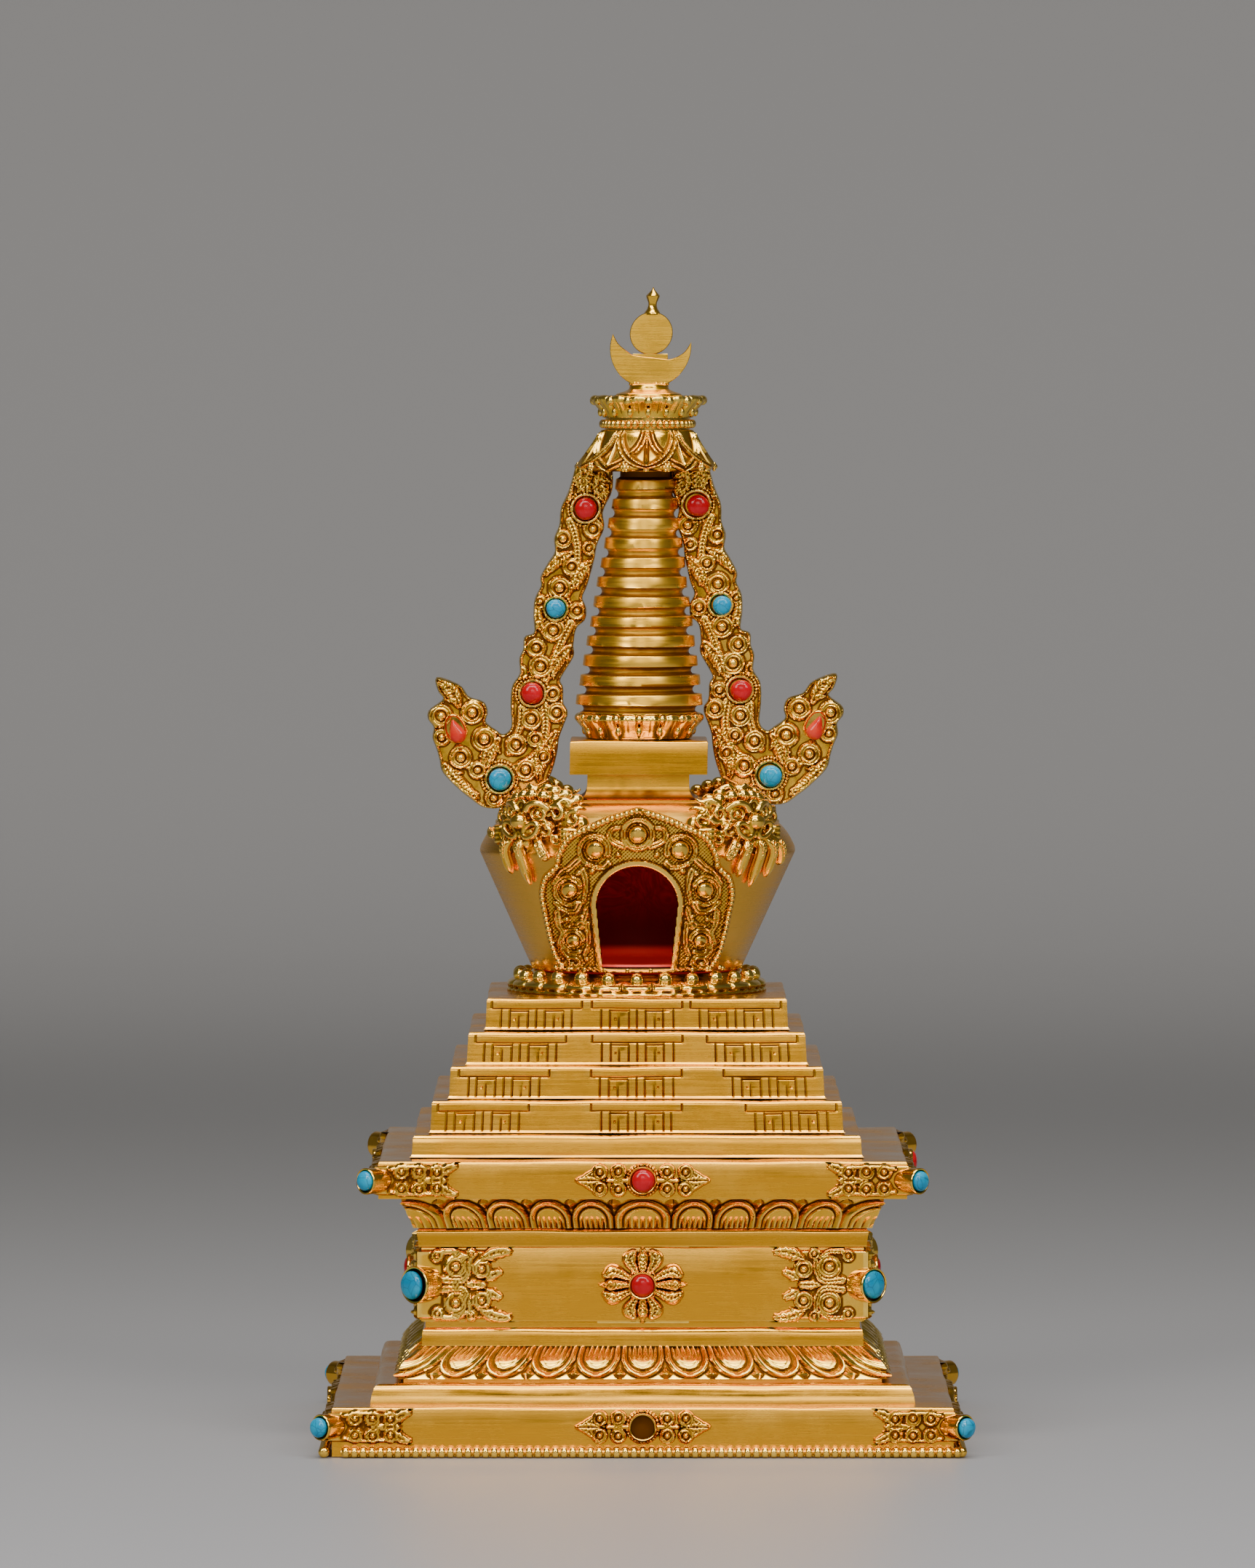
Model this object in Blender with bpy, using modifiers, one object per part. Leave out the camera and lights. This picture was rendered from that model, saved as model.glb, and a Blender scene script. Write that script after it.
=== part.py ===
# A gilt copper stupa set with turquoise and coral, 22 cm high and 12.5 cm wide.
# Metres, +Z up. The door of the relic niche faces -Y.
# The origin is the middle of the underside.
import math

import bmesh
import bpy
from mathutils import Matrix, Vector

MM = 0.001

# Air between two pieces that touch
GAP = 0.3 * MM

# Beaded wire round the foot
WIRE_D = 2.2 * MM
WIRE_BREAK = 1.0 * MM

# Courses of the pedestal, from the floor up
FOOT_SLAB_HALF = 58.55 * MM
FOOT_SLAB_H = 9.4 * MM
LOWER_STEP_HALF = 51.0 * MM
LOWER_STEP_H = 3.8 * MM
NECK_INSET = 1.6 * MM
LOWER_NECK_H = 0.6 * MM
LOWER_LOTUS_FOOT_HALF = 46.9 * MM
LOWER_LOTUS_TOP_HALF = 41.2 * MM
LOWER_LOTUS_H = 5.8 * MM
UPPER_STEP_HALF = 41.7 * MM
UPPER_STEP_H = 3.7 * MM
DADO_GROOVE_H = 1.0 * MM
DADO_GROOVE_DEPTH = 0.7 * MM
DADO_HALF = 41.9 * MM
DADO_H = 14.1 * MM
LEDGE_HALF = 42.8 * MM
LEDGE_H = 3.7 * MM
UPPER_LOTUS_FOOT_HALF = 42.4 * MM
UPPER_LOTUS_TOP_HALF = 45.5 * MM
UPPER_LOTUS_H = 5.5 * MM
UPPER_NECK_H = 0.5 * MM
TOP_SLAB_HALF = 49.9 * MM
TOP_SLAB_H = 7.1 * MM
EDGE_SOFTNESS = 0.5 * MM
PETALS_A_SIDE = 10
PETAL_DEPTH = 1.1 * MM

# Plaques and settings on the pedestal
SLAB_PLAQUE_REACH = 15.3 * MM
SLAB_PLAQUE_W = 25.4 * MM
DADO_PLAQUE_REACH = 17.7 * MM
PLAQUE_T = 1.3 * MM
PLAQUE_NOTCH = 2.2 * MM
PLAQUE_MARGIN = 0.3 * MM
PLAQUE_ROOT = 0.5 * MM
FLOWER_W = 16.5 * MM
FLOWER_H = 14.0 * MM
FLOWER_T = 1.6 * MM
CORNER_BEZEL_R = 2.6 * MM
CORNER_BEZEL_OUT = 3.11 * MM
CENTRE_BEZEL_R = 2.4 * MM
CENTRE_BEZEL_OUT = 1.7 * MM
DADO_BEZEL_R = 3.4 * MM
DADO_BEZEL_OUT = 2.3 * MM
BEZEL_WALL = 0.4 * MM
EMPTY_CUP_DEPTH = 1.2 * MM
GEM_RISE = 1.0 * MM

# Terraces
LOW_TERRACE_H = 3.8 * MM
TERRACE_H = 6.3 * MM
TERRACE_COUNT = 4
TOP_TERRACE_HALF = 28.7 * MM
TERRACE_TREAD = 3.45 * MM
TERRACE_FLARE = 0.35 * MM

# Dome with its lotus ring
DOME_LOTUS_R = 24.5 * MM
DOME_LOTUS_H = 4.1 * MM
DOME_PETALS = 28
# Share of the height, crest and valley in from the ring's radius
DOME_LOTUS_STEPS = ((0.0, 0.0, 1.2), (0.3, 0.0, 1.4), (0.5, 1.3, 2.4), (0.75, 1.1, 3.0),
                    (1.0, 2.6, 3.4))
DOME_FOOT_R = 20.1 * MM
DOME_EDGE_R = 30.5 * MM
DOME_WALL_H = 22.9 * MM
DOME_SHOULDER_H = 9.3 * MM
DOME_TOP_R = 20.0 * MM
DOME_WALL_T = 1.5 * MM
# Shares of the way out and up from top to edge, then which way the surface faces there
DOME_SHOULDER = ((0.0, 1.0, 0.4, 1.0), (0.476, 0.8, 0.7, 0.8), (0.8, 0.4, 1.0, 0.5),
                 (0.943, 0.12, 1.0, 0.3), (1.0, 0.0, 1.0, 0.0))
DOME_SIDES = 24

# Door and its frame, heights from the foot of the dome
DOOR_SILL = 1.2 * MM
DOOR_SPRING = 13.2 * MM
DOOR_RISE = 7.5 * MM
DOOR_HALF = 7.55 * MM
DOOR_FOOT_HALF = 6.35 * MM
FRAME_CENTRE = 10.8 * MM
FRAME_T = 1.6 * MM
FRAME_SEAT = 0.45 * MM
# Angle from the right-hand level and distance from the middle of the frame
FRAME_EDGE = ((90, 21.6), (116, 20.4), (133, 20.7), (142, 19.8), (147, 18.9), (157, 19.7),
              (167, 19.3), (178, 18.2), (192, 17.7), (206, 17.9), (217.3, 17.8))
# Across, up from the middle of the frame, and radius of each boss
FRAME_BOSSES = ((0.0, 16.2, 2.35), (8.1, 13.2, 2.35), (13.0, 5.3, 2.15), (12.2, -4.6, 1.8))

# Guardian masks, placed from the dome's edge
MASK_IN = 3.7 * MM
MASK_ABOVE = 6.5 * MM
MASK_HEAD = (6.4, 4.6, 4.6)
# Across, out and up from the middle of the head, then the three half sizes
MASK_LUMPS = (((0.0, -1.8, 3.2), (7.6, 4.6, 2.3)), ((0.0, 3.6, -2.2), (3.0, 2.2, 1.9)),
              ((0.0, 4.6, 0.2), (1.8, 1.6, 1.5)), ((3.1, 3.6, 1.5), (1.4, 1.3, 1.3)),
              ((-3.1, 3.6, 1.5), (1.4, 1.3, 1.3)))
FIST_ANGLE = 14.5
FIST_OUT = 1.6 * MM
FIST_DOWN = 1.6 * MM
FIST = (3.4, 2.4, 2.2)
CHIN_OUT = 3.0 * MM
CHIN_DOWN = 3.6 * MM
STRAND_R = 0.95 * MM
# Degrees round the dome from the mask's middle, height of the tip from the dome's edge
STRANDS_RIGHT = ((-12.0, 0.5), (-3.0, -4.5), (4.8, -6.5), (12.7, -4.8), (19.0, -2.9))
STRANDS_LEFT = ((-28.0, 3.9), (-9.6, -4.1), (-0.6, -6.1), (11.5, 0.5))

# Harmika above the dome
NECK_HALF = 9.7 * MM
NECK_FLARE = 0.7 * MM
NECK_H = 5.0 * MM
BLOCK_HALF = 13.15 * MM
BLOCK_H = 6.4 * MM

# Spire of rings on its lotus
SPIRE_LOTUS_FOOT_R = 10.1 * MM
SPIRE_LOTUS_R = 12.0 * MM
SPIRE_LOTUS_H = 4.9 * MM
LOTUS_PETALS = 16
LOTUS_DEPTH = 0.9 * MM
RING_COUNT = 12
RING_PITCH = 3.76 * MM
RING_H = 2.05 * MM
TOP_RING_R = 5.8 * MM
RING_GROWTH = 0.58 * MM
RING_GROOVE = 0.87
SPIRE_FOOT_H = 1.2 * MM
SPIRE_SIDES = 10

# Canopy and what stands on it
CANOPY_RISE = 1.44 * MM
CANOPY_RIM_R = 12.95 * MM
CANOPY_TOP_R = 9.0 * MM
CANOPY_H = 8.0 * MM
CANOPY_WALL = 1.6 * MM
CANOPY_BEAD_R = 9.3 * MM
CANOPY_BEAD_D = 1.9 * MM
CANOPY_LOTUS_FOOT_R = 8.8 * MM
CANOPY_LOTUS_R = 10.8 * MM
CANOPY_LOTUS_H = 3.9 * MM

# Crescent, sun and flame
SEAT_R = 6.4 * MM
SEAT_NECK_R = 3.7 * MM
SEAT_H = 2.2 * MM
CRESCENT_R = 7.9 * MM
CRESCENT_T = 2.4 * MM
CRESCENT_HORN_UP = 1.9 * MM
CRESCENT_DIP_UP = -2.3 * MM
SUN_REST_HALF = 3.4 * MM
SUN_R = 4.15 * MM
SUN_T = 2.8 * MM
SUN_UP = 2.7 * MM
JOINT_SINK = 1.0 * MM
FLAME_SINK = 0.3 * MM
FLAME_R = 1.3 * MM
FLAME_NECK_R = 0.8 * MM
FLAME_H = 5.0 * MM

# Streamers. Heights are shares of the way from the top of the dome to the canopy's rim
# Run of the middle line as distance from the axis, height, half width
STREAMER_T = 1.8 * MM
SCROLL_T = 2.6 * MM
RIGHT_STREAMER_IN = 1.1 * MM
RIGHT_STREAMER_UP = 0.6 * MM
STREAMER_RUN = ((10.3, 0.9754, 2.7), (12.0, 0.8944, 3.6), (12.6, 0.8229, 3.6), (15.3, 0.6402, 4.2),
                (16.3, 0.5290, 4.4), (19.2, 0.3463, 4.7), (19.7, 0.2192, 5.0), (20.9, 0.1398, 5.3),
                (24.2, 0.0747, 5.5), (28.9, 0.0651, 5.6), (33.1, 0.1191, 5.4), (34.8, 0.1954, 5.0),
                (35.2, 0.2685, 4.0), (36.6, 0.3225, 2.3), (39.0, 0.3670, 0.3))
SCROLLS = ((10.2, 0.8245, 1.65), (15.5, 0.7943, 1.65), (15.9, 0.6450, 1.95), (12.4, 0.5735, 1.6),
           (16.9, 0.5147, 1.95), (20.1, 0.4607, 1.75), (19.2, 0.4035, 1.95), (15.9, 0.2637, 1.8),
           (20.8, 0.2431, 1.9), (23.6, 0.1652, 1.8), (21.7, 0.0890, 1.9), (27.7, 0.0032, 1.9),
           (29.7, 0.1859, 2.1), (34.2, 0.1255, 1.9), (38.1, 0.2526, 2.1), (31.9, 0.2637, 2.0),
           (38.1, 0.1875, 1.7))
STREAMER_LEAF = ((13.6, 0.7705), (19.4, 0.6783), (13.4, 0.6243))
STREAMER_FOOT = ((16.2, 0.1319), (24.0, 0.0365), (23.2, -0.0588), (16.6, -0.0588))
# Distance from the axis, height, radius of the stone, its colour
STREAMER_STONES = (("coral_upper", 11.3, 0.8864, 2.15), ("turquoise_upper", 16.5, 0.5814, 1.85),
                   ("coral_lower", 20.6, 0.3225, 2.1), ("turquoise_lower", 26.6, 0.0604, 2.15))
DROP_AT = (35.1, 0.2097)
DROP_R = 1.75 * MM
DROP_LENGTH = 5.2 * MM
DROP_TURN = 20
DROP_BEZEL_WALL = 0.6 * MM
DROP_SINK = 0.8 * MM
STREAMER_BEZEL_RIM = 0.45 * MM
STREAMER_BEZEL_OUT = 1.7 * MM

# The tower stands a little left of the pedestal's middle and leans to the right
TOWER_SHIFT = -1.1 * MM
TOWER_LEAN = 3.2 * MM

# Heights worked out from the sizes above
Z_LOWER_STEP = FOOT_SLAB_H
Z_LOWER_NECK = Z_LOWER_STEP + LOWER_STEP_H
Z_LOWER_LOTUS = Z_LOWER_NECK + LOWER_NECK_H
Z_UPPER_STEP = Z_LOWER_LOTUS + LOWER_LOTUS_H
Z_GROOVE = Z_UPPER_STEP + UPPER_STEP_H
Z_DADO = Z_GROOVE + DADO_GROOVE_H
Z_LEDGE = Z_DADO + DADO_H
Z_UPPER_LOTUS = Z_LEDGE + LEDGE_H
Z_UPPER_NECK = Z_UPPER_LOTUS + UPPER_LOTUS_H
Z_TOP_SLAB = Z_UPPER_NECK + UPPER_NECK_H
Z_PEDESTAL = Z_TOP_SLAB + TOP_SLAB_H
Z_TERRACES = Z_PEDESTAL + GAP
Z_DOME_LOTUS = Z_TERRACES + LOW_TERRACE_H + TERRACE_COUNT * TERRACE_H + GAP
Z_DOME = Z_DOME_LOTUS + DOME_LOTUS_H + GAP
Z_EDGE = Z_DOME + DOME_WALL_H
Z_HARMIKA = Z_EDGE + DOME_SHOULDER_H + GAP
Z_SPIRE_LOTUS = Z_HARMIKA + NECK_H + BLOCK_H + GAP
Z_SPIRE = Z_SPIRE_LOTUS + SPIRE_LOTUS_H + GAP
Z_RINGS_TOP = Z_SPIRE + SPIRE_FOOT_H + (RING_COUNT - 1) * RING_PITCH + RING_H
Z_CANOPY = Z_RINGS_TOP + CANOPY_RISE
Z_CANOPY_BEADS = Z_CANOPY + CANOPY_H + GAP
Z_CANOPY_LOTUS = Z_CANOPY_BEADS + CANOPY_BEAD_D + GAP
Z_SEAT = Z_CANOPY_LOTUS + CANOPY_LOTUS_H + GAP
Z_CRESCENT = Z_SEAT + SEAT_H + CRESCENT_R - JOINT_SINK
Z_SUN = Z_CRESCENT + SUN_UP
Z_FLAME = Z_SUN + SUN_R - FLAME_SINK
Z_TOP = Z_FLAME + FLAME_H
# Middles of the two slabs' settings, the lower one above the wire
FOOT_Z = (WIRE_D + FOOT_SLAB_H) / 2
DADO_Z = Z_DADO + DADO_H / 2
TOP_Z = Z_TOP_SLAB + TOP_SLAB_H / 2
MASK_R = DOME_EDGE_R - MASK_IN
MASK_UP = DOME_WALL_H + MASK_ABOVE

SIDES = ("front", "right", "back", "left")
CORNERS = ("front_right", "back_right", "back_left", "front_left")

GOLD = (0.83, 0.50, 0.12)
PALE_GOLD = (0.86, 0.62, 0.24)
TURQUOISE = (0.0, 0.47, 0.62)
CORAL = (0.75, 0.06, 0.12)
ORANGE_CORAL = (0.80, 0.13, 0.08)


def clear_scene():
    for old in list(bpy.data.objects):
        bpy.data.objects.remove(old, do_unlink=True)


def make_collection(name):
    group = bpy.data.collections.new(name)
    bpy.context.scene.collection.children.link(group)
    return group


def make_material(name, colour, roughness, metallic):
    mat = bpy.data.materials.new(name)
    mat.use_nodes = True
    shader = mat.node_tree.nodes["Principled BSDF"]
    shader.inputs["Base Color"].default_value = (*colour, 1.0)
    shader.inputs["Roughness"].default_value = roughness
    shader.inputs["Metallic"].default_value = metallic
    return mat


def lean_at(z):
    """Sideways place of the tower's axis at a height above the floor."""
    if z <= Z_PEDESTAL:
        return 0.0
    climb = max(0.0, z - Z_DOME_LOTUS) / (Z_TOP - Z_DOME_LOTUS)
    return TOWER_SHIFT + TOWER_LEAN * climb ** 2


# Workshop helpers: every rough shape is an object in the workshop collection

def rough(mesh_or_bm):
    """A working object from a bmesh or a mesh."""
    mesh = mesh_or_bm
    if isinstance(mesh_or_bm, bmesh.types.BMesh):
        mesh = bpy.data.meshes.new("rough")
        mesh_or_bm.to_mesh(mesh)
        mesh_or_bm.free()
    obj = bpy.data.objects.new("rough", mesh)
    workshop.objects.link(obj)
    return obj


def bake(obj):
    """Put the modifiers' result into the object's own mesh."""
    graph = bpy.context.evaluated_depsgraph_get()
    mesh = bpy.data.meshes.new_from_object(obj.evaluated_get(graph))
    obj.modifiers.clear()
    obj.data = mesh
    return obj


def boolean(obj, other, operation):
    mod = obj.modifiers.new("boolean", "BOOLEAN")
    mod.operation = operation
    mod.solver = "EXACT"
    mod.object = other
    bake(obj)
    bpy.data.objects.remove(other, do_unlink=True)
    return obj


def fuse(obj, others):
    """Join pieces that are one casting."""
    for other in others:
        boolean(obj, other, "UNION")
    return obj


def cut(obj, other):
    return boolean(obj, other, "DIFFERENCE")


def tidy(obj, weld):
    """Close up the slivers that joining leaves, and merge faces in one plane."""
    bm = bmesh.new()
    bm.from_mesh(obj.data)
    bmesh.ops.remove_doubles(bm, verts=bm.verts, dist=weld)
    bmesh.ops.dissolve_limit(bm, angle_limit=math.radians(0.5), verts=bm.verts, edges=bm.edges)
    bm.to_mesh(obj.data)
    bm.free()
    return obj


def gather(objects):
    """One working object from several that don't touch each other."""
    bm = bmesh.new()
    for obj in objects:
        bm.from_mesh(obj.data)
        bpy.data.objects.remove(obj, do_unlink=True)
    return rough(bm)


def moved(obj, matrix):
    obj.data.transform(matrix)
    return obj


def turned(profile, sides, square=False):
    """Screw of a profile of (radius, height), from the top down the outer side."""
    stretch = math.sqrt(2) if square else 1.0
    mesh = bpy.data.meshes.new("profile")
    points = [(radius * stretch, 0.0, z) for radius, z in profile]
    edges = [(i, i + 1) for i in range(len(points) - 1)]
    if profile[0][0] > 0.0:
        edges.append((len(points) - 1, 0))
    mesh.from_pydata(points, edges, [])
    obj = rough(mesh)
    screw = obj.modifiers.new("turn", "SCREW")
    screw.steps = sides
    screw.render_steps = sides
    screw.use_merge_vertices = True
    screw.merge_threshold = 0.00001
    bake(obj)
    if square:
        moved(obj, Matrix.Rotation(math.radians(45), 4, "Z"))
    return obj


def ball(centre, radii, segments=6, rings=4):
    bm = bmesh.new()
    bmesh.ops.create_uvsphere(bm, u_segments=segments, v_segments=rings, radius=1.0)
    scale = Matrix.Diagonal((*radii, 1.0))
    bmesh.ops.transform(bm, matrix=Matrix.Translation(centre) @ scale, verts=bm.verts)
    return rough(bm)


def cone_between(start, end, r_start, r_end, sides=6):
    """A closed cone or rod from one point to another."""
    run = Vector(end) - Vector(start)
    bm = bmesh.new()
    bmesh.ops.create_cone(bm, cap_ends=True, segments=sides, radius1=r_start, radius2=r_end,
                          depth=run.length)
    turn = run.to_track_quat("Z", "Y").to_matrix().to_4x4()
    middle = (Vector(start) + Vector(end)) / 2
    bmesh.ops.transform(bm, matrix=Matrix.Translation(middle) @ turn, verts=bm.verts)
    return rough(bm)


def plate(outline, thickness):
    """A flat outline of (across, up) made thick in Y about the XZ plane."""
    curve = bpy.data.curves.new("outline", "CURVE")
    curve.dimensions = "2D"
    curve.fill_mode = "BOTH"
    curve.extrude = thickness / 2
    spline = curve.splines.new("POLY")
    spline.points.add(len(outline) - 1)
    for point, (across, up) in zip(spline.points, outline):
        point.co = (across, up, 0.0, 1.0)
    spline.use_cyclic_u = True
    flat = bpy.data.objects.new("outline", curve)
    workshop.objects.link(flat)
    graph = bpy.context.evaluated_depsgraph_get()
    mesh = bpy.data.meshes.new_from_object(flat.evaluated_get(graph))
    bpy.data.objects.remove(flat, do_unlink=True)
    bm = bmesh.new()
    bm.from_mesh(mesh)
    bmesh.ops.remove_doubles(bm, verts=bm.verts, dist=0.00001)
    bmesh.ops.recalc_face_normals(bm, faces=bm.faces)
    bmesh.ops.transform(bm, matrix=Matrix.Rotation(math.radians(90), 4, "X"), verts=bm.verts)
    return rough(bm)


def loft(rings, closed=False):
    """Skin over rings of points: capped at both ends, or closed on itself."""
    bm = bmesh.new()
    rows = [[bm.verts.new(point) for point in ring] for ring in rings]
    count = len(rows[0])
    pairs = list(zip(rows, rows[1:]))
    if closed:
        pairs.append((rows[-1], rows[0]))
    for low, high in pairs:
        for j in range(count):
            k = (j + 1) % count
            bm.faces.new((low[j], low[k], high[k], high[j]))
    if not closed:
        bm.faces.new(rows[0])
        bm.faces.new(rows[-1])
    bmesh.ops.recalc_face_normals(bm, faces=bm.faces)
    return rough(bm)


def finish(obj, name, mat, place=(0.0, 0.0, 0.0), turn=0.0, smooth=False, leaning=False):
    """Name a finished piece, give it its material and put it in its place."""
    if leaning:
        foot = lean_at(place[2])
        for vert in obj.data.vertices:
            vert.co.x += lean_at(place[2] + vert.co.z) - foot
        place = (place[0] + foot, place[1], place[2])
    obj.name = name
    obj.data.name = name
    obj.data.materials.clear()
    obj.data.materials.append(mat)
    if smooth:
        obj.data.shade_smooth()
        obj.data.set_sharp_from_angle(angle=math.radians(35))
    workshop.objects.unlink(obj)
    stupa.objects.link(obj)
    obj.location = place
    obj.rotation_euler = (0.0, 0.0, turn)
    obj.parent = root
    return obj


def copy_of(obj, name, place, turn):
    """Another of the same piece, sharing its mesh."""
    twin = bpy.data.objects.new(name, obj.data)
    stupa.objects.link(twin)
    twin.location = place
    twin.rotation_euler = (0.0, 0.0, turn)
    twin.parent = root
    return twin


def quarter(k):
    return math.radians(90) * k


def round_point(radius, angle, z):
    """A point at an angle from the front, counted towards the right."""
    return (radius * math.sin(angle), -radius * math.cos(angle), z)


# Pedestal

def petal_band(z_foot, height, foot_half, top_half, pointing_down):
    """Square band of lotus petals, crests and valleys in turn round its four sides."""
    rings = []
    if pointing_down:
        steps = ((0.0, 1.0, 0.0), (0.5, 0.8, 0.55), (1.05, 0.1, 1.05))
    else:
        steps = ((-0.05, 0.1, -0.3), (0.55, 0.8, 0.4), (1.0, 1.0, 1.0))
    for share, bulge, curve in steps:
        half = foot_half + (top_half - foot_half) * curve
        z = z_foot + share * height
        ring = []
        for side in range(4):
            turn = Matrix.Rotation(quarter(side), 3, "Z")
            for j in range(2 * PETALS_A_SIDE):
                reach = half if j % 2 == 0 else half - PETAL_DEPTH * bulge
                along = -1.0 + j / PETALS_A_SIDE
                ring.append(turn @ Vector((along * reach, -reach, z)))
        rings.append(ring)
    return loft(rings)


def corner_plaque(half, z_low, z_high, reach, root):
    """Plaque folded round the corner at +X -Y, with a notched end on each arm."""
    middle = (z_low + z_high) / 2
    point_in = (z_high - z_low) * 0.25
    arm = ((0.0, z_low), (reach - PLAQUE_NOTCH / 2, z_low), (reach, z_low + point_in),
           (reach - PLAQUE_NOTCH, middle), (reach, z_high - point_in),
           (reach - PLAQUE_NOTCH / 2, z_high), (0.0, z_high))
    outer = half + PLAQUE_T
    inner = half - root
    bm = bmesh.new()

    def arm_points(depth, swap):
        row = []
        for s, z in arm:
            along = depth if s == 0.0 else outer - s
            place = (depth, -along, z) if swap else (along, -depth, z)
            row.append(bm.verts.new(place))
        return row

    front = arm_points(outer, False)
    back = arm_points(inner, False)
    front_b = arm_points(outer, True)
    back_b = arm_points(inner, True)
    for first, second in ((front, front_b), (back, back_b)):
        for end in (0, -1):
            bm.verts.remove(second[end])
            second[end] = first[end]
    for face in (front, back, front_b, back_b):
        bm.faces.new(face)
    for face, rear in ((front, back), (front_b, back_b)):
        for i in range(len(arm) - 1):
            bm.faces.new((face[i], face[i + 1], rear[i + 1], rear[i]))
    bmesh.ops.recalc_face_normals(bm, faces=bm.faces)
    return rough(bm)


def centre_plaque(half, z_low, z_high):
    """Plaque with pointed leaf ends in the middle of a slab's front."""
    w = SLAB_PLAQUE_W / 2
    h = (z_high - z_low) / 2
    right = [(w - PLAQUE_NOTCH, h), (w, 0.0), (w - PLAQUE_NOTCH, -h)]
    outline = right + [(-x, -z) for x, z in right]
    thickness = PLAQUE_T + PLAQUE_ROOT
    panel = plate(outline, thickness)
    depth = -(half + PLAQUE_T - thickness / 2)
    return moved(panel, Matrix.Translation((0.0, depth, (z_low + z_high) / 2)))


def corner_axis(half, out):
    """Point on the diagonal of the +X -Y corner, a distance outside the corner itself."""
    reach = half + out / math.sqrt(2)
    return Vector((reach, -reach, 0.0))


def corner_bezel(half, z, radius, out):
    start = corner_axis(half, -radius * 1.3)
    end = corner_axis(half, out)
    start.z = end.z = z
    return cone_between(start, end, radius * 0.75, radius)


def front_bezel(half, z, radius, out):
    return cone_between((0.0, -half + 1.0 * MM, z), (0.0, -half - out, z), radius * 1.12, radius)


def all_round(make, count=4):
    """The same shape on all four sides or corners."""
    made = []
    for k in range(count):
        made.append(moved(make(), Matrix.Rotation(quarter(k), 4, "Z")))
    return gather(made)


def slab_span(z_low, height):
    return z_low + PLAQUE_MARGIN, z_low + height - PLAQUE_MARGIN


def empty_cups():
    """The hollows of the settings whose stones are lost."""
    cups = []
    lost = [(FOOT_SLAB_HALF, FOOT_Z, k) for k in range(4)] + [(TOP_SLAB_HALF, TOP_Z, 3)]
    for half, z, k in lost:
        end = -half - CENTRE_BEZEL_OUT
        cup = cone_between((0.0, end + EMPTY_CUP_DEPTH, z), (0.0, end - 1.0 * MM, z),
                           CENTRE_BEZEL_R - BEZEL_WALL, CENTRE_BEZEL_R - BEZEL_WALL)
        cups.append(moved(cup, Matrix.Rotation(quarter(k), 4, "Z")))
    return gather(cups)


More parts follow.
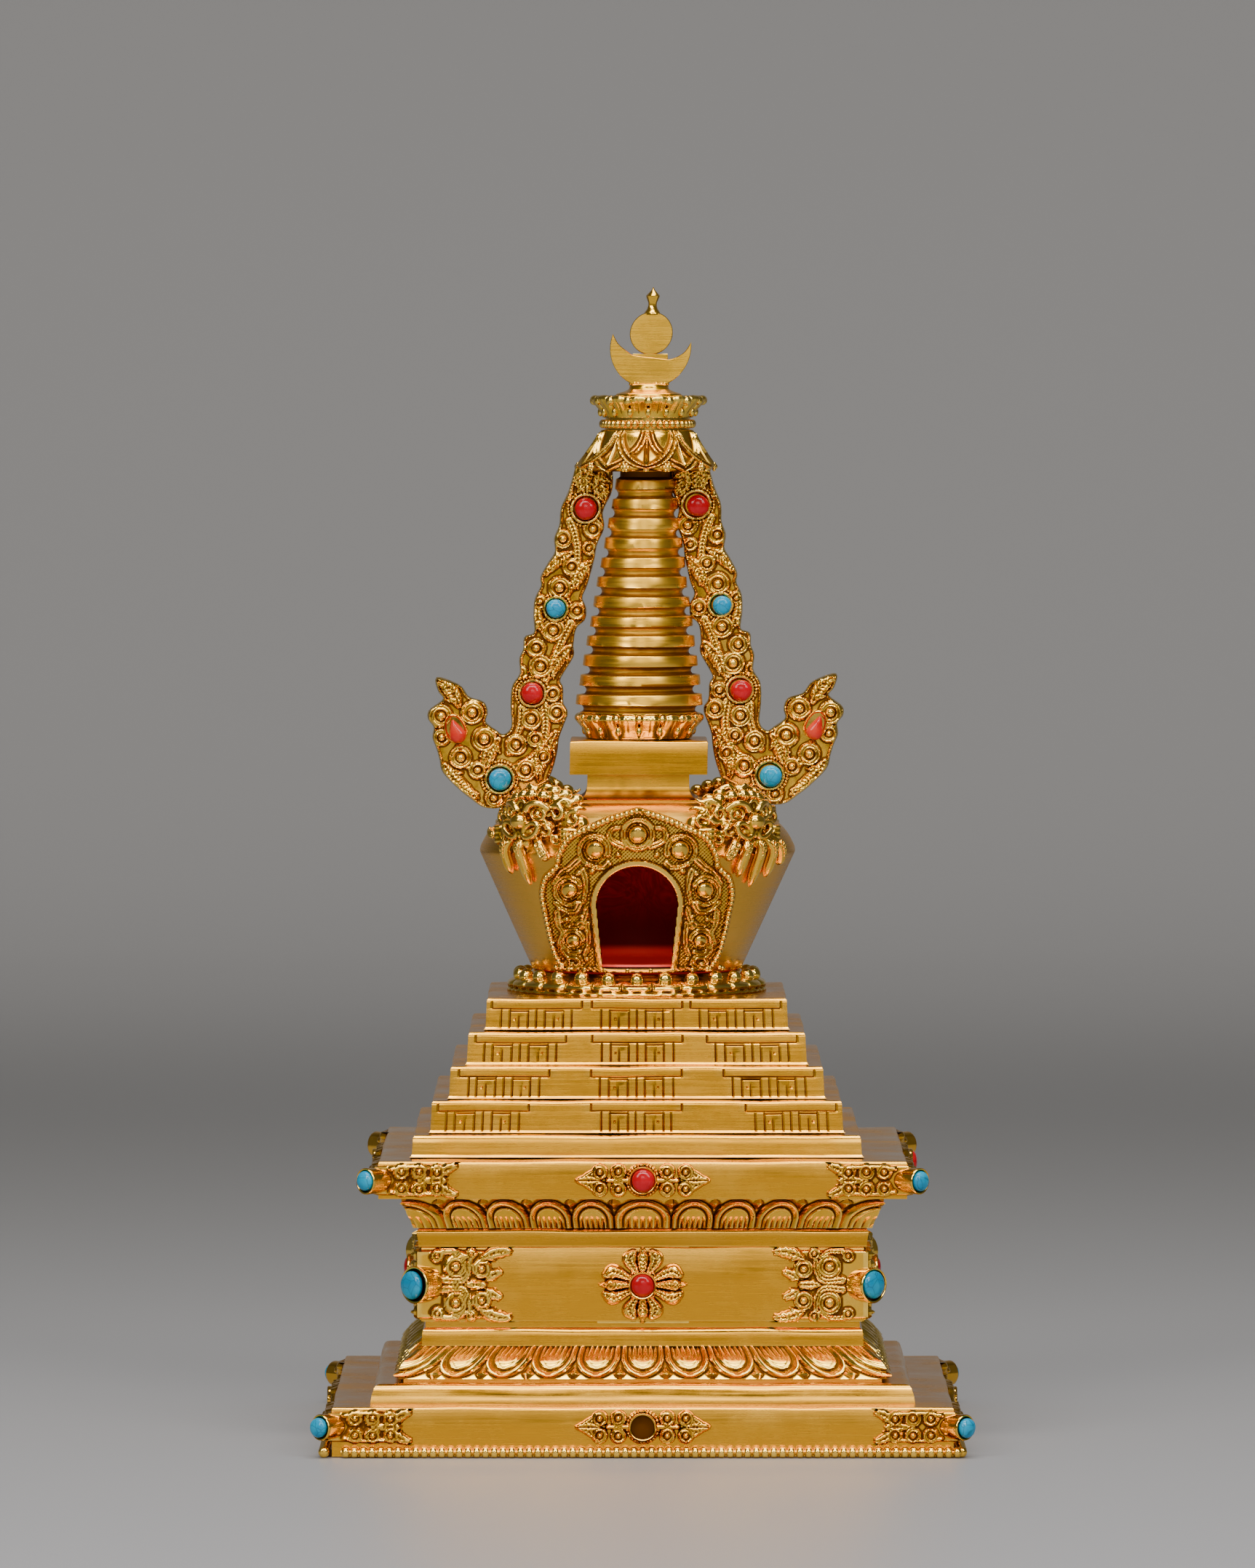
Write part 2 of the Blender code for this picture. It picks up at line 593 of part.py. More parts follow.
def make_pedestal(mat):
    soft = EDGE_SOFTNESS
    profile = [
        (0.0, Z_PEDESTAL),
        (TOP_SLAB_HALF - soft, Z_PEDESTAL),
        (TOP_SLAB_HALF, Z_PEDESTAL - soft),
        (TOP_SLAB_HALF, Z_TOP_SLAB),
        (UPPER_LOTUS_TOP_HALF - NECK_INSET, Z_TOP_SLAB),
        (UPPER_LOTUS_TOP_HALF - NECK_INSET, Z_UPPER_NECK - 0.5 * UPPER_NECK_H),
        (UPPER_LOTUS_FOOT_HALF - 2 * PETAL_DEPTH, Z_UPPER_NECK - 0.5 * UPPER_NECK_H),
        (UPPER_LOTUS_FOOT_HALF - 2 * PETAL_DEPTH, Z_UPPER_LOTUS),
        (LEDGE_HALF - 0.3 * soft, Z_UPPER_LOTUS),
        (LEDGE_HALF, Z_UPPER_LOTUS - 0.3 * soft),
        (LEDGE_HALF, Z_LEDGE),
        (DADO_HALF, Z_LEDGE),
        (DADO_HALF, Z_DADO),
        (DADO_HALF - DADO_GROOVE_DEPTH, Z_DADO),
        (DADO_HALF - DADO_GROOVE_DEPTH, Z_GROOVE),
        (UPPER_STEP_HALF, Z_GROOVE),
        (UPPER_STEP_HALF, Z_UPPER_STEP),
        (LOWER_LOTUS_TOP_HALF - 2 * PETAL_DEPTH, Z_UPPER_STEP),
        (LOWER_LOTUS_TOP_HALF - 2 * PETAL_DEPTH, Z_LOWER_LOTUS + 0.05 * LOWER_LOTUS_H),
        (LOWER_LOTUS_FOOT_HALF - NECK_INSET, Z_LOWER_LOTUS + 0.05 * LOWER_LOTUS_H),
        (LOWER_LOTUS_FOOT_HALF - NECK_INSET, Z_LOWER_NECK),
        (LOWER_STEP_HALF - soft, Z_LOWER_NECK),
        (LOWER_STEP_HALF, Z_LOWER_NECK - soft),
        (LOWER_STEP_HALF, Z_LOWER_STEP),
        (FOOT_SLAB_HALF - soft, Z_LOWER_STEP),
        (FOOT_SLAB_HALF, Z_LOWER_STEP - soft),
        (FOOT_SLAB_HALF, 0.0),
        (0.0, 0.0),
    ]
    body = turned(profile, 4, square=True)
    lower = petal_band(Z_LOWER_LOTUS, LOWER_LOTUS_H, LOWER_LOTUS_FOOT_HALF,
                       LOWER_LOTUS_TOP_HALF, True)
    upper = petal_band(Z_UPPER_LOTUS, UPPER_LOTUS_H, UPPER_LOTUS_FOOT_HALF,
                       UPPER_LOTUS_TOP_HALF, False)
    fuse(body, [lower, upper])
    foot_low, foot_high = slab_span(WIRE_D, FOOT_SLAB_H - WIRE_D)
    top_low, top_high = slab_span(Z_TOP_SLAB, TOP_SLAB_H)
    plaques = [
        all_round(lambda: corner_plaque(FOOT_SLAB_HALF, foot_low, foot_high,
                                        SLAB_PLAQUE_REACH, PLAQUE_ROOT)),
        all_round(lambda: corner_plaque(TOP_SLAB_HALF, top_low, top_high,
                                        SLAB_PLAQUE_REACH, PLAQUE_ROOT)),
        all_round(lambda: centre_plaque(FOOT_SLAB_HALF, foot_low, foot_high)),
        all_round(lambda: centre_plaque(TOP_SLAB_HALF, top_low, top_high)),
    ]
    bezels = [
        all_round(lambda: corner_bezel(FOOT_SLAB_HALF, FOOT_Z, CORNER_BEZEL_R,
                                       CORNER_BEZEL_OUT)),
        all_round(lambda: corner_bezel(TOP_SLAB_HALF, TOP_Z, CORNER_BEZEL_R,
                                       CORNER_BEZEL_OUT)),
        all_round(lambda: front_bezel(FOOT_SLAB_HALF, FOOT_Z, CENTRE_BEZEL_R,
                                      CENTRE_BEZEL_OUT)),
        all_round(lambda: front_bezel(TOP_SLAB_HALF, TOP_Z, CENTRE_BEZEL_R,
                                      CENTRE_BEZEL_OUT)),
    ]
    fuse(body, [gather(plaques), gather(bezels)])
    cut(body, empty_cups())
    finish(tidy(body, 0.01 * MM), "pedestal", mat)


def make_bead_rim(mat):
    """Plain wire under the beads, lying round the foot of the lower slab."""
    radius = WIRE_D / 2
    middle = FOOT_SLAB_HALF + GAP + radius
    profile = []
    for k in range(8):
        angle = math.radians(67.5 - 45 * k)
        reach = radius / math.cos(math.radians(22.5))
        profile.append((middle + reach * math.cos(angle), radius + reach * math.sin(angle)))
    wire = turned(profile, 4, square=True)
    bm = bmesh.new()
    bmesh.ops.create_cube(bm, size=1.0)
    size = Matrix.Diagonal((WIRE_BREAK, 4 * WIRE_D, 4 * WIRE_D, 1.0))
    place = Matrix.Translation((-middle + WIRE_D, -middle, 0.0))
    bmesh.ops.transform(bm, matrix=place @ size, verts=bm.verts)
    cut(wire, rough(bm))
    finish(wire, "bead_rim", mat)


def make_dado_ornaments(mat):
    """Loose plaques at the corners of the dado and a flower on each side."""
    mid_z = DADO_Z
    low = -DADO_H / 2 + PLAQUE_MARGIN
    sheet = corner_plaque(DADO_HALF, low, -low, DADO_PLAQUE_REACH, -GAP)
    setting = cone_between(corner_axis(DADO_HALF, 1.6 * GAP), corner_axis(DADO_HALF, DADO_BEZEL_OUT),
                           DADO_BEZEL_R * 0.9, DADO_BEZEL_R)
    fuse(sheet, [setting])
    fill = turned([(0.0, 1.0), (DADO_HALF + GAP, 1.0), (DADO_HALF + GAP, -1.0), (0.0, -1.0)], 4,
                  square=True)
    cut(sheet, fill)
    first = finish(sheet, "dado_plaque_" + CORNERS[0], mat, (0.0, 0.0, mid_z))
    for k in range(1, 4):
        copy_of(first, "dado_plaque_" + CORNERS[k], (0.0, 0.0, mid_z), quarter(k))

    outline = []
    for k in range(12):
        angle = math.radians(30 * k)
        lobe = 0.9 + 0.1 * math.cos(4 * angle)
        outline.append((FLOWER_W / 2 * lobe * math.cos(angle),
                        FLOWER_H / 2 * lobe * math.sin(angle)))
    flower = plate(outline, FLOWER_T)
    setting = cone_between((0.0, 0.0, 0.0), (0.0, -FLOWER_T / 2 - CENTRE_BEZEL_OUT / 2, 0.0),
                           CENTRE_BEZEL_R * 1.12, CENTRE_BEZEL_R)
    fuse(flower, [setting])
    out = DADO_HALF + GAP + FLOWER_T / 2
    for k, side in enumerate(SIDES):
        place = round_point(out, quarter(k), mid_z)
        if k == 0:
            first = finish(flower, "dado_flower_front", mat, place)
        else:
            copy_of(first, "dado_flower_" + side, place, quarter(k))


# Stones

def cabochon(radius, rise, drop_length=0.0):
    """Domed stone with its flat back at the origin, facing -Y.

    A drop's outline draws out to a point upwards over half of its length."""
    rings = []
    for scale, lift in ((1.0, 0.0), (0.82, 0.62)):
        ring = []
        for j in range(8):
            angle = math.radians(45 * j)
            x = radius * math.cos(angle)
            z = radius * math.sin(angle)
            if drop_length and z > 0.0:
                point = drop_length - 2 * radius
                z += point * math.sin(angle) ** 4
                x *= 0.85
            ring.append((scale * x, -lift * rise, scale * z))
        rings.append(ring)
    bm = bmesh.new()
    rows = [[bm.verts.new(point) for point in ring] for ring in rings]
    top = bm.verts.new((0.0, -rise, 0.0))
    bm.faces.new(rows[0])
    for j in range(8):
        k = (j + 1) % 8
        bm.faces.new((rows[0][j], rows[0][k], rows[1][k], rows[1][j]))
        bm.faces.new((rows[1][j], rows[1][k], top))
    bmesh.ops.recalc_face_normals(bm, faces=bm.faces)
    return rough(bm)


def make_pedestal_stones(turquoise, coral):
    """One stone in each setting that still has its own."""
    corner_rows = (("foot", FOOT_SLAB_HALF, FOOT_Z, CORNER_BEZEL_R, CORNER_BEZEL_OUT),
                   ("dado", DADO_HALF, DADO_Z, DADO_BEZEL_R, DADO_BEZEL_OUT),
                   ("top", TOP_SLAB_HALF, TOP_Z, CORNER_BEZEL_R, CORNER_BEZEL_OUT))
    for row, half, z, bezel_r, out in corner_rows:
        first = None
        for k, corner in enumerate(CORNERS):
            name = "turquoise_%s_%s" % (row, corner)
            at = corner_axis(half, out + GAP)
            at.z = z
            at = Matrix.Rotation(quarter(k), 3, "Z") @ at
            turn = math.radians(45) + quarter(k)
            if first is None:
                stone = cabochon(bezel_r - BEZEL_WALL - GAP, GEM_RISE)
                first = finish(stone, name, turquoise, at, turn, smooth=True)
            else:
                copy_of(first, name, at, turn)
    flower_out = DADO_HALF + GAP + FLOWER_T + CENTRE_BEZEL_OUT / 2 + GAP
    stone = cabochon(CENTRE_BEZEL_R - BEZEL_WALL / 2, GEM_RISE)
    first = finish(stone, "coral_top_front", coral,
                   round_point(TOP_SLAB_HALF + CENTRE_BEZEL_OUT + GAP, 0.0, TOP_Z), smooth=True)
    for k in (1, 2):
        place = round_point(TOP_SLAB_HALF + CENTRE_BEZEL_OUT + GAP, quarter(k), TOP_Z)
        copy_of(first, "coral_top_" + SIDES[k], place, quarter(k))
    for k, side in enumerate(SIDES):
        place = round_point(flower_out, quarter(k), DADO_Z)
        copy_of(first, "coral_dado_" + side, place, quarter(k))


# Terraces, lotus rings and dome

def make_terraces(mat):
    profile = []
    z = LOW_TERRACE_H + TERRACE_COUNT * TERRACE_H
    profile.append((0.0, z))
    for k in range(TERRACE_COUNT + 1):
        half = TOP_TERRACE_HALF + k * TERRACE_TREAD
        height = TERRACE_H if k < TERRACE_COUNT else LOW_TERRACE_H
        profile.append((half - 0.7 * EDGE_SOFTNESS, z))
        profile.append((half, z - 0.7 * EDGE_SOFTNESS))
        profile.append((half, z - height + 2 * TERRACE_FLARE))
        profile.append((half + TERRACE_FLARE, z - height))
        z -= height
    profile.append((0.0, 0.0))
    stack = turned(profile, 4, square=True)
    finish(stack, "terraces", mat, (0.0, 0.0, Z_TERRACES), leaning=True)


def lotus_ring(steps, petals, front_is_crest=True):
    """Round band of petals from steps of (height, crest radius, valley radius)."""
    rings = []
    for z, crest, valley in steps:
        ring = []
        for j in range(2 * petals):
            radius = crest if (j % 2 == 0) == front_is_crest else valley
            ring.append(round_point(radius, math.pi * j / petals, z))
        rings.append(ring)
    return loft(rings)


def make_dome_lotus(mat):
    steps = [(share * DOME_LOTUS_H, DOME_LOTUS_R - crest * MM, DOME_LOTUS_R - valley * MM)
             for share, crest, valley in DOME_LOTUS_STEPS]
    ring = lotus_ring(steps, DOME_PETALS)
    finish(ring, "dome_lotus", mat, (0.0, 0.0, Z_DOME_LOTUS), leaning=True)


def dome_profile(grow):
    """Dome outline from the top down, heights from its foot, grown by a distance."""
    fall = DOME_EDGE_R - DOME_TOP_R
    points = []
    for share, up, sideways, upwards in DOME_SHOULDER:
        points.append((DOME_TOP_R + share * fall + sideways * grow,
                       DOME_WALL_H + up * DOME_SHOULDER_H + upwards * grow))
    points.append((DOME_FOOT_R + grow, 0.0))
    return points


def wall_radius(z):
    """Outer radius of the dome's cone at a height above its foot, carried on upwards."""
    return DOME_FOOT_R + (DOME_EDGE_R - DOME_FOOT_R) * z / DOME_WALL_H


def door_outline(margin=0.0):
    """Opening of the niche, from the right foot over the arch to the left foot."""
    points = [(DOOR_FOOT_HALF + margin, DOOR_SILL - margin)]
    for k in range(11):
        angle = math.pi * k / 10
        points.append(((DOOR_HALF + margin) * math.cos(angle),
                       DOOR_SPRING + (DOOR_RISE + margin) * math.sin(angle)))
    points.append((-DOOR_FOOT_HALF - margin, DOOR_SILL - margin))
    return points


def make_dome(mat):
    """Hollow dome with its floor, open only at the door."""
    outer = dome_profile(0.0)
    body = turned([(0.0, outer[0][1])] + outer + [(0.0, 0.0)], DOME_SIDES)
    inner = dome_profile(-DOME_WALL_T)
    inner[-1] = (wall_radius(DOOR_SILL) - 1.2 * DOME_WALL_T, DOOR_SILL)
    hollow = turned([(0.0, inner[0][1])] + inner + [(0.0, DOOR_SILL)], DOME_SIDES)
    door = plate(door_outline(), 2 * DOME_EDGE_R)
    moved(door, Matrix.Translation((0.0, -1.3 * DOME_EDGE_R, 0.0)))
    fuse(hollow, [door])
    cut(body, hollow)
    finish(body, "dome", mat, (0.0, 0.0, Z_DOME), smooth=True, leaning=True)


def frame_edge_radius(angle):
    """Distance of the frame's outer edge from its middle, the same on both halves."""
    turn = angle % 360
    if turn < 90:
        turn = 180 - turn
    elif turn > 270:
        turn = 540 - turn
    last_angle, last_radius = FRAME_EDGE[-1]
    if turn >= last_angle:
        foot = last_radius * math.sin(math.radians(last_angle))
        return foot * MM / math.sin(math.radians(turn))
    for (a0, r0), (a1, r1) in zip(FRAME_EDGE, FRAME_EDGE[1:]):
        if a0 <= turn <= a1:
            return (r0 + (r1 - r0) * (turn - a0) / (a1 - a0)) * MM
    return last_radius * MM


def opening_radius(angle):
    """Distance of the door's edge from the frame's middle along a ray."""
    ray = Vector((math.cos(math.radians(angle)), math.sin(math.radians(angle))))
    points = [Vector((x, z - FRAME_CENTRE)) for x, z in door_outline()]
    for a, b in zip(points, points[1:] + points[:1]):
        edge = b - a
        cross = ray.x * edge.y - ray.y * edge.x
        if abs(cross) < 1e-12:
            continue
        along_ray = (a.x * edge.y - a.y * edge.x) / cross
        along_edge = (a.x * ray.y - a.y * ray.x) / cross
        if along_ray > 0.0 and -1e-9 <= along_edge <= 1.0 + 1e-9:
            return along_ray
    return DOOR_HALF


def on_cone(x, z, out):
    """A point of the frame: across, above the dome's foot, out from the dome's cone."""
    radius = wall_radius(z) + out
    return (x, -math.sqrt(radius ** 2 - x ** 2), z)


def make_doorway_frame(mat):
    """Flame-edged frame round the door, lying on the dome and free above its shoulder."""
    foot_angle = math.degrees(math.atan2(DOOR_SILL - FRAME_CENTRE, DOOR_FOOT_HALF)) % 360
    half = [90 - (a - 90) for a, _ in FRAME_EDGE[1:]]
    angles = [90] + half + [foot_angle - 360 + 0.01, -75, -90]
    angles = angles + [180 - a for a in reversed(angles[1:-1])]
    seat = GAP + FRAME_SEAT
    rings = []
    for angle in angles:
        ray = Vector((math.cos(math.radians(angle)), math.sin(math.radians(angle))))
        inside = opening_radius(angle)
        outside = frame_edge_radius(angle)
        middle = 0.45 * inside + 0.55 * outside
        ring = []
        for reach, out in ((inside, seat), (middle, seat), (outside, seat),
                           (outside, seat + FRAME_T), (middle, seat + 0.7 * FRAME_T),
                           (inside, seat + FRAME_T)):
            ring.append(on_cone(reach * ray.x, FRAME_CENTRE + reach * ray.y, out))
        rings.append(ring)
    band = loft(rings, closed=True)
    bosses = []
    for across, up, radius in FRAME_BOSSES:
        for side in ((1, -1) if across else (1,)):
            at = on_cone(side * across * MM, FRAME_CENTRE + up * MM, seat + 0.6 * FRAME_T)
            bosses.append(ball(at, (radius * MM, 0.75 * radius * MM, radius * MM), 6, 3))
    fuse(band, [gather(bosses)])
    finish(tidy(band, 0.02 * MM), "doorway_frame", mat, (0.0, 0.0, Z_DOME), leaning=True)


# Guardian masks on the dome's shoulder

def strand(angle, z_end):
    """Beaded strand from the chin over the dome's edge to its tip."""
    over = DOME_EDGE_R + STRAND_R + GAP
    chin_angle = math.radians(angle * 0.25)
    edge_angle = math.radians(angle * 0.7)
    start = round_point(MASK_R + CHIN_OUT, chin_angle, MASK_UP - CHIN_DOWN)
    bend_z = max(DOME_WALL_H + 0.4 * MM, z_end)
    bend = round_point(over, edge_angle, bend_z)
    tip = round_point(min(wall_radius(z_end), DOME_EDGE_R) + 0.8 * STRAND_R,
                      math.radians(angle), z_end)
    rings = []
    outwards = Vector((math.sin(edge_angle), -math.cos(edge_angle), 0.0))
    sideways = (Vector(tip) - Vector(start)).cross(outwards).normalized()
    for centre, radius in ((start, 0.8), (bend, 1.2), (tip, 0.9)):
        centre = Vector(centre)
        half = radius * STRAND_R
        rings.append([centre + sideways * half, centre + outwards * half,
                      centre - sideways * half, centre - outwards * half])
    return loft(rings)


def make_mask(strands):
    """Monster face with bulging eyes and nose, two fists and its strands."""
    head = ball((0.0, -MASK_R, MASK_UP), [MM * half for half in MASK_HEAD], 8, 5)
    lumps = []
    for (across, out, up), halves in MASK_LUMPS:
        at = (across * MM, -MASK_R - out * MM, MASK_UP + up * MM)
        lumps.append(ball(at, [MM * half for half in halves]))
    for side in (1, -1):
        at = round_point(MASK_R + FIST_OUT, math.radians(side * FIST_ANGLE), MASK_UP - FIST_DOWN)
        lumps.append(ball(at, [MM * half for half in FIST]))
    for angle, up in strands:
        lumps.append(strand(angle, DOME_WALL_H + up * MM))
    fuse(head, lumps)
    seat = dome_profile(GAP)
    cut(head, turned([(0.0, seat[0][1])] + seat + [(0.0, -1.0 * MM)], DOME_SIDES))
    return tidy(head, 0.02 * MM)


def make_masks(mat):
    lean = lean_at(Z_EDGE)
    place = (lean, 0.0, Z_DOME)
    half_turn = math.radians(45)
    finish(make_mask(STRANDS_RIGHT), "mask_front_right", mat, place, half_turn)
    finish(make_mask(STRANDS_LEFT), "mask_front_left", mat, place, -half_turn)
    back = finish(make_mask(STRANDS_RIGHT), "mask_back_right", mat, place, 3 * half_turn)
    copy_of(back, "mask_back_left", place, -3 * half_turn)


# Tower above the dome

def make_harmika(mat):
    top = NECK_H + BLOCK_H
    soft = 0.6 * EDGE_SOFTNESS
    profile = [(0.0, top), (BLOCK_HALF - soft, top), (BLOCK_HALF, top - soft),
               (BLOCK_HALF, NECK_H), (NECK_HALF, NECK_H), (NECK_HALF, 2.2 * NECK_FLARE),
               (NECK_HALF + NECK_FLARE, NECK_FLARE), (NECK_HALF + NECK_FLARE, 0.0), (0.0, 0.0)]
    finish(turned(profile, 4, square=True), "harmika", mat, (0.0, 0.0, Z_HARMIKA), leaning=True)


def cup_lotus(foot_r, top_r, height):
    """Steps of an opening lotus whose petals spread towards the top."""
    deep = LOTUS_DEPTH
    return ((0.0, foot_r, foot_r - deep), (0.45 * height, foot_r + 0.55 * (top_r - foot_r),
            foot_r), (0.8 * height, top_r, top_r - 1.4 * deep),
            (height, top_r - 0.5 * deep, top_r - 1.9 * deep))


def make_spire_lotus(mat):
    steps = cup_lotus(SPIRE_LOTUS_FOOT_R, SPIRE_LOTUS_R, SPIRE_LOTUS_H)
    ring = lotus_ring(steps, LOTUS_PETALS, front_is_crest=False)
    finish(ring, "spire_lotus", mat, (0.0, 0.0, Z_SPIRE_LOTUS), leaning=True)


def make_spire(mat):
    """Tapering stack of rings with a stub that enters the canopy."""
    groove_h = RING_PITCH - RING_H
    stub_r = RING_GROOVE * TOP_RING_R
    top = Z_CANOPY - Z_SPIRE + CANOPY_H - CANOPY_WALL - GAP
    profile = [(0.0, top), (stub_r, top)]
    z = Z_RINGS_TOP - Z_SPIRE
    profile.append((stub_r, z))
    for i in range(RING_COUNT):
        radius = TOP_RING_R + i * RING_GROWTH
        profile.append((radius, z))
        profile.append((radius, z - RING_H))
        profile.append((RING_GROOVE * radius, z - RING_H - 0.5 * groove_h))
        z -= RING_PITCH
    profile[-1] = (RING_GROOVE * radius, 0.0)
    profile.append((0.0, 0.0))
    finish(turned(profile, SPIRE_SIDES), "spire", mat, (0.0, 0.0, Z_SPIRE), smooth=True,
           leaning=True)


def make_canopy(mat):
    """Bell-shaped canopy, hollow beneath."""
    rim = CANOPY_RIM_R
    top = CANOPY_TOP_R
    h = CANOPY_H
    wall = CANOPY_WALL
    profile = [(0.0, h), (top, h), (top + 0.62 * (rim - top), 0.65 * h), (rim, 0.2 * h),
               (rim - 0.3 * MM, 0.0), (rim - wall, 0.1 * h), (top - 0.2 * wall, h - wall),
               (0.0, h - wall)]
    bell = turned(profile, 20)
    finish(bell, "canopy", mat, (0.0, 0.0, Z_CANOPY), smooth=True, leaning=True)


def make_canopy_beads(mat):
    radius = CANOPY_BEAD_D / 2
    profile = []
    for k in range(6):
        angle = math.radians(60 - 60 * k)
        profile.append((CANOPY_BEAD_R - radius + radius * math.cos(angle),
                        radius + radius * math.sin(angle)))
    profile = [(0.0, profile[0][1])] + profile[:4] + [(0.0, profile[3][1])]
    ring = turned(profile, 20)
    finish(ring, "canopy_beads", mat, (0.0, 0.0, Z_CANOPY_BEADS), smooth=True, leaning=True)


def make_canopy_lotus(mat):
    steps = cup_lotus(CANOPY_LOTUS_FOOT_R, CANOPY_LOTUS_R, CANOPY_LOTUS_H)
    ring = lotus_ring(steps, LOTUS_PETALS, front_is_crest=False)
    finish(ring, "canopy_lotus", mat, (0.0, 0.0, Z_CANOPY_LOTUS), leaning=True)


def crescent_outline():
    """Outer round of the moon from horn to horn, then its hollow back again."""
    horn = math.asin(CRESCENT_HORN_UP / CRESCENT_R)
    points = []
    for k in range(13):
        angle = horn - (math.pi + 2 * horn) * k / 12
        points.append((CRESCENT_R * math.cos(angle), CRESCENT_R * math.sin(angle)))
    half = CRESCENT_R * math.cos(horn)
    sag = CRESCENT_HORN_UP - CRESCENT_DIP_UP
    inner_r = (half ** 2 + sag ** 2) / (2 * sag)
    centre = CRESCENT_DIP_UP + inner_r
    spread = math.asin(half / inner_r)
    for k in range(1, 8):
        angle = -spread + 2 * spread * k / 8
        points.append((inner_r * math.sin(angle), centre - inner_r * math.cos(angle)))
    return points


def make_finial(mat):
    """Seat, crescent moon, sun disc and flame, one casting."""
    seat = turned([(0.0, SEAT_H), (SEAT_NECK_R, SEAT_H), (SEAT_NECK_R, 0.75 * SEAT_H),
                   (SEAT_R, 0.3 * SEAT_H), (SEAT_R, 0.0), (0.0, 0.0)], 12)
    moon = moved(plate(crescent_outline(), CRESCENT_T),
                 Matrix.Translation((0.0, 0.0, Z_CRESCENT - Z_SEAT)))
    z_sun = Z_SUN - Z_SEAT
    sun = cone_between((0.0, SUN_T / 2, z_sun), (0.0, -SUN_T / 2, z_sun), SUN_R, SUN_R, 16)
    low = Z_CRESCENT + CRESCENT_DIP_UP - Z_SEAT - 0.3 * CRESCENT_T
    high = z_sun - 0.8 * SUN_R
    rest = plate([(-SUN_REST_HALF, low), (SUN_REST_HALF, low), (SUN_REST_HALF, high),
                  (-SUN_REST_HALF, high)], 0.6 * CRESCENT_T)
    flame = turned([(0.0, FLAME_H), (0.35 * FLAME_R, 0.88 * FLAME_H), (FLAME_R, 0.66 * FLAME_H),
                    (0.8 * FLAME_R, 0.52 * FLAME_H), (FLAME_NECK_R, 0.38 * FLAME_H),
                    (FLAME_R, -0.05 * FLAME_H), (0.0, -0.05 * FLAME_H)], 6)
    moved(flame, Matrix.Translation((0.0, 0.0, Z_FLAME - Z_SEAT)))
    fuse(seat, [moon, rest, sun, flame])
    finish(seat, "finial", mat, (0.0, 0.0, Z_SEAT), leaning=True)


# Streamers

def streamer_place(side, across, up):
    """Across and up in a streamer's own drawing to the tower's straight frame."""
    z = Z_HARMIKA + (Z_CANOPY - Z_HARMIKA) * up
    if side > 0:
        return across * MM - RIGHT_STREAMER_IN, z + RIGHT_STREAMER_UP
    return -across * MM, z


def ribbon_outline(side, run):
    """Both edges of a ribbon given by its middle line and half widths."""
    line = [Vector(streamer_place(side, x, up)) for x, up, _ in run]
    left = []
    right = []
    for i, (_, _, half) in enumerate(run):
        along = (line[min(i + 1, len(run) - 1)] - line[max(i - 1, 0)]).normalized()
        across = Vector((-along.y, along.x)) * half * MM
        left.append(line[i] + across)
        right.append(line[i] - across)
    return left + right[::-1]


def make_streamer(side, mats):
    """Cast openwork tail hanging from the canopy to the dome, with its stones."""
    word = "right" if side > 0 else "left"
    gold, turquoise, coral, drop = mats

    def flat(points, thickness):
        return plate([streamer_place(side, x, z) for x, z in points], thickness)

    def disc(across, up, radius, thickness, sides=6):
        x, z = streamer_place(side, across, up)
        return cone_between((x, thickness / 2, z), (x, -thickness / 2, z), radius, radius, sides)

    body = plate(ribbon_outline(side, STREAMER_RUN), STREAMER_T)
    parts = [flat(STREAMER_LEAF, 0.8 * STREAMER_T), flat(STREAMER_FOOT, 1.3 * STREAMER_T)]
    for across, up, radius in SCROLLS:
        parts.append(disc(across, up, radius * MM, SCROLL_T))
    for _, across, up, radius in STREAMER_STONES:
        x, z = streamer_place(side, across, up)
        rim = radius * MM + STREAMER_BEZEL_RIM
        parts.append(cone_between((x, 0.0, z), (x, -STREAMER_BEZEL_OUT, z), rim, rim, 7))
    x, z = streamer_place(side, *DROP_AT)
    parts.append(cone_between((x, 0.0, z), (x, -STREAMER_BEZEL_OUT, z),
                              DROP_R + 1.5 * DROP_BEZEL_WALL, DROP_R + DROP_BEZEL_WALL, 7))
    fuse(body, parts)
    seat = dome_profile(GAP)
    dome = turned([(0.0, seat[0][1])] + seat + [(0.0, -1.0 * MM)], DOME_SIDES)
    cut(body, moved(dome, Matrix.Translation((0.0, 0.0, Z_DOME))))
    finish(tidy(body, 0.02 * MM), "streamer_" + word, gold, leaning=True)

    out = -STREAMER_BEZEL_OUT - GAP
    for name, across, up, radius in STREAMER_STONES:
        x, z = streamer_place(side, across, up)
        stone = cabochon(radius * MM, GEM_RISE)
        mat = coral if name.startswith("coral") else turquoise
        finish(stone, "%s_%s" % (name, word), mat, (x + lean_at(z), out, z), smooth=True)
    x, z = streamer_place(side, *DROP_AT)
    stone = cabochon(DROP_R, GEM_RISE, DROP_LENGTH)
    turn = math.radians(side * DROP_TURN)
    moved(stone, Matrix.Rotation(turn, 4, "Y") @ Matrix.Translation((0.0, 0.0, -DROP_SINK)))
    finish(stone, "coral_drop_" + word, drop, (x + lean_at(z), out, z), smooth=True)


clear_scene()
stupa = make_collection("stupa")
workshop = make_collection("workshop")
root = bpy.data.objects.new("stupa_root", None)
stupa.objects.link(root)

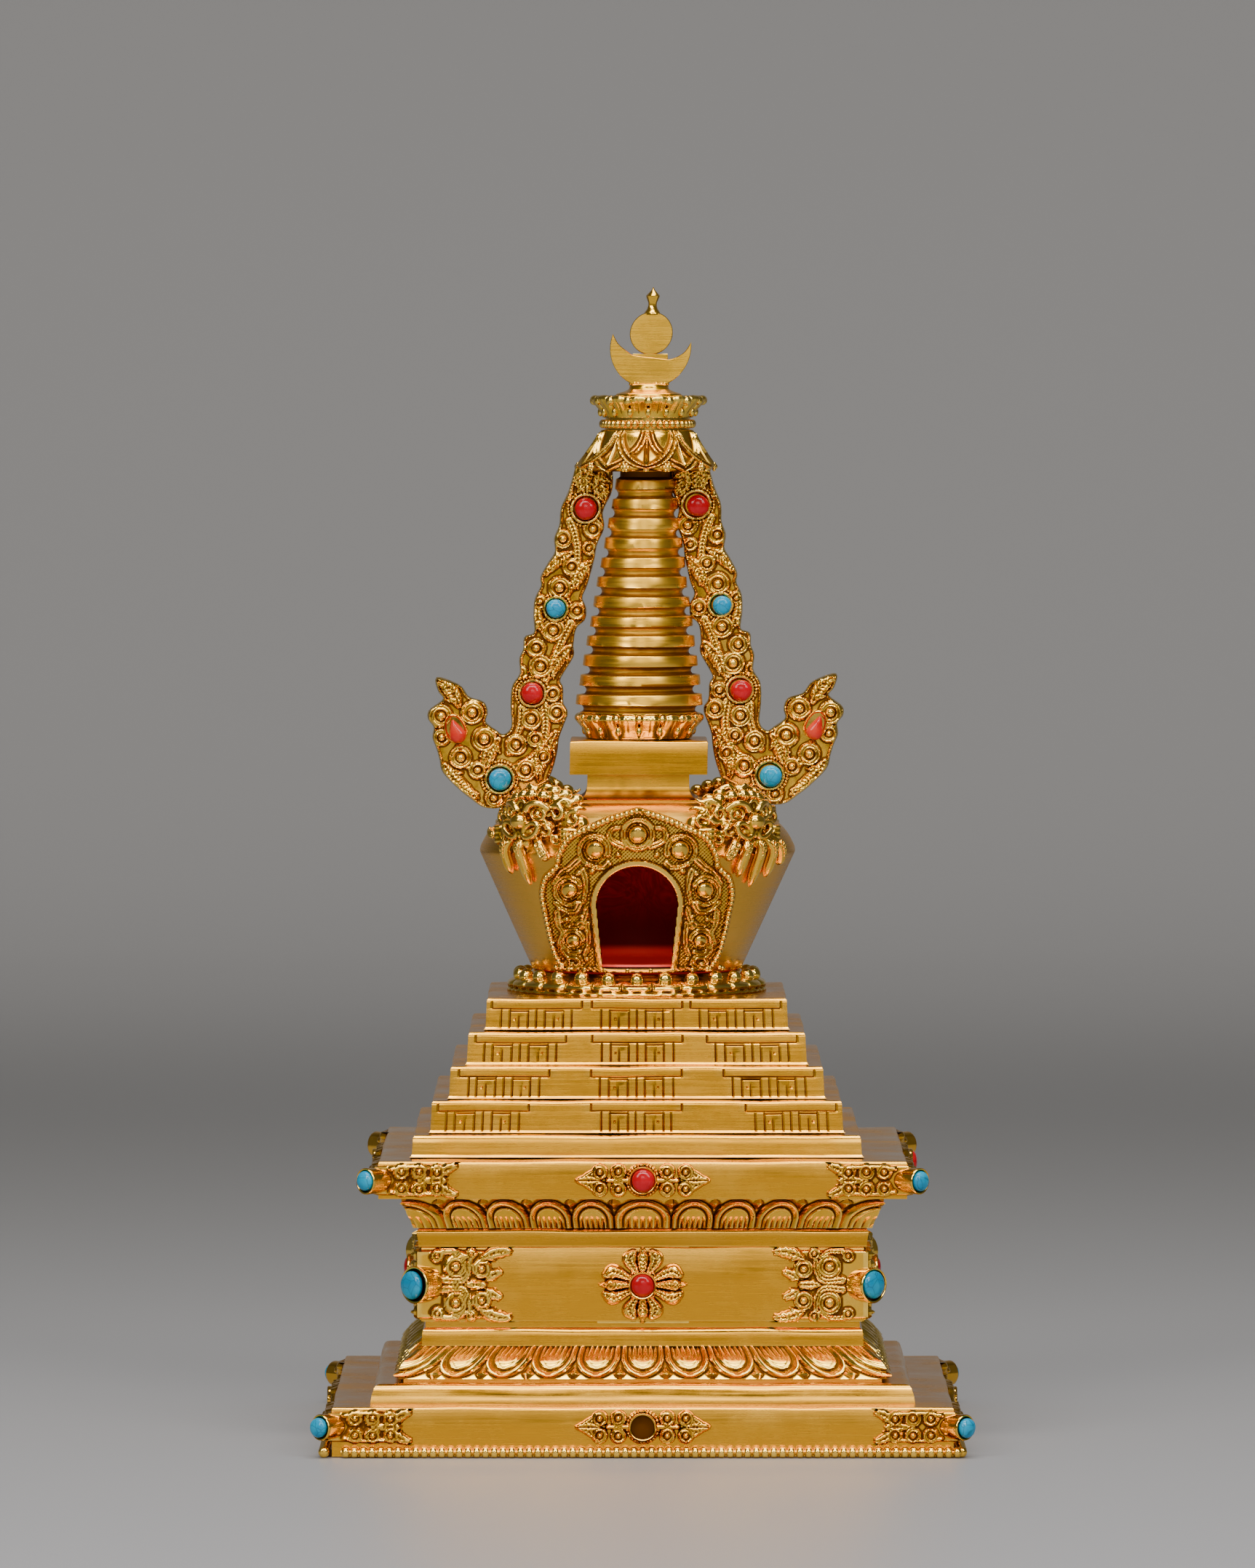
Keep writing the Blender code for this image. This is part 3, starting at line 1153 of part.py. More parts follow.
gilt = make_material("gilt", GOLD, 0.32, 1.0)
brushed = make_material("brushed_gilt", PALE_GOLD, 0.40, 1.0)
turquoise_stone = make_material("turquoise", TURQUOISE, 0.25, 0.0)
coral_stone = make_material("coral", CORAL, 0.25, 0.0)
drop_stone = make_material("drop_coral", ORANGE_CORAL, 0.25, 0.0)

make_pedestal(brushed)
make_bead_rim(gilt)
make_dado_ornaments(gilt)
make_pedestal_stones(turquoise_stone, coral_stone)
make_terraces(brushed)
make_dome_lotus(gilt)
make_dome(brushed)
make_doorway_frame(gilt)
make_masks(gilt)
make_harmika(brushed)
make_spire_lotus(gilt)
make_spire(brushed)
make_canopy(gilt)
make_canopy_beads(gilt)
make_canopy_lotus(gilt)
make_finial(brushed)
for streamer_side in (-1, 1):
    make_streamer(streamer_side, (gilt, turquoise_stone, coral_stone, drop_stone))
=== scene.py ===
import math

import bmesh
import bpy
import numpy as np
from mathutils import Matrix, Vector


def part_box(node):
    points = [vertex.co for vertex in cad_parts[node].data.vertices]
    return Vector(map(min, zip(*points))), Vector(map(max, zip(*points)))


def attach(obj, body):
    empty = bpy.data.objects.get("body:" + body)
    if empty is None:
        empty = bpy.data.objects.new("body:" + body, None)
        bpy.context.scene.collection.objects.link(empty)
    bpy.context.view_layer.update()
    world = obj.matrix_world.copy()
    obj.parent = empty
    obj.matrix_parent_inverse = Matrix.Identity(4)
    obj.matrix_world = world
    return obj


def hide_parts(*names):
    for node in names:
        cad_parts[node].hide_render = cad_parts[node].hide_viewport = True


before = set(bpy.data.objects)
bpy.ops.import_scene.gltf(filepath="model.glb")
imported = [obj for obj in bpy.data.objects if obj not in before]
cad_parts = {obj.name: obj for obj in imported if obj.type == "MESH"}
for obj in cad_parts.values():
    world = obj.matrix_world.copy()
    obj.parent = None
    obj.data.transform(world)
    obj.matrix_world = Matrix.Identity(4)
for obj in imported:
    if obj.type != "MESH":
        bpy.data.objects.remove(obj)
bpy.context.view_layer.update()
print("frame loaded")

# All lengths below are in millimetres, heights from the floor, front of the stupa towards -Y
mm = 0.001

tower = {"start": 55.3, "curveFrom": 84.8, "top": 220.0, "shift": -1.1, "lean": 3.2}


def leanAt(z):
    # sideways place of the tower's axis: a fixed shift, then growing with the square of the climb
    climb = np.clip((z - tower["curveFrom"]) / (tower["top"] - tower["curveFrom"]), 0.0, None)
    return np.where(z > tower["start"], tower["shift"] + tower["lean"] * climb ** 2, 0.0)


def leaning(points):
    # every point slides sideways with the tower's axis at its own height
    moved = points.copy()
    moved[..., 0] += leanAt(points[..., 2])
    return moved


def waver(s, amount, length, seed):
    # hand-made unevenness: three sines of unlike lengths added up
    dice = np.random.default_rng(seed)
    total = 0.0
    for share in (1.0, 1.7, 2.9):
        total = total + np.sin(s * 2 * np.pi * share / length + dice.uniform(0, 6.28)) / share
    return amount * total / 1.5


def unit(x):
    # held between 0 and 1
    return np.clip(x, 0, 1)


def hump(x, middle, width):
    # bell curve: 1 at the middle, falling off both ways
    return np.exp(-((x - middle) / width) ** 2)


def evenly(n, shift=0.0):
    # n even angles all the way round, counted from the front
    return np.radians(-90 + 360 * (np.arange(n) + shift) / n)


def about(r, a, z):
    # points at a radius and an angle from the upright axis, at a height
    return np.stack([r * np.cos(a), r * np.sin(a), z + 0.0 * a + 0.0 * r], -1)


def outward(degrees):
    # level direction away from the middle: 0 degrees to the front, 90 to the right
    a = math.radians(degrees)
    return np.array((math.sin(a), -math.cos(a), 0.0))


def upright(n):
    # n frames that leave a copy unturned
    return np.repeat(np.eye(3)[None], n, 0)


def linked(name, data):
    # a new object put in the scene
    obj = bpy.data.objects.new(name, data)
    bpy.context.scene.collection.objects.link(obj)
    return obj


# Arrays to meshes

def weave(nu, nv, loopU=False, loopV=False):
    # corner numbers of the quads of a grid of points, closed on itself where a loop is asked for
    u, v = np.meshgrid(np.arange(nu if loopU else nu - 1), np.arange(nv if loopV else nv - 1),
                       indexing="ij")
    u2, v2 = (u + 1) % nu, (v + 1) % nv
    return np.stack([u * nv + v, u2 * nv + v, u2 * nv + v2, u * nv + v2], -1).reshape(-1, 4)


def ringShell(points):
    # points (around, along): closed around, a flat cap over each end
    nu, nv = points.shape[:2]
    first = np.arange(nu) * nv
    return {"v": points.reshape(-1, 3),
            "f": [weave(nu, nv, True), first[None, :], (first + nv - 1)[None, ::-1]]}


def donutShell(points):
    # points (around, across): closed both ways
    nu, nv = points.shape[:2]
    return {"v": points.reshape(-1, 3), "f": [weave(nu, nv, True, True)]}


def backedShell(points, push):
    # an open sheet of points with its rim carried back by a vector and closed by one flat face
    nu, nv = points.shape[:2]
    number = np.arange(nu * nv).reshape(nu, nv)
    rim = np.concatenate([number[:-1, 0], number[-1, :-1], number[:0:-1, -1], number[0, :0:-1]])
    flat = points.reshape(-1, 3)
    back = flat[rim] + push
    n, m = nu * nv, len(rim)
    behind = n + np.arange(m)
    wall = np.stack([rim, np.roll(rim, -1), np.roll(behind, -1), behind], -1)
    return {"v": np.concatenate([flat, back]), "f": [weave(nu, nv), wall, behind[None, ::-1]]}


def joined(shells):
    # one shell from several, the corner numbers moved on past the points before them
    verts, faces, marks, count = [], [], [], 0
    for part in shells:
        verts.append(part["v"])
        marks.append(part.get("h", np.zeros(len(part["v"]))))
        faces += [f + count for f in part["f"]]
        count += len(part["v"])
    return {"v": np.concatenate(verts), "f": faces, "h": np.concatenate(marks)}


def placed(part, change):
    # a part with its points changed by a function
    return {**part, "v": change(part["v"])}


def turnedBy(points, degrees):
    # points turned about the upright axis, counter-clockwise from above
    c, s = math.cos(math.radians(degrees)), math.sin(math.radians(degrees))
    x, y, z = points[..., 0], points[..., 1], points[..., 2]
    return np.stack([c * x - s * y, s * x + c * y, z], -1)


def scatter(template, centres, frames):
    # the same small shell at many places: point times its frame plus its centre
    n, k = len(centres), len(template["v"])
    verts = np.einsum("kj,nji->nki", template["v"], frames) + centres[:, None, :]
    step = (np.arange(n) * k)[:, None, None]
    faces = [(f[None] + step).reshape(-1, f.shape[1]) for f in template["f"]]
    return {"v": verts.reshape(-1, 3), "f": faces}


def blob(centre, radii, segments=12, rings=8):
    # ellipsoid: sine and cosine of two angles times three radii
    a = np.linspace(0, 2 * np.pi, segments, endpoint=False)[:, None]
    b = np.linspace(0.06, np.pi - 0.06, rings)[None, :]
    ball = np.stack([np.cos(a) * np.sin(b), np.sin(a) * np.sin(b), np.cos(b) + 0 * a], -1)
    return ringShell(ball * np.array(radii, float) + np.array(centre, float))


def tube(path, radii, flatTo=(0.0, -1.0, 0.0)):
    # a ring of eight points carried along a path, its frame set by one fixed direction
    path = np.array(path, float)
    radii = np.broadcast_to(np.array(radii, float), (len(path),))
    ahead = np.gradient(path, axis=0)
    ahead /= np.linalg.norm(ahead, axis=1, keepdims=True) + 1e-9
    side = np.cross(ahead, np.array(flatTo, float))
    side /= np.linalg.norm(side, axis=1, keepdims=True) + 1e-9
    up = np.cross(side, ahead)
    a = np.linspace(0, 2 * np.pi, 8, endpoint=False)[:, None, None]
    ring = np.cos(a) * side * radii[:, None] + np.sin(a) * up * radii[:, None]
    return ringShell(path[None] + ring)


def smoothPath(points, count):
    # Catmull-Rom curve through the given points, evenly stepped
    p = np.array(points, float)
    p = np.concatenate([[2 * p[0] - p[1]], p, [2 * p[-1] - p[-2]]])
    t = np.linspace(0, len(p) - 3, count)
    i = np.minimum(t.astype(int), len(p) - 4)
    f = (t - i)[:, None]
    a, b, c, d = p[i], p[i + 1], p[i + 2], p[i + 3]
    return 0.5 * (2 * b + (c - a) * f + (2 * a - 5 * b + 4 * c - d) * f ** 2
                  + (3 * b - a - 3 * c + d) * f ** 3)


def hollowsOf(verts, normals, edges, spread):
    # how far the blurred surface stands out from each point: above 0 in hollows, below on crests
    n = len(verts)
    a, b = edges[:, 0], edges[:, 1]
    degree = np.maximum(np.bincount(a, minlength=n) + np.bincount(b, minlength=n), 1)

    def blur(field):
        both = [np.bincount(a, field[b, k], n) + np.bincount(b, field[a, k], n) for k in range(3)]
        return 0.5 * field + 0.5 * np.stack(both, -1) / degree[:, None]

    soft = verts
    found = np.zeros(n)
    for k in range(spread):
        soft = blur(soft)
        if k == 2:
            found = ((soft - verts) * normals).sum(1) * 2.0
    return found + ((soft - verts) * normals).sum(1)


def faceOutwards(mesh):
    # face normals made to point out of closed shells
    bm = bmesh.new()
    bm.from_mesh(mesh)
    bmesh.ops.recalc_face_normals(bm, faces=bm.faces)
    bm.to_mesh(mesh)
    bm.free()


def piece(name, shells, material, nodes, sharp=50, spread=14, depth=0.16, lean=False):
    # finished object: one mesh from closed shells, normals outwards, hollows kept as an attribute
    part = joined(shells) if isinstance(shells, list) else shells
    verts = leaning(part["v"]) if lean else part["v"]
    mesh = bpy.data.meshes.new(name)
    sizes = np.concatenate([np.full(len(f), f.shape[1]) for f in part["f"]])
    loops = np.concatenate([f.ravel() for f in part["f"]])
    mesh.vertices.add(len(verts))
    mesh.vertices.foreach_set("co", (verts * mm).ravel())
    mesh.loops.add(len(loops))
    mesh.loops.foreach_set("vertex_index", loops.astype(np.int32))
    mesh.polygons.add(len(sizes))
    mesh.polygons.foreach_set("loop_start", (np.cumsum(sizes) - sizes).astype(np.int32))
    mesh.update(calc_edges=True)
    faceOutwards(mesh)
    normals = np.empty(len(verts) * 3)
    mesh.vertices.foreach_get("normal", normals)
    edges = np.empty(len(mesh.edges) * 2, dtype=np.int32)
    mesh.edges.foreach_get("vertices", edges)
    found = hollowsOf(verts, normals.reshape(-1, 3), edges.reshape(-1, 2), spread)
    mark = mesh.attributes.new("hollow", "FLOAT", "POINT")
    found = found / depth + part.get("h", 0.0)
    mark.data.foreach_set("value", np.clip(found, -1, 1).astype(np.float32))
    mesh.shade_smooth()
    mesh.set_sharp_from_angle(angle=math.radians(sharp))
    mesh.materials.append(material)
    obj = linked(name, mesh)
    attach(obj, "root")
    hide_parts(*nodes)
    return obj


# Relief drawn with strokes: each is a middle line, half widths, a rise and a groove along it

def stroke(points, half, rise, groove=0.0):
    # one drawn line: its points, the half width at each, its height and its groove
    p = np.array(points, float)
    return p, np.broadcast_to(np.array(half, float), (len(p),)), rise, groove


def dot(x, z, radius, rise):
    # a round bump: a stroke with next to no length
    return stroke([(x - 0.01, z), (x + 0.01, z)], radius, rise)


def spiral(x, z, radius, start, hand, rise=0.9, turns=1.3, width=0.3):
    # radius shrinks towards the middle as the angle runs on; a bead ends it
    t = np.linspace(0, 1, int(20 * turns) + 4)
    angle = math.radians(start) + hand * t * turns * 2 * np.pi
    rho = radius * (1 - width) * (1 - t) ** 0.8 + 0.05 * radius
    line = np.stack([x + rho * np.cos(angle), z + rho * np.sin(angle)], -1)
    return [stroke(line, radius * width * (1 - 0.5 * t), rise, 0.25),
            dot(x, z, 0.4 * radius, rise * 1.15)]


def stem(points, w0, w1, rise, groove):
    # a curved stroke whose half width changes evenly from end to end
    return [stroke(smoothPath(points, 16), np.linspace(w0, w1, 16), rise, groove)]


def leaf(x0, z0, x1, z1, width, bend=0.0, rise=0.9, lobes=3):
    # pointed leaf: width swells and closes again, small side lobes, a groove for its vein
    t = np.linspace(0, 1, 14)
    dx, dz = x1 - x0, z1 - z0
    length = math.hypot(dx, dz)
    nx, nz = -dz / length, dx / length
    sway = bend * length * np.sin(np.pi * t)
    line = np.stack([x0 + dx * t + nx * sway, z0 + dz * t + nz * sway], -1)
    half = width * (np.sin(np.pi * unit(t * 0.93 + 0.07)) ** 0.8) + 0.06
    made = [stroke(line, half, rise, 0.5)]
    for k in range(lobes):
        f = 0.2 + 0.55 * k / max(lobes - 1, 1)
        base = line[int(f * 13)]
        for side in (1, -1):
            tipAt = base + np.array([dx, dz]) / length * 0.22 * length \
                + side * np.array([nx, nz]) * width * (1.15 - 0.5 * f)
            made.append(stroke([base, (base + tipAt) / 2, tipAt],
                               [0.5 * width, 0.42 * width, 0.12 * width], rise * 0.85, 0.3))
    return made


def drawStrokes(x, z, strokes, comb=0.0):
    # highest rounded ridge at each point, and how far inside the nearest stroke's edge it lies;
    # combed ones carry slanting ribs: a cosine of the way run along plus the share out from the middle
    shape = x.shape
    x, z = x.ravel(), z.ravel()
    height = np.zeros(x.shape)
    cover = np.full(x.shape, -9.0)
    for line, half, rise, groove in strokes:
        w = half.max() + 0.9
        near = np.flatnonzero((x > line[:, 0].min() - w) & (x < line[:, 0].max() + w)
                              & (z > line[:, 1].min() - w) & (z < line[:, 1].max() + w))
        if not len(near):
            continue
        a, d = line[:-1], np.diff(line, axis=0)
        px, pz = x[near][:, None] - a[:, 0], z[near][:, None] - a[:, 1]
        t = unit((px * d[:, 0] + pz * d[:, 1]) / ((d ** 2).sum(1) + 1e-9))
        gap = np.hypot(px - t * d[:, 0], pz - t * d[:, 1])
        wide = half[:-1] + t * np.diff(half)
        inside = wide - gap
        pick = np.argmax(inside, axis=1)
        rows = np.arange(len(near))
        ratio = unit(gap[rows, pick] / wide[rows, pick])
        bump = rise * np.sqrt(1 - ratio ** 2) * (1 - groove * np.exp(-(ratio / 0.25) ** 2))
        if comb and len(line) > 2:
            ends = np.concatenate([[0], np.cumsum(np.hypot(d[:, 0], d[:, 1]))])
            run = ends[pick] + t[rows, pick] * np.diff(ends)[pick]
            ribs = np.cos(2 * np.pi * (run / 0.72 - 1.1 * ratio))
            bump *= 1 + comb * ribs * unit(wide[rows, pick] / 0.5)
        height[near] = np.maximum(height[near], bump)
        cover[near] = np.maximum(cover[near], inside[rows, pick])
    return height.reshape(shape), cover.reshape(shape)


def rosettes(x, z, rows, height, cover, rise):
    # rolled scrolls: a domed disc with a spiral rib (cosine of radius less angle) and a bead in it
    for cx, cz, r, hand in rows:
        gap, angle = np.hypot(x - cx, z - cz), np.arctan2(z - cz, x - cx)
        share = unit(gap / r)
        dome = rise * (0.42 + 0.58 * np.sqrt(1 - share ** 2))
        rib = np.cos(2 * np.pi * gap / 0.66 - hand * angle)
        dome += 0.15 * rise * rib * unit(2.4 * share - 0.7)
        dome += 0.62 * rise * np.sqrt(unit(1 - (gap / (0.34 * r)) ** 2))
        dome -= 0.34 * rise * hump(gap, 0.46 * r, 0.17)
        height = np.where(gap < r, np.maximum(height * (gap > 0.8 * r), dome), height)
        cover = np.maximum(cover, r - gap)
    return height, cover


def reliefBase(height, cover, margin, base, sink):
    # flat ground a little beyond the strokes, falling away under the surface it lies on
    edge = unit((cover + margin) / 0.22)
    return edge * (base + height) - (1 - edge) * sink


# Materials

def newGroup(name, ins, outs):
    # a node group with its sockets
    group = bpy.data.node_groups.new(name, "ShaderNodeTree")
    for label, kind, value in ins:
        socket = group.interface.new_socket(name=label, in_out="INPUT", socket_type=kind)
        socket.default_value = value
    for label, kind in outs:
        group.interface.new_socket(name=label, in_out="OUTPUT", socket_type=kind)
    return group, group.nodes.new("NodeGroupInput"), group.nodes.new("NodeGroupOutput")


def add(tree, kind, props=None, **inputs):
    # a node with its properties, and inputs given as values or as sockets to link from
    made = tree.nodes.new("ShaderNode" + kind)
    for key, value in (props or {}).items():
        setattr(made, key, value)
    for key, value in inputs.items():
        key = int(key[1:]) if key[0] == "n" and key[1:].isdigit() else key.replace("_", " ")
        if isinstance(value, bpy.types.NodeSocket):
            tree.links.new(value, made.inputs[key])
        else:
            made.inputs[key].default_value = value
    return made


def math2(tree, operation, a, b=0.0, clamp=False):
    # one operation on two values
    return add(tree, "Math", {"operation": operation, "use_clamp": clamp}, n0=a, n1=b).outputs[0]


def mixed(tree, factor, a, b):
    # colour a where the factor is 0, b where it is 1
    made = add(tree, "Mix", {"data_type": "RGBA"}, n0=factor, n6=a, n7=b)
    return made.outputs[2]


def ranged(tree, value, low, high, start=0.0, end=1.0):
    # start below low, end above high, smooth in between
    return add(tree, "MapRange", {"interpolation_type": "SMOOTHSTEP"}, n0=value, n1=low, n2=high,
               n3=start, n4=end).outputs[0]


def buildGildedAgeAndSheen():
    # worn fire gilding: patchy gold, crests painted paler as a painted highlight, brown left in the
    # hollows, brush marks
    group, inp, out = newGroup(
        "gildedAgeAndSheen",
        [("Hollow", "NodeSocketFloat", 0.0), ("Coord", "NodeSocketVector", (0, 0, 0)),
         ("Brush", "NodeSocketVector", (60, 60, 2400)), ("Gold", "NodeSocketColor", (1, 1, 1, 1)),
         ("Pale", "NodeSocketColor", (1, 1, 1, 1)), ("Dark", "NodeSocketColor", (0, 0, 0, 1)),
         ("Rough", "NodeSocketFloat", 0.3), ("Grime", "NodeSocketFloat", 1.0)],
        [("Color", "NodeSocketColor"), ("Roughness", "NodeSocketFloat"),
         ("Height", "NodeSocketFloat")])
    g = inp.outputs
    patches = add(group, "TexNoise", Vector=g["Coord"], Scale=85.0, Detail=4.0,
                  Roughness=0.6).outputs[0]
    scaled = add(group, "VectorMath", {"operation": "MULTIPLY"}, n0=g["Coord"], n1=g["Brush"])
    streaks = add(group, "TexNoise", Vector=scaled.outputs[0], Scale=1.0, Detail=3.0,
                  Roughness=0.65).outputs[0]
    grain = add(group, "TexNoise", Vector=g["Coord"], Scale=2600.0, Detail=2.0).outputs[0]
    # painted highlight: crests are mixed towards the pale gold and made a little smoother
    crest = ranged(group, math2(group, "MULTIPLY", g["Hollow"], -1.0), 0.15, 0.9)
    spots = ranged(group, patches, 0.35, 0.7, 0.75, 1.25)
    soiled = math2(group, "MULTIPLY", math2(group, "MULTIPLY", g["Hollow"], spots), g["Grime"])
    pit = ranged(group, soiled, 0.12, 0.85, 0.0, 0.92)
    # pale share: painted highlight on the crests plus paler patches of the gilding at random
    pale = math2(group, "ADD", math2(group, "MULTIPLY", crest, 0.6),
                 ranged(group, patches, 0.42, 0.75, 0.0, 0.45), clamp=True)
    colour = mixed(group, pale, g["Gold"], g["Pale"])
    marks = ranged(group, streaks, 0.3, 0.72, 0.0, 0.16)
    colour = mixed(group, marks, colour, g["Pale"])
    colour = mixed(group, pit, colour, g["Dark"])
    rough = math2(group, "ADD", g["Rough"], ranged(group, streaks, 0.3, 0.7, -0.05, 0.07))
    rough = math2(group, "ADD", rough, ranged(group, patches, 0.3, 0.7, -0.04, 0.05))
    rough = math2(group, "ADD", rough, math2(group, "MULTIPLY", pit, 0.3))
    rough = math2(group, "SUBTRACT", rough, math2(group, "MULTIPLY", crest, 0.06), clamp=True)
    height = math2(group, "ADD", math2(group, "MULTIPLY", streaks, 0.7),
                   math2(group, "MULTIPLY", grain, 0.3))
    for label, socket in (("Color", colour), ("Roughness", rough), ("Height", height)):
        group.links.new(socket, out.inputs[label])
    return group


gildedAgeAndSheen = buildGildedAgeAndSheen()

finishes = {
    "relief": {"gold": (0.83, 0.43, 0.020), "pale": (1.0, 0.66, 0.12), "dark": (0.095, 0.020, 0.001),
               "rough": 0.19, "brush": (420, 420, 420), "bump": 0.08, "grime": 1.35},
    "brushed": {"gold": (0.74, 0.342, 0.013), "pale": (0.86, 0.45, 0.045), "dark": (0.10, 0.018, 0.001),
                "rough": 0.24, "brush": (55, 55, 2300), "bump": 0.10, "grime": 1.0},
    "satin": {"gold": (0.80, 0.42, 0.045), "pale": (0.90, 0.52, 0.10), "dark": (0.10, 0.018, 0.001),
              "rough": 0.29, "brush": (55, 55, 2300), "bump": 0.06, "grime": 1.0},
    # painted light: the spire rings' gilding is painted lighter, with less dark in the gaps, standing in
    # for brighter reflections on the rings
    "ring": {"gold": (0.90, 0.485, 0.035), "pale": (0.97, 0.57, 0.07), "dark": (0.13, 0.032, 0.002),
             "rough": 0.32, "brush": (60, 60, 2600), "bump": 0.08, "grime": 1.0},
    "plaque": {"gold": (0.72, 0.33, 0.012), "pale": (0.90, 0.52, 0.07), "dark": (0.085, 0.017, 0.001),
               "rough": 0.2, "brush": (420, 420, 420), "bump": 0.08, "grime": 1.5},
    # painted shade: a darker copy of the brushed gilding for the harmika neck and block, damping the bright
    # bounce light on them
    "neck": {"gold": (0.61, 0.285, 0.009), "pale": (0.71, 0.36, 0.025), "dark": (0.08, 0.016, 0.001),
             "rough": 0.27, "brush": (55, 55, 2300), "bump": 0.08, "grime": 1.0},
    "lotus": {"gold": (0.84, 0.50, 0.035), "pale": (1.0, 0.70, 0.13), "dark": (0.11, 0.026, 0.001),
              "rough": 0.19, "brush": (420, 420, 420), "bump": 0.08, "grime": 1.35},
    "polished": {"gold": (0.86, 0.47, 0.03), "pale": (0.95, 0.56, 0.06),
                 "dark": (0.10, 0.022, 0.003), "rough": 0.25, "brush": (60, 60, 2600),
                 "bump": 0.10, "grime": 1.0},
}


def blankMaterial(name):
    # a material, its node tree, its shader and the place on the object
    made = bpy.data.materials.new(name)
    made.use_nodes = True
    tree = made.node_tree
    return made, tree, tree.nodes["Principled BSDF"], add(tree, "TexCoord").outputs["Object"]


def goldFinish(name, values):
    # one gilt finish from its values
    made, tree, shader, coord = blankMaterial(name)
    hollow = add(tree, "Attribute", {"attribute_name": "hollow"}).outputs["Fac"]
    age = tree.nodes.new("ShaderNodeGroup")
    age.node_tree = gildedAgeAndSheen
    tree.links.new(coord, age.inputs["Coord"])
    tree.links.new(hollow, age.inputs["Hollow"])
    age.inputs["Brush"].default_value = values["brush"]
    for key in ("gold", "pale", "dark"):
        age.inputs[key.capitalize()].default_value = (*values[key], 1.0)
    age.inputs["Rough"].default_value = values["rough"]
    age.inputs["Grime"].default_value = values["grime"]
    bump = add(tree, "Bump", Strength=values["bump"], Distance=0.0001,
               Height=age.outputs["Height"])
    tree.links.new(age.outputs["Color"], shader.inputs["Base Color"])
    tree.links.new(age.outputs["Roughness"], shader.inputs["Roughness"])
    tree.links.new(bump.outputs[0], shader.inputs["Normal"])
    shader.inputs["Metallic"].default_value = 1.0
    return made


stoneFinish = {
    "turquoise": {"colour": (0.0, 0.21, 0.39), "second": (0.0, 0.30, 0.49), "vein": 0.6},
    "coral": {"colour": (0.36, 0.0, 0.004), "second": (0.46, 0.002, 0.010), "vein": 0.0},
    "drop": {"colour": (0.48, 0.012, 0.006), "second": (0.58, 0.045, 0.02), "vein": 0.0},
}


def stoneMaterial(name, values):
    # one kind of stone from its values
    made, tree, shader, coord = blankMaterial(name)
    clouds = add(tree, "TexNoise", Vector=coord, Scale=420.0, Detail=3.0).outputs[0]
    colour = mixed(tree, ranged(tree, clouds, 0.35, 0.7), (*values["colour"], 1.0),
                   (*values["second"], 1.0))
    if values["vein"]:
        cells = add(tree, "TexVoronoi", {"feature": "DISTANCE_TO_EDGE"}, Vector=coord,
                    Scale=520.0).outputs[0]
        line = ranged(tree, cells, 0.0, 0.05, values["vein"], 0.0)
        colour = mixed(tree, line, colour, (0.02, 0.08, 0.10, 1.0))
    tree.links.new(colour, shader.inputs["Base Color"])
    shader.inputs["Roughness"].default_value = 0.16
    shader.inputs["Specular IOR Level"].default_value = 0.22
    shader.inputs["Coat Weight"].default_value = 0.2
    shader.inputs["Coat Roughness"].default_value = 0.03
    return made


def paintAndPaintedLight():
    # brushed-on red paint: curved streaks from a stretched and bent noise, darker towards the bottom of the
    # walls; a painted glow for light reaching into the niche, and the floor painted bright as painted light
    # falling on it
    made, tree, shader, coord = blankMaterial("nichePaintAndPaintedLight")
    bend = add(tree, "TexNoise", Vector=coord, Scale=60.0).outputs[1]
    bent = add(tree, "MixRGB", {"blend_type": "LINEAR_LIGHT"}, n0=0.02, n1=coord, n2=bend)
    long = add(tree, "Mapping", Vector=bent.outputs[0], Scale=(900, 900, 110)).outputs[0]
    streak = add(tree, "TexNoise", Vector=long, Scale=1.0, Detail=3.0).outputs[0]
    colour = mixed(tree, ranged(tree, streak, 0.3, 0.75), (0.42, 0.006, 0.010, 1.0),
                   (0.88, 0.035, 0.045, 1.0))
    height = add(tree, "SeparateXYZ", n0=coord).outputs[2]
    # the paint darker towards the bottom of the walls
    colour = mixed(tree, ranged(tree, height, 0.107, 0.095), colour, (0.16, 0.002, 0.004, 1.0))
    low = ranged(tree, height, 0.0928, 0.0912)
    # painted light: an emitted glow standing in for light reaching into the niche, following the streaks,
    # fainter towards the bottom of the walls, strongest on the floor
    glow = mixed(tree, ranged(tree, streak, 0.45, 0.8), (0.10, 0.002, 0.003, 1.0),
                 (0.45, 0.014, 0.018, 1.0))
    glow = mixed(tree, ranged(tree, height, 0.108, 0.096), glow, (0.06, 0.001, 0.002, 1.0))
    glow = mixed(tree, low, glow, (1.0, 0.035, 0.03, 1.0))
    # painted light: the floor's red painted bright where light falls on it
    colour = mixed(tree, low, colour, (1.0, 0.10, 0.075, 1.0))
    bump = add(tree, "Bump", Strength=0.4, Distance=0.0002, Height=streak)
    tree.links.new(colour, shader.inputs["Base Color"])
    tree.links.new(glow, shader.inputs["Emission Color"])
    tree.links.new(bump.outputs[0], shader.inputs["Normal"])
    shader.inputs["Emission Strength"].default_value = 0.11
    shader.inputs["Roughness"].default_value = 0.42
    return made


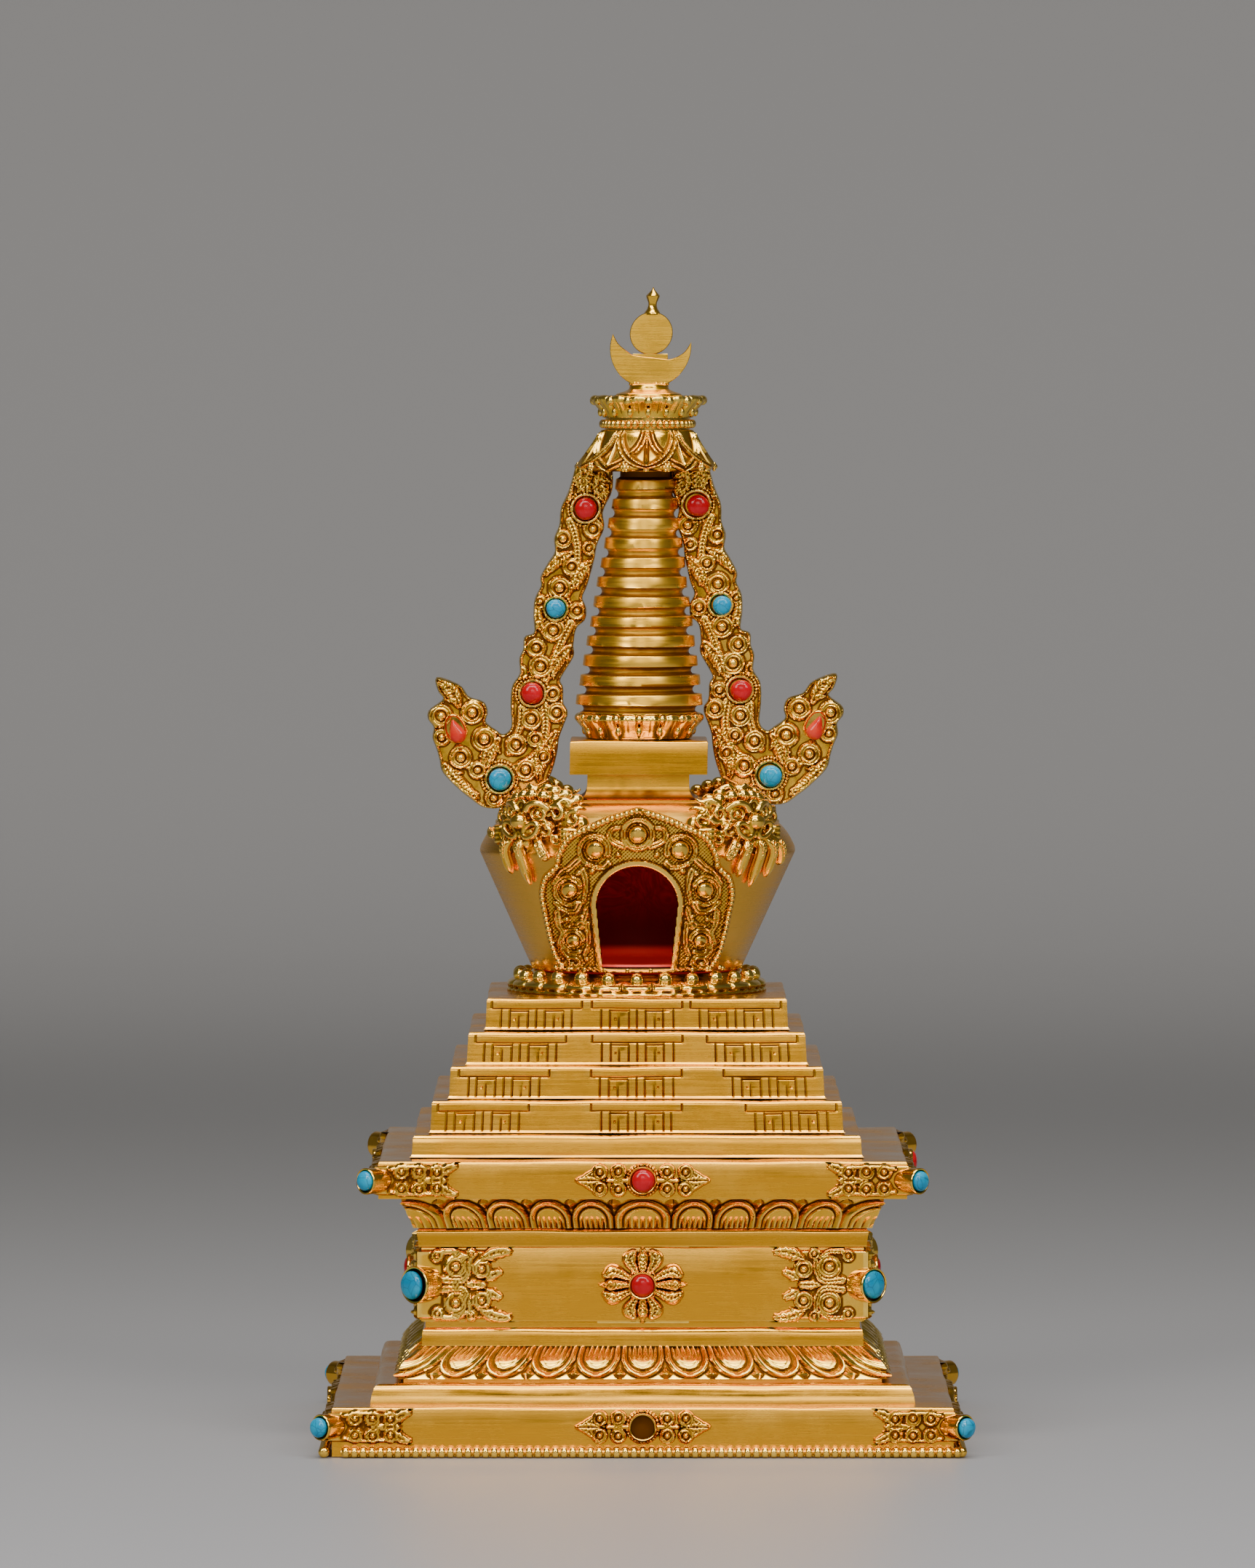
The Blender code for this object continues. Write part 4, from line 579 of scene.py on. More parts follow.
reliefGold = goldFinish("reliefGold", finishes["relief"])
satinGold = goldFinish("satinGold", finishes["satin"])
lotusGold = goldFinish("lotusGold", finishes["lotus"])
neckGoldPaintedShade = goldFinish("neckGoldPaintedShade", finishes["neck"])
plaqueGold = goldFinish("plaqueGold", finishes["plaque"])
ringGoldPaintedLight = goldFinish("ringGoldPaintedLight", finishes["ring"])
brushedGold = goldFinish("brushedGold", finishes["brushed"])
polishedGold = goldFinish("polishedGold", finishes["polished"])
turquoise = stoneMaterial("turquoiseStone", stoneFinish["turquoise"])
coral = stoneMaterial("coralStone", stoneFinish["coral"])
dropCoral = stoneMaterial("dropCoralStone", stoneFinish["drop"])
redPaintAndPaintedLight = paintAndPaintedLight()
print("materials made")


# Pedestal: square courses with mitred corners

def squareBand(halves, zs, cols, relief=None, lift=None, darken=0.0):
    # four sides: half width at each row plus relief outwards, corners shared by neighbours
    halves, zs = np.array(halves, float)[None], np.array(zs, float)[None]
    rings, marks = [], []
    for side in range(4):
        t = np.array(cols[side] if isinstance(cols, list) else cols, float)[:-1, None]
        raised = relief(side, t) + 0.0 * halves if relief else 0.0 * (t + halves)
        out = halves + raised
        z = zs + (lift(side, t) if lift else 0.0) + 0.0 * out
        rings.append(turnedBy(np.stack([t * out, -out, z], -1), 90 * side))
        marks.append(unit((-raised - 0.07) * darken))
    made = ringShell(np.concatenate(rings))
    made["h"] = np.concatenate(marks).ravel()
    return made


def softCourse(low, high, inner, seed, soft=0.5, count=72):
    # straight face between two (half width, height) points, its top edge rounded over
    (h0, z0), (h1, z1) = low, high
    halves = [h0, h0, h0 + 0.5 * (h1 - h0), h1]
    zs = [z0, z0 + 0.4, (z0 + z1) / 2, z1 - soft]
    for angle in (25, 50, 70, 90):
        halves.append(h1 - soft + soft * math.cos(math.radians(angle)))
        zs.append(z1 - soft + soft * math.sin(math.radians(angle)))
    halves += [h1 - soft - 0.6, inner]
    zs += [z1 + 0.02, z1 + 0.02]
    cols = np.sin(np.linspace(-1, 1, count) * np.pi / 2)
    fade = 1 - cols[:-1, None] ** 6

    def relief(side, t):
        return fade * waver(t * h0, 0.07, 61, seed + side)

    def lift(side, t):
        rows = np.array([0, 0, 0.3] + [1] * 7)[None]
        return fade * rows * waver(t * h0, 0.10, 43, seed + 10 + side)

    return squareBand(halves, zs, cols, relief, lift)


petals = {"rise": 1.25, "fine": 520, "plain": 260}


def petalShape(q, v):
    # one petal over -1..1 across and 0..1 from root to tip: raised rim, grooves, a swelling middle
    rho = np.hypot(q, np.clip(v - 0.24, 0, None) / 0.72)
    body = np.sqrt(unit(1 - rho ** 3.2)) * 0.75
    rim = 0.40 * hump(rho, 0.86, 0.085)
    groove = -0.42 * hump(rho, 0.68, 0.06) - 0.10 * hump(rho, 0.50, 0.05)
    nerve = -0.60 * unit(1 - v * 2.4) * (0.5 + 0.5 * np.cos(q * np.pi * 8)) * (rho < 0.62)
    gem = 0.95 * unit(1 - np.abs(1 - np.abs(q)) / 0.30 - np.abs(v - 0.84) / 0.22)
    return np.where(rho < 1, body + rim + groove + nerve, -0.35 + gem)


def petalBand(halves, zs, marks, down):
    # square band of petals: the marks give the petals' edges along half a side
    halves, zs = np.array(halves), np.array(zs)
    v = (zs - zs[0]) / (zs[-1] - zs[0])
    v = 1 - v if down else v
    phases = [0] + [2 * k + 1 for k in range(len(marks) - 1)] + [2 * len(marks) - 2]

    def relief(side, t):
        a = np.abs(t) * marks[-1] + 0.0 * v[None]
        phase = np.interp(a, [0] + marks, phases)
        q = (phase + 1) % 2 - 1
        return petals["rise"] * (petalShape(q, v[None] + 0 * a) - 0.75)

    cols = [np.linspace(-1, 1, petals["fine"] if k == 0 else petals["plain"]) for k in range(4)]
    return squareBand(halves, zs, cols, relief)


def buildPedestal():
    # half width of each petal band against the share v of its height, then the courses
    v = np.linspace(0, 1, 34)
    lower = petalBand(41.4 + 5.7 * (1 - v) ** 0.9 + 0.6 * np.sin(np.pi * v) + 0.35, 13.75 + 5.95 * v,
                      [4.2, 12.6, 21.0, 29.4, 37.8, 44.0], True)
    upper = petalBand(43.0 + 2.7 * v ** 1.2 + 0.45, 42.1 + 5.6 * v,
                      [5.5, 13.6, 21.7, 29.8, 37.9, 44.0], False)
    plain = [
        softCourse((58.45, 0.15), (58.5, 9.4), 49.0, 1),
        softCourse((51.35, 9.3), (50.85, 13.1), 44.0, 2, soft=1.3),
        softCourse((45.2, 13.0), (45.2, 14.3), 40.0, 3, soft=0.2),
        softCourse((41.8, 19.6), (41.7, 23.25), 39.0, 4, soft=1.2),
        softCourse((41.1, 23.1), (41.1, 24.6), 39.0, 5, soft=0.2),
        softCourse((41.9, 24.35), (41.85, 38.5), 39.0, 6, soft=0.3),
        softCourse((42.4, 38.5), (42.75, 42.1), 39.0, 7, soft=1.0),
        softCourse((43.9, 47.2), (43.9, 48.4), 39.0, 8, soft=0.2),
        softCourse((49.85, 48.1), (49.9, 55.2), 36.0, 9, soft=0.6),
    ]
    piece("pedestalCourses", plain, brushedGold, ["pedestal"], spread=4, depth=0.3)
    piece("pedestalPetalsLow", lower, lotusGold, ["pedestal"], depth=0.2)
    piece("pedestalPetalsHigh", upper, reliefGold, ["pedestal"], depth=0.32)
    print("pedestal courses done")


buildPedestal()


# Terraces: each face is engraved with three pairs of doors under a lintel

terraces = {
    "faces": [(78.9, 84.85, 28.75, 28.5), (72.4, 78.55, 32.3, 31.95), (66.2, 72.25, 35.6, 35.3),
              (59.9, 65.95, 39.1, 38.8), (55.5, 59.6, 42.6, 42.3)],
    "groups": [19.0, 22.1, 25.4, 29.3],
    "posts": [-6.85, -5.15, -1.65, 0.0, 1.6, 5.1, 6.85],
    "latches": [(-3.5, -4.15), (3.35, 4.1)],
    "lintel": 8.65, "lintelDown": 1.95, "doorDown": 2.45, "footDown": 5.6,
    "depth": 0.27, "cut": 0.26,
}


def terraceFace(level):
    # straight face with V cuts: posts deepen towards their feet, lintels and door heads are level
    z0, z1, h0, h1 = terraces["faces"][level]
    dice = np.random.default_rng(40 + level)
    engraved = level < 4
    w = terraces["cut"]
    top = z1
    downs = [2.6, 1.6, 0.62]  # rows of points, measured down from the edge
    if engraved:
        downs = [terraces["footDown"] + 0.15, terraces["footDown"], 4.6, 4.3, 4.0, 3.7, 3.4, 2.7,
                 2.6, 2.45, 2.3, 2.1, 1.95, 1.8, 1.6, 1.2, 0.9, 0.62]
    zs = [z0, z0 + 0.2, z0 + 0.45] + [top - d for d in downs if top - d > z0 + 0.5]
    halves = [h0 + 0.35, h0 + 0.1] + [h0 + (h1 - h0) * (z - z0) / (z1 - z0) for z in zs[2:]]
    for angle in (15, 30, 45, 60, 75, 90):
        zs.append(top - 0.6 + 0.6 * math.sin(math.radians(angle)))
        halves.append(h1 - 0.6 + 0.6 * math.cos(math.radians(angle)))
    zs += [top + 0.02, top + 0.02]
    halves += [h1 - 1.4, h1 - 5.0]
    zRow = np.array(zs)[None]
    faceCols, carvings = [], []
    for side in range(4):
        centres = [-terraces["groups"][level], 0.0, terraces["groups"][level]] if engraved else []
        edges, cuts = list(np.linspace(-h0, h0, 24)), []
        for c in centres:
            c += dice.normal(0, 0.12)
            stretch = 1 + dice.normal(0, 0.012)
            for p in terraces["posts"]:
                cuts.append(("post", c + p * stretch + dice.normal(0, 0.07), dice.uniform(0.8, 1.2)))
            for p, dotAt in terraces["latches"]:
                cuts.append(("thin", c + p * stretch, dice.uniform(0.5, 0.9)))
                cuts.append(("dot", c + dotAt, 1.0))
            for p in (-1, 1):
                cuts.append(("tick", c + p * terraces["lintel"], dice.uniform(0.8, 1.1)))
            cuts.append(("lintel", c, dice.uniform(0.75, 1.1)))
            cuts.append(("heads", c, 1.0))
        for kind, at, _ in cuts:
            if kind in ("post", "thin", "dot", "tick"):
                edges += [at - w, at, at + w]
        edges = np.unique(np.round([e for e in edges if abs(e) < h0 - 0.3], 3))
        edges = edges[np.concatenate([[True], np.diff(edges) > 0.05])]
        faceCols.append(np.concatenate([[-1], edges / h0, [1]]))
        carvings.append(cuts)

    def relief(side, t):
        a = t * h0 + 0.0 * zRow
        down = top - zRow + 0.0 * a
        carved = np.zeros(a.shape)
        face = (down > 0.6) & (zRow > z0 + 0.3)
        for kind, at, strong in carvings[side]:
            beside = unit(1 - np.abs(a - at) / w)
            if kind in ("post", "thin"):
                start = terraces["lintelDown"] - 0.05 if kind == "post" else terraces["doorDown"] + 0.5
                reach = unit((down - start) / 3.0)
                within = (down > start) & (down < terraces["footDown"] + 0.05)
                carved = np.maximum(carved, beside * within * (0.45 + 0.65 * reach) * strong)
            elif kind == "dot":
                carved = np.maximum(carved, beside * unit(1 - np.abs(down - 4.0) / 0.3))
            elif kind == "tick":
                within = (down < terraces["lintelDown"] + 0.1) & (down > 0.55)
                carved = np.maximum(carved, beside * within * strong)
            elif kind == "lintel":
                line = unit(1 - np.abs(down - terraces["lintelDown"]) / 0.2)
                carved = np.maximum(carved, line * (np.abs(a - at) < terraces["lintel"]) * strong)
            else:
                line = unit(1 - np.abs(down - terraces["doorDown"]) / 0.2)
                between = (np.abs(np.abs(a - at) - 3.4) < 1.85)
                carved = np.maximum(carved, line * between)
        fade = 1 - t ** 6
        return -terraces["depth"] * carved * face + fade * waver(a, 0.07, 53, 70 + 4 * level + side)

    def lift(side, t):
        grow = unit((zRow - z0) / (z1 - z0))
        return (1 - t ** 6) * grow * waver(t * h0, 0.12, 37, 90 + 4 * level + side)

    return squareBand(halves, zs, faceCols, relief, lift, darken=14.0)


piece("terraceSteps", [terraceFace(k) for k in range(5)], brushedGold, ["terraces"],
      spread=3, depth=0.6, sharp=18, lean=True)
print("terraces done")


# Round work: a profile of (radius, height) turned about the tower's axis

def turnedBand(profile, count, relief=None):
    # radius and height at each row; the relief gives what is added outwards and upwards
    profile = np.array(profile, float)
    a = evenly(count)[:, None]
    r, z = profile[None, :, 0], profile[None, :, 1]
    if relief is not None:
        out, up = relief(a, r, z)
        r, z = r + out, z + up
    return ringShell(about(r, a, z))


domeLotus = {"petals": 26, "beadR": 1.42, "beadAt": 22.55, "beadZ": 88.05}


def buildDomeLotus():
    # a turned ring with petals in relief and a row of beads
    n = domeLotus["petals"]
    rows = smoothPath([(21.5, 84.8), (24.3, 84.82), (24.85, 85.05), (24.75, 85.4), (24.35, 85.7),
                       (24.55, 86.3), (24.1, 87.0), (22.9, 87.6), (21.2, 88.2), (19.9, 88.9),
                       (18.5, 89.1)], 44)

    def relief(a, r, z):
        q = ((a + np.pi / 2) * n / (2 * np.pi) + 0.5) % 1 * 2 - 1
        high = hump(z, 86.5, 0.85)
        low = hump(z, 85.75, 0.28)
        swell = np.sqrt(unit(1 - np.abs(q) ** 2.6))
        curl = hump(np.abs(q), 0.45, 0.2)
        out = high * (swell - 0.55) * 0.95 + low * (curl - 0.4) * 0.5
        ragged = 0.10 * np.sin(a * 61) * hump(z, 85.1, 0.3)
        return out + ragged, 0.0 * out

    band = turnedBand(rows, n * 16, relief)
    a = evenly(n)
    dice = np.random.default_rng(5)
    r = domeLotus["beadAt"] + dice.normal(0, 0.06, n)
    centres = about(r, a, domeLotus["beadZ"] + dice.normal(0, 0.07, n))
    size = domeLotus["beadR"] * dice.uniform(0.93, 1.05, n)
    frames = np.eye(3)[None] * size[:, None, None]
    beads = scatter(blob((0, 0, 0), (1, 1, 1), 14, 9), centres, frames)
    piece("domeLotusRing", [band, beads], lotusGold, ["dome_lotus"], depth=0.22, lean=True)


buildDomeLotus()


# Dome: a double-walled turned shell with the door's cells left out

dome = {"foot": 89.2, "footR": 20.1, "edge": 112.1, "edgeR": 30.5, "top": 121.4,
        "sill": 1.2, "spring": 13.2, "rise": 7.5, "half": 7.55, "footHalf": 6.35,
        "around": 240, "wall": 0.7, "lining": 0.7}


def coneRadius(h):
    # radius of the dome's wall: a straight line from the foot to the shoulder's edge
    return dome["footR"] + (dome["edgeR"] - dome["footR"]) * h / (dome["edge"] - dome["foot"])


def doorLine(margin=0.0):
    # from the right foot over an elliptical arch to the left foot
    a = np.linspace(0, np.pi, 41)
    arch = np.stack([(dome["half"] + margin) * np.cos(a),
                     dome["spring"] + (dome["rise"] + margin) * np.sin(a)], -1)
    foot = np.array([[dome["footHalf"] + margin, dome["sill"] - margin]])
    return np.concatenate([foot, arch, foot * [-1, 1]])


def polygonLevel(poly):
    # signed distance to a closed outline, above 0 inside, and the length run along it
    a = poly
    d = np.roll(poly, -1, axis=0) - poly
    lengths = np.hypot(d[:, 0], d[:, 1])
    runs = np.concatenate([[0], np.cumsum(lengths)[:-1]])

    def level(x, z):
        shape = x.shape
        best = np.full(x.size, 1e9)
        run = np.zeros(x.size)
        odd = np.zeros(x.size, bool)
        x, z = x.ravel(), z.ravel()
        for k in range(len(a)):
            px, pz = x - a[k, 0], z - a[k, 1]
            t = unit((px * d[k, 0] + pz * d[k, 1]) / (lengths[k] ** 2 + 1e-12))
            gap = np.hypot(px - t * d[k, 0], pz - t * d[k, 1])
            near = gap < best
            best[near] = gap[near]
            run[near] = (runs[k] + t * lengths[k])[near]
            z0, z1 = a[k, 1], a[k, 1] + d[k, 1]
            crosses = (z0 > z) != (z1 > z)
            if crosses.any() and d[k, 1] != 0:
                odd ^= crosses & (x < a[k, 0] + (z - z0) * d[k, 0] / d[k, 1])
        return (np.where(odd, best, -best)).reshape(shape), run.reshape(shape)

    return level


def domeShell(outGap, inGap, floorUp):
    # outer and inner walls on one grid of cells, joined round the cells left out for the door
    def wall(gap, floor):
        f = dome["foot"]
        pts = [(0.4, dome["top"] - gap), (12.0, dome["top"] - gap)]
        shoulder = [(20.0 - 0.4 * gap, dome["top"] - gap), (22.6 - 0.6 * gap, 120.5 - 0.9 * gap),
                    (25.0 - 0.7 * gap, 118.9 - 0.8 * gap), (28.3 - gap, 115.9 - 0.5 * gap),
                    (29.9 - gap, 113.3 - 0.3 * gap), (dome["edgeR"] - 0.25 - gap, 112.3),
                    (dome["edgeR"] - 0.2 - gap, 111.9)]
        cone = [(coneRadius(h) - gap, f + h) for h in np.linspace(22.3, 0.3 + floor, 56)]
        foot = [(dome["footR"] - gap, f + floor), (12.0, f + floor), (0.4, f + floor)]
        return np.array(pts + list(smoothPath(shoulder, 20)) + cone + foot)

    def points(profile, wobble):
        a = evenly(dome["around"])[:, None]
        r = profile[None, :, 0] + wobble * waver(a * 24, 0.06, 50, 3) * (profile[None, :, 0] > 15)
        return about(r, a, profile[None, :, 1])

    outer = points(wall(outGap, 0.0), 1.0)
    inner = points(wall(inGap, floorUp), 0.0)
    nu, nv = outer.shape[:2]
    centre = (outer + np.roll(outer, -1, axis=0))[:, :-1] / 2
    centre = (centre + ((outer + np.roll(outer, -1, axis=0))[:, 1:] / 2)) / 2
    level = polygonLevel(doorLine(0.75))
    x, h = centre[..., 0], centre[..., 2] - dome["foot"]
    gone = (level(x, h)[0] > 0) & (centre[..., 1] < -10)
    cells = weave(nu, nv, True).reshape(nu, nv - 1, 4)
    kept = cells[~gone]
    n = nu * nv
    bridges = []
    sideways = gone != np.roll(gone, -1, axis=0)
    i, j = np.nonzero(sideways)
    i = (i + 1) % nu
    bridges.append(np.stack([i * nv + j, i * nv + j + 1, i * nv + j + 1 + n, i * nv + j + n], -1))
    i, j = np.nonzero(gone[:, 1:] != gone[:, :-1])
    i2 = (i + 1) % nu
    bridges.append(np.stack([i * nv + j + 1, i2 * nv + j + 1, i2 * nv + j + 1 + n, i * nv + j + 1 + n], -1))
    first = np.arange(nu) * nv
    caps = [first[None], (first + nv - 1)[None], (first + n)[None], (first + nv - 1 + n)[None]]
    return {"v": np.concatenate([outer.reshape(-1, 3), inner.reshape(-1, 3)]),
            "f": [kept, kept[:, ::-1] + n] + bridges + caps}


piece("domeWall", domeShell(0.0, dome["wall"], 0.55), satinGold, ["dome"],
      spread=4, depth=0.5, sharp=40, lean=True)
piece("nicheLining", domeShell(dome["wall"] + 0.02, dome["wall"] + dome["lining"], 1.2), redPaintAndPaintedLight,
      ["dome"], spread=4, depth=0.5, lean=True)
print("dome done")


# Free-standing relief: a sheet of grid points cut to an outline, front and back meeting at its rim

def cutSheet(xs, zs, level, front, back):
    # the cells of a grid where the level is above 0, as a sheet with a front and a back
    x, z = np.meshgrid(xs, zs, indexing="ij")
    middle = level((x[:-1, :-1] + x[1:, 1:]) / 2, (z[:-1, :-1] + z[1:, 1:]) / 2)
    kept = middle > 0
    for _ in range(2):  # cells that touch only at a corner are filled in
        a, b, c, d = kept[:-1, :-1], kept[1:, :-1], kept[:-1, 1:], kept[1:, 1:]
        lone = (a & d & ~b & ~c) | (b & c & ~a & ~d)
        i, j = np.nonzero(lone)
        for di in (0, 1):
            for dj in (0, 1):
                kept[i + di, j + dj] = True
    nx, nz = x.shape
    corners = weave(nx, nz).reshape(nx - 1, nz - 1, 4)[kept]
    touch = np.bincount(corners.ravel(), minlength=nx * nz)
    used = touch > 0
    rim = used & (touch < 4)
    px, pz = x.ravel().copy(), z.ravel().copy()
    step = xs[1] - xs[0]
    for _ in range(3):
        rx, rz = px[rim], pz[rim]
        here = level(rx, rz)
        gx = (level(rx + 0.02, rz) - level(rx - 0.02, rz)) / 0.04
        gz = (level(rx, rz + 0.02) - level(rx, rz - 0.02)) / 0.04
        move = here / (gx ** 2 + gz ** 2 + 1e-6)
        mx, mz = rx - move * gx - x.ravel()[rim], rz - move * gz - z.ravel()[rim]
        far = np.maximum(np.hypot(mx, mz) / (0.7 * step), 1)
        px[rim], pz[rim] = x.ravel()[rim] + mx / far, z.ravel()[rim] + mz / far
    deep = np.where(rim, 0.0, np.clip(level(px, pz), 0, None))
    frontPoints = front(px, pz, deep)
    backPoints = back(px, pz, deep)
    backPoints[rim] = frontPoints[rim]
    n = nx * nz
    number = np.arange(n)
    backNumber = np.where(rim, number, number + n)
    faces = np.concatenate([corners, backNumber[corners][:, ::-1]])
    verts = np.concatenate([frontPoints, backPoints])
    pick = np.zeros(2 * n, bool)
    pick[faces.ravel()] = True
    renumber = np.cumsum(pick) - 1
    return {"v": verts[pick], "f": [renumber[faces]]}


def edgeRound(deep, radius):
    # height of a quarter circle: 0 at the edge, 1 one radius in
    return np.sqrt(1 - (1 - unit(deep / radius)) ** 2)


# Doorway frame on the dome: rope border, bosses in scrolls, a plain moulding round the door

doorFrame = {
    "centre": 10.8, "seat": 0.75, "plate": 0.75, "step": 0.19,
    "edge": [(90, 21.6), (103, 20.7), (116, 20.4), (127, 20.8), (133, 20.7), (142, 19.8), (147, 18.9),
             (152, 19.2), (157, 19.7), (167, 19.3), (178, 18.2), (192, 17.7), (206, 17.9), (217.3, 17.8)],
    "bosses": [(0.0, 16.2, 2.35), (8.1, 13.2, 2.35), (13.0, 5.3, 2.15), (12.2, -4.6, 1.8)],
    "beads": [(11.2, 8.7, 0.62), (13.5, -0.4, 0.6), (3.7, 12.3, 0.6), (8.6, 9.1, 0.62),
              (9.6, -8.0, 0.5), (10.6, 0.3, 0.5), (4.2, 17.6, 0.55), (14.9, 1.6, 0.45)],
}


def frameOutline():
    # radius against angle on the left side, mirrored to the right
    pts = [(r * math.cos(math.radians(a)), r * math.sin(math.radians(a)))
           for a, r in doorFrame["edge"]]
    left = smoothPath(pts, 90)
    left[:, 1] += doorFrame["centre"]
    left[-1, 1] = 0.05
    right = left[::-1] * [-1, 1]
    return np.concatenate([left, right[:-1]])


def frameStrokes():
    # drawn for the right half about the frame's middle, then mirrored
    right = []
    for k, (x, z, r) in enumerate(doorFrame["bosses"]):
        right.append(dot(x, z, r * 0.74, 1.65))
        start, sweep = [(-150, 300), (200, -260), (150, -270), (165, -285)][k]
        t = np.linspace(0, 1, 26)
        ang = np.radians(start + sweep * t)
        ring = r * (1.08 + 0.22 * t)
        line = np.stack([x + ring * np.cos(ang), z + ring * np.sin(ang)], -1)
        right.append(stroke(line, 0.66 - 0.16 * t, 1.1, 0.4))
        if k:
            right.append(dot(line[-1, 0], line[-1, 1], 0.62, 1.25))
    for x, z, r in doorFrame["beads"]:
        right.append(dot(x, z, r, 1.15))
    stems = [
        ([(2.6, 14.0), (4.2, 14.6), (5.3, 15.6), (5.0, 17.2), (3.6, 17.6)], 0.5, 0.3),
        ([(5.6, 10.6), (6.6, 9.8), (8.3, 10.0), (9.6, 10.6)], 0.5, 0.3),
        ([(11.4, 11.2), (12.9, 9.8), (14.6, 8.6), (16.0, 6.6)], 0.55, 0.25),
        ([(10.4, 9.2), (9.8, 7.4), (9.7, 5.4), (10.2, 3.2)], 0.5, 0.3),
        ([(11.0, 2.6), (11.9, 1.2), (13.8, 1.4), (15.6, 2.8)], 0.5, 0.3),
        ([(15.2, 0.8), (15.0, -1.4), (14.2, -3.0), (14.9, -5.2)], 0.5, 0.28),
        ([(9.6, 1.6), (10.2, -0.4), (11.4, -1.6), (12.8, -1.7)], 0.48, 0.3),
        ([(9.4, -1.2), (9.2, -3.4), (9.3, -5.6), (9.9, -7.2)], 0.45, 0.3),
        ([(14.0, -6.4), (13.0, -7.6), (11.4, -7.7), (10.6, -8.9), (11.6, -9.9)], 0.5, 0.35),
    ]
    for points, w0, w1 in stems:
        right += stem(points, 1.5 * w0, 1.6 * w1, 1.1, 0.4)
    right += spiral(12.6, -9.2, 1.3, 60, -1, 1.1)
    right += spiral(14.9, -0.2, 1.15, 200, 1, 1.0)
    right += spiral(10.6, -1.6, 1.15, 20, 1, 1.1)
    left = [(line * [-1, 1], half, rise, groove) for line, half, rise, groove in right
            if abs(line[:, 0]).max() > 0.1]
    return [(line + (0.0, doorFrame["centre"]), half, rise, groove)
            for line, half, rise, groove in right + left]


def buildDoorFrame():
    # a sheet cut to the outline less the door, with the drawn relief
    outer = frameOutline()
    outerLevel, doorLevel = polygonLevel(outer), polygonLevel(doorLine())
    strokes = frameStrokes()

    def level(x, h):
        return np.minimum(outerLevel(x, h)[0], -doorLevel(x, h)[0])

    def onDome(x, h, out):
        r = coneRadius(h) + out
        return np.stack([x, -np.sqrt(r ** 2 - x ** 2), dome["foot"] + h], -1)

    def front(x, h, deep):
        fromEdge, run = outerLevel(x, h)
        fromDoor = -doorLevel(x, h)[0]
        drawn = drawStrokes(x, h, strokes)[0]
        ground = 0.42 + 0.10 * np.sin(x * 9.0) * np.sin(h * 9.0)
        bosses = np.zeros(x.shape)
        for bx, bz, r in doorFrame["bosses"]:
            for side in (1, -1):
                gap = np.hypot(x - side * bx, h - doorFrame["centre"] - bz)
                bosses = np.maximum(bosses, 0.85 * hump(gap, 0.86 * r, 0.20))
                bosses = np.maximum(bosses, np.where(gap < 0.74 * r, 0.5 + 1.45 * np.sqrt(
                    unit(1 - (gap / (0.74 * r)) ** 2)), 0))
        rope = np.sqrt(unit(1 - ((fromEdge - 0.72) / 0.56) ** 2))
        rope = rope * (0.95 + 0.34 * np.cos(2 * np.pi * run / 1.25 + 5.0 * fromEdge))
        mould = unit((1.42 - fromDoor) / 0.18) * unit(0.4 + fromDoor / 0.3)
        mould = 1.25 * mould - 0.35 * hump(fromDoor, 1.72, 0.16)
        body = np.maximum(np.maximum(ground, drawn * np.clip(fromDoor - 1.4, 0, 0.4) / 0.4), bosses)
        body = np.maximum(np.maximum(body, rope), mould)
        return onDome(x, h, doorFrame["seat"] + (doorFrame["plate"] + body) * edgeRound(deep, 0.34))

    def back(x, h, deep):
        return onDome(x, h, doorFrame["seat"] - 0.55 + 0.0 * deep)

    step = doorFrame["step"]
    sheet = cutSheet(np.arange(-20.6, 20.7, step), np.arange(-0.4, 33.2, step), level, front, back)
    # the rope: beads strung along the outline, drawn in by their own radius
    dense = smoothPath(outer[:-1], 1400)
    run = np.concatenate([[0], np.cumsum(np.hypot(*np.diff(dense, axis=0).T))])
    at = np.interp(np.arange(0.5, run[-1] - 0.4, 0.98), run, np.arange(len(run)))
    spots, ahead = dense[at.astype(int)], dense[np.minimum(at.astype(int) + 3, len(dense) - 1)]
    way = (ahead - spots) / (np.linalg.norm(ahead - spots, axis=1, keepdims=True) + 1e-9)
    inner = np.stack([-way[:, 1], way[:, 0]], -1)
    inner *= np.sign(outerLevel(*(spots + 0.3 * inner).T)[0])[:, None]
    spots = spots + 0.66 * inner
    spots = spots[spots[:, 1] > 0.6]
    centres = onDome(spots[:, 0], spots[:, 1], doorFrame["seat"] + doorFrame["plate"] + 0.85)
    beads = scatter(blob((0, 0, 0), (0.56, 0.62, 0.56), 10, 7), centres,
                    upright(len(centres)))
    piece("doorFrameRelief", [sheet, beads], reliefGold, ["doorway_frame"], spread=12, depth=0.14,
          lean=True)


buildDoorFrame()
print("doorway frame done")


# Guardian masks: lumps, curls and beaded strands fused by a remesh, then copied to the four corners

mask = {"r": 26.8, "up": 118.6, "voxel": 0.22, "smooth": 1,
        "right": [(-12.0, 112.6), (-4.5, 107.6), (3.8, 105.6), (11.7, 107.3), (18.0, 109.6)],
        "left": [(-27.0, 116.0), (-9.6, 108.0), (-0.6, 106.0), (11.5, 112.2)]}


def local(across, out, up):
    # the mask's own frame: across runs round the dome, outwards and up from the head's middle
    turn, r = across / mask["r"], mask["r"] + out
    return (r * math.sin(turn), -r * math.cos(turn), mask["up"] + up)


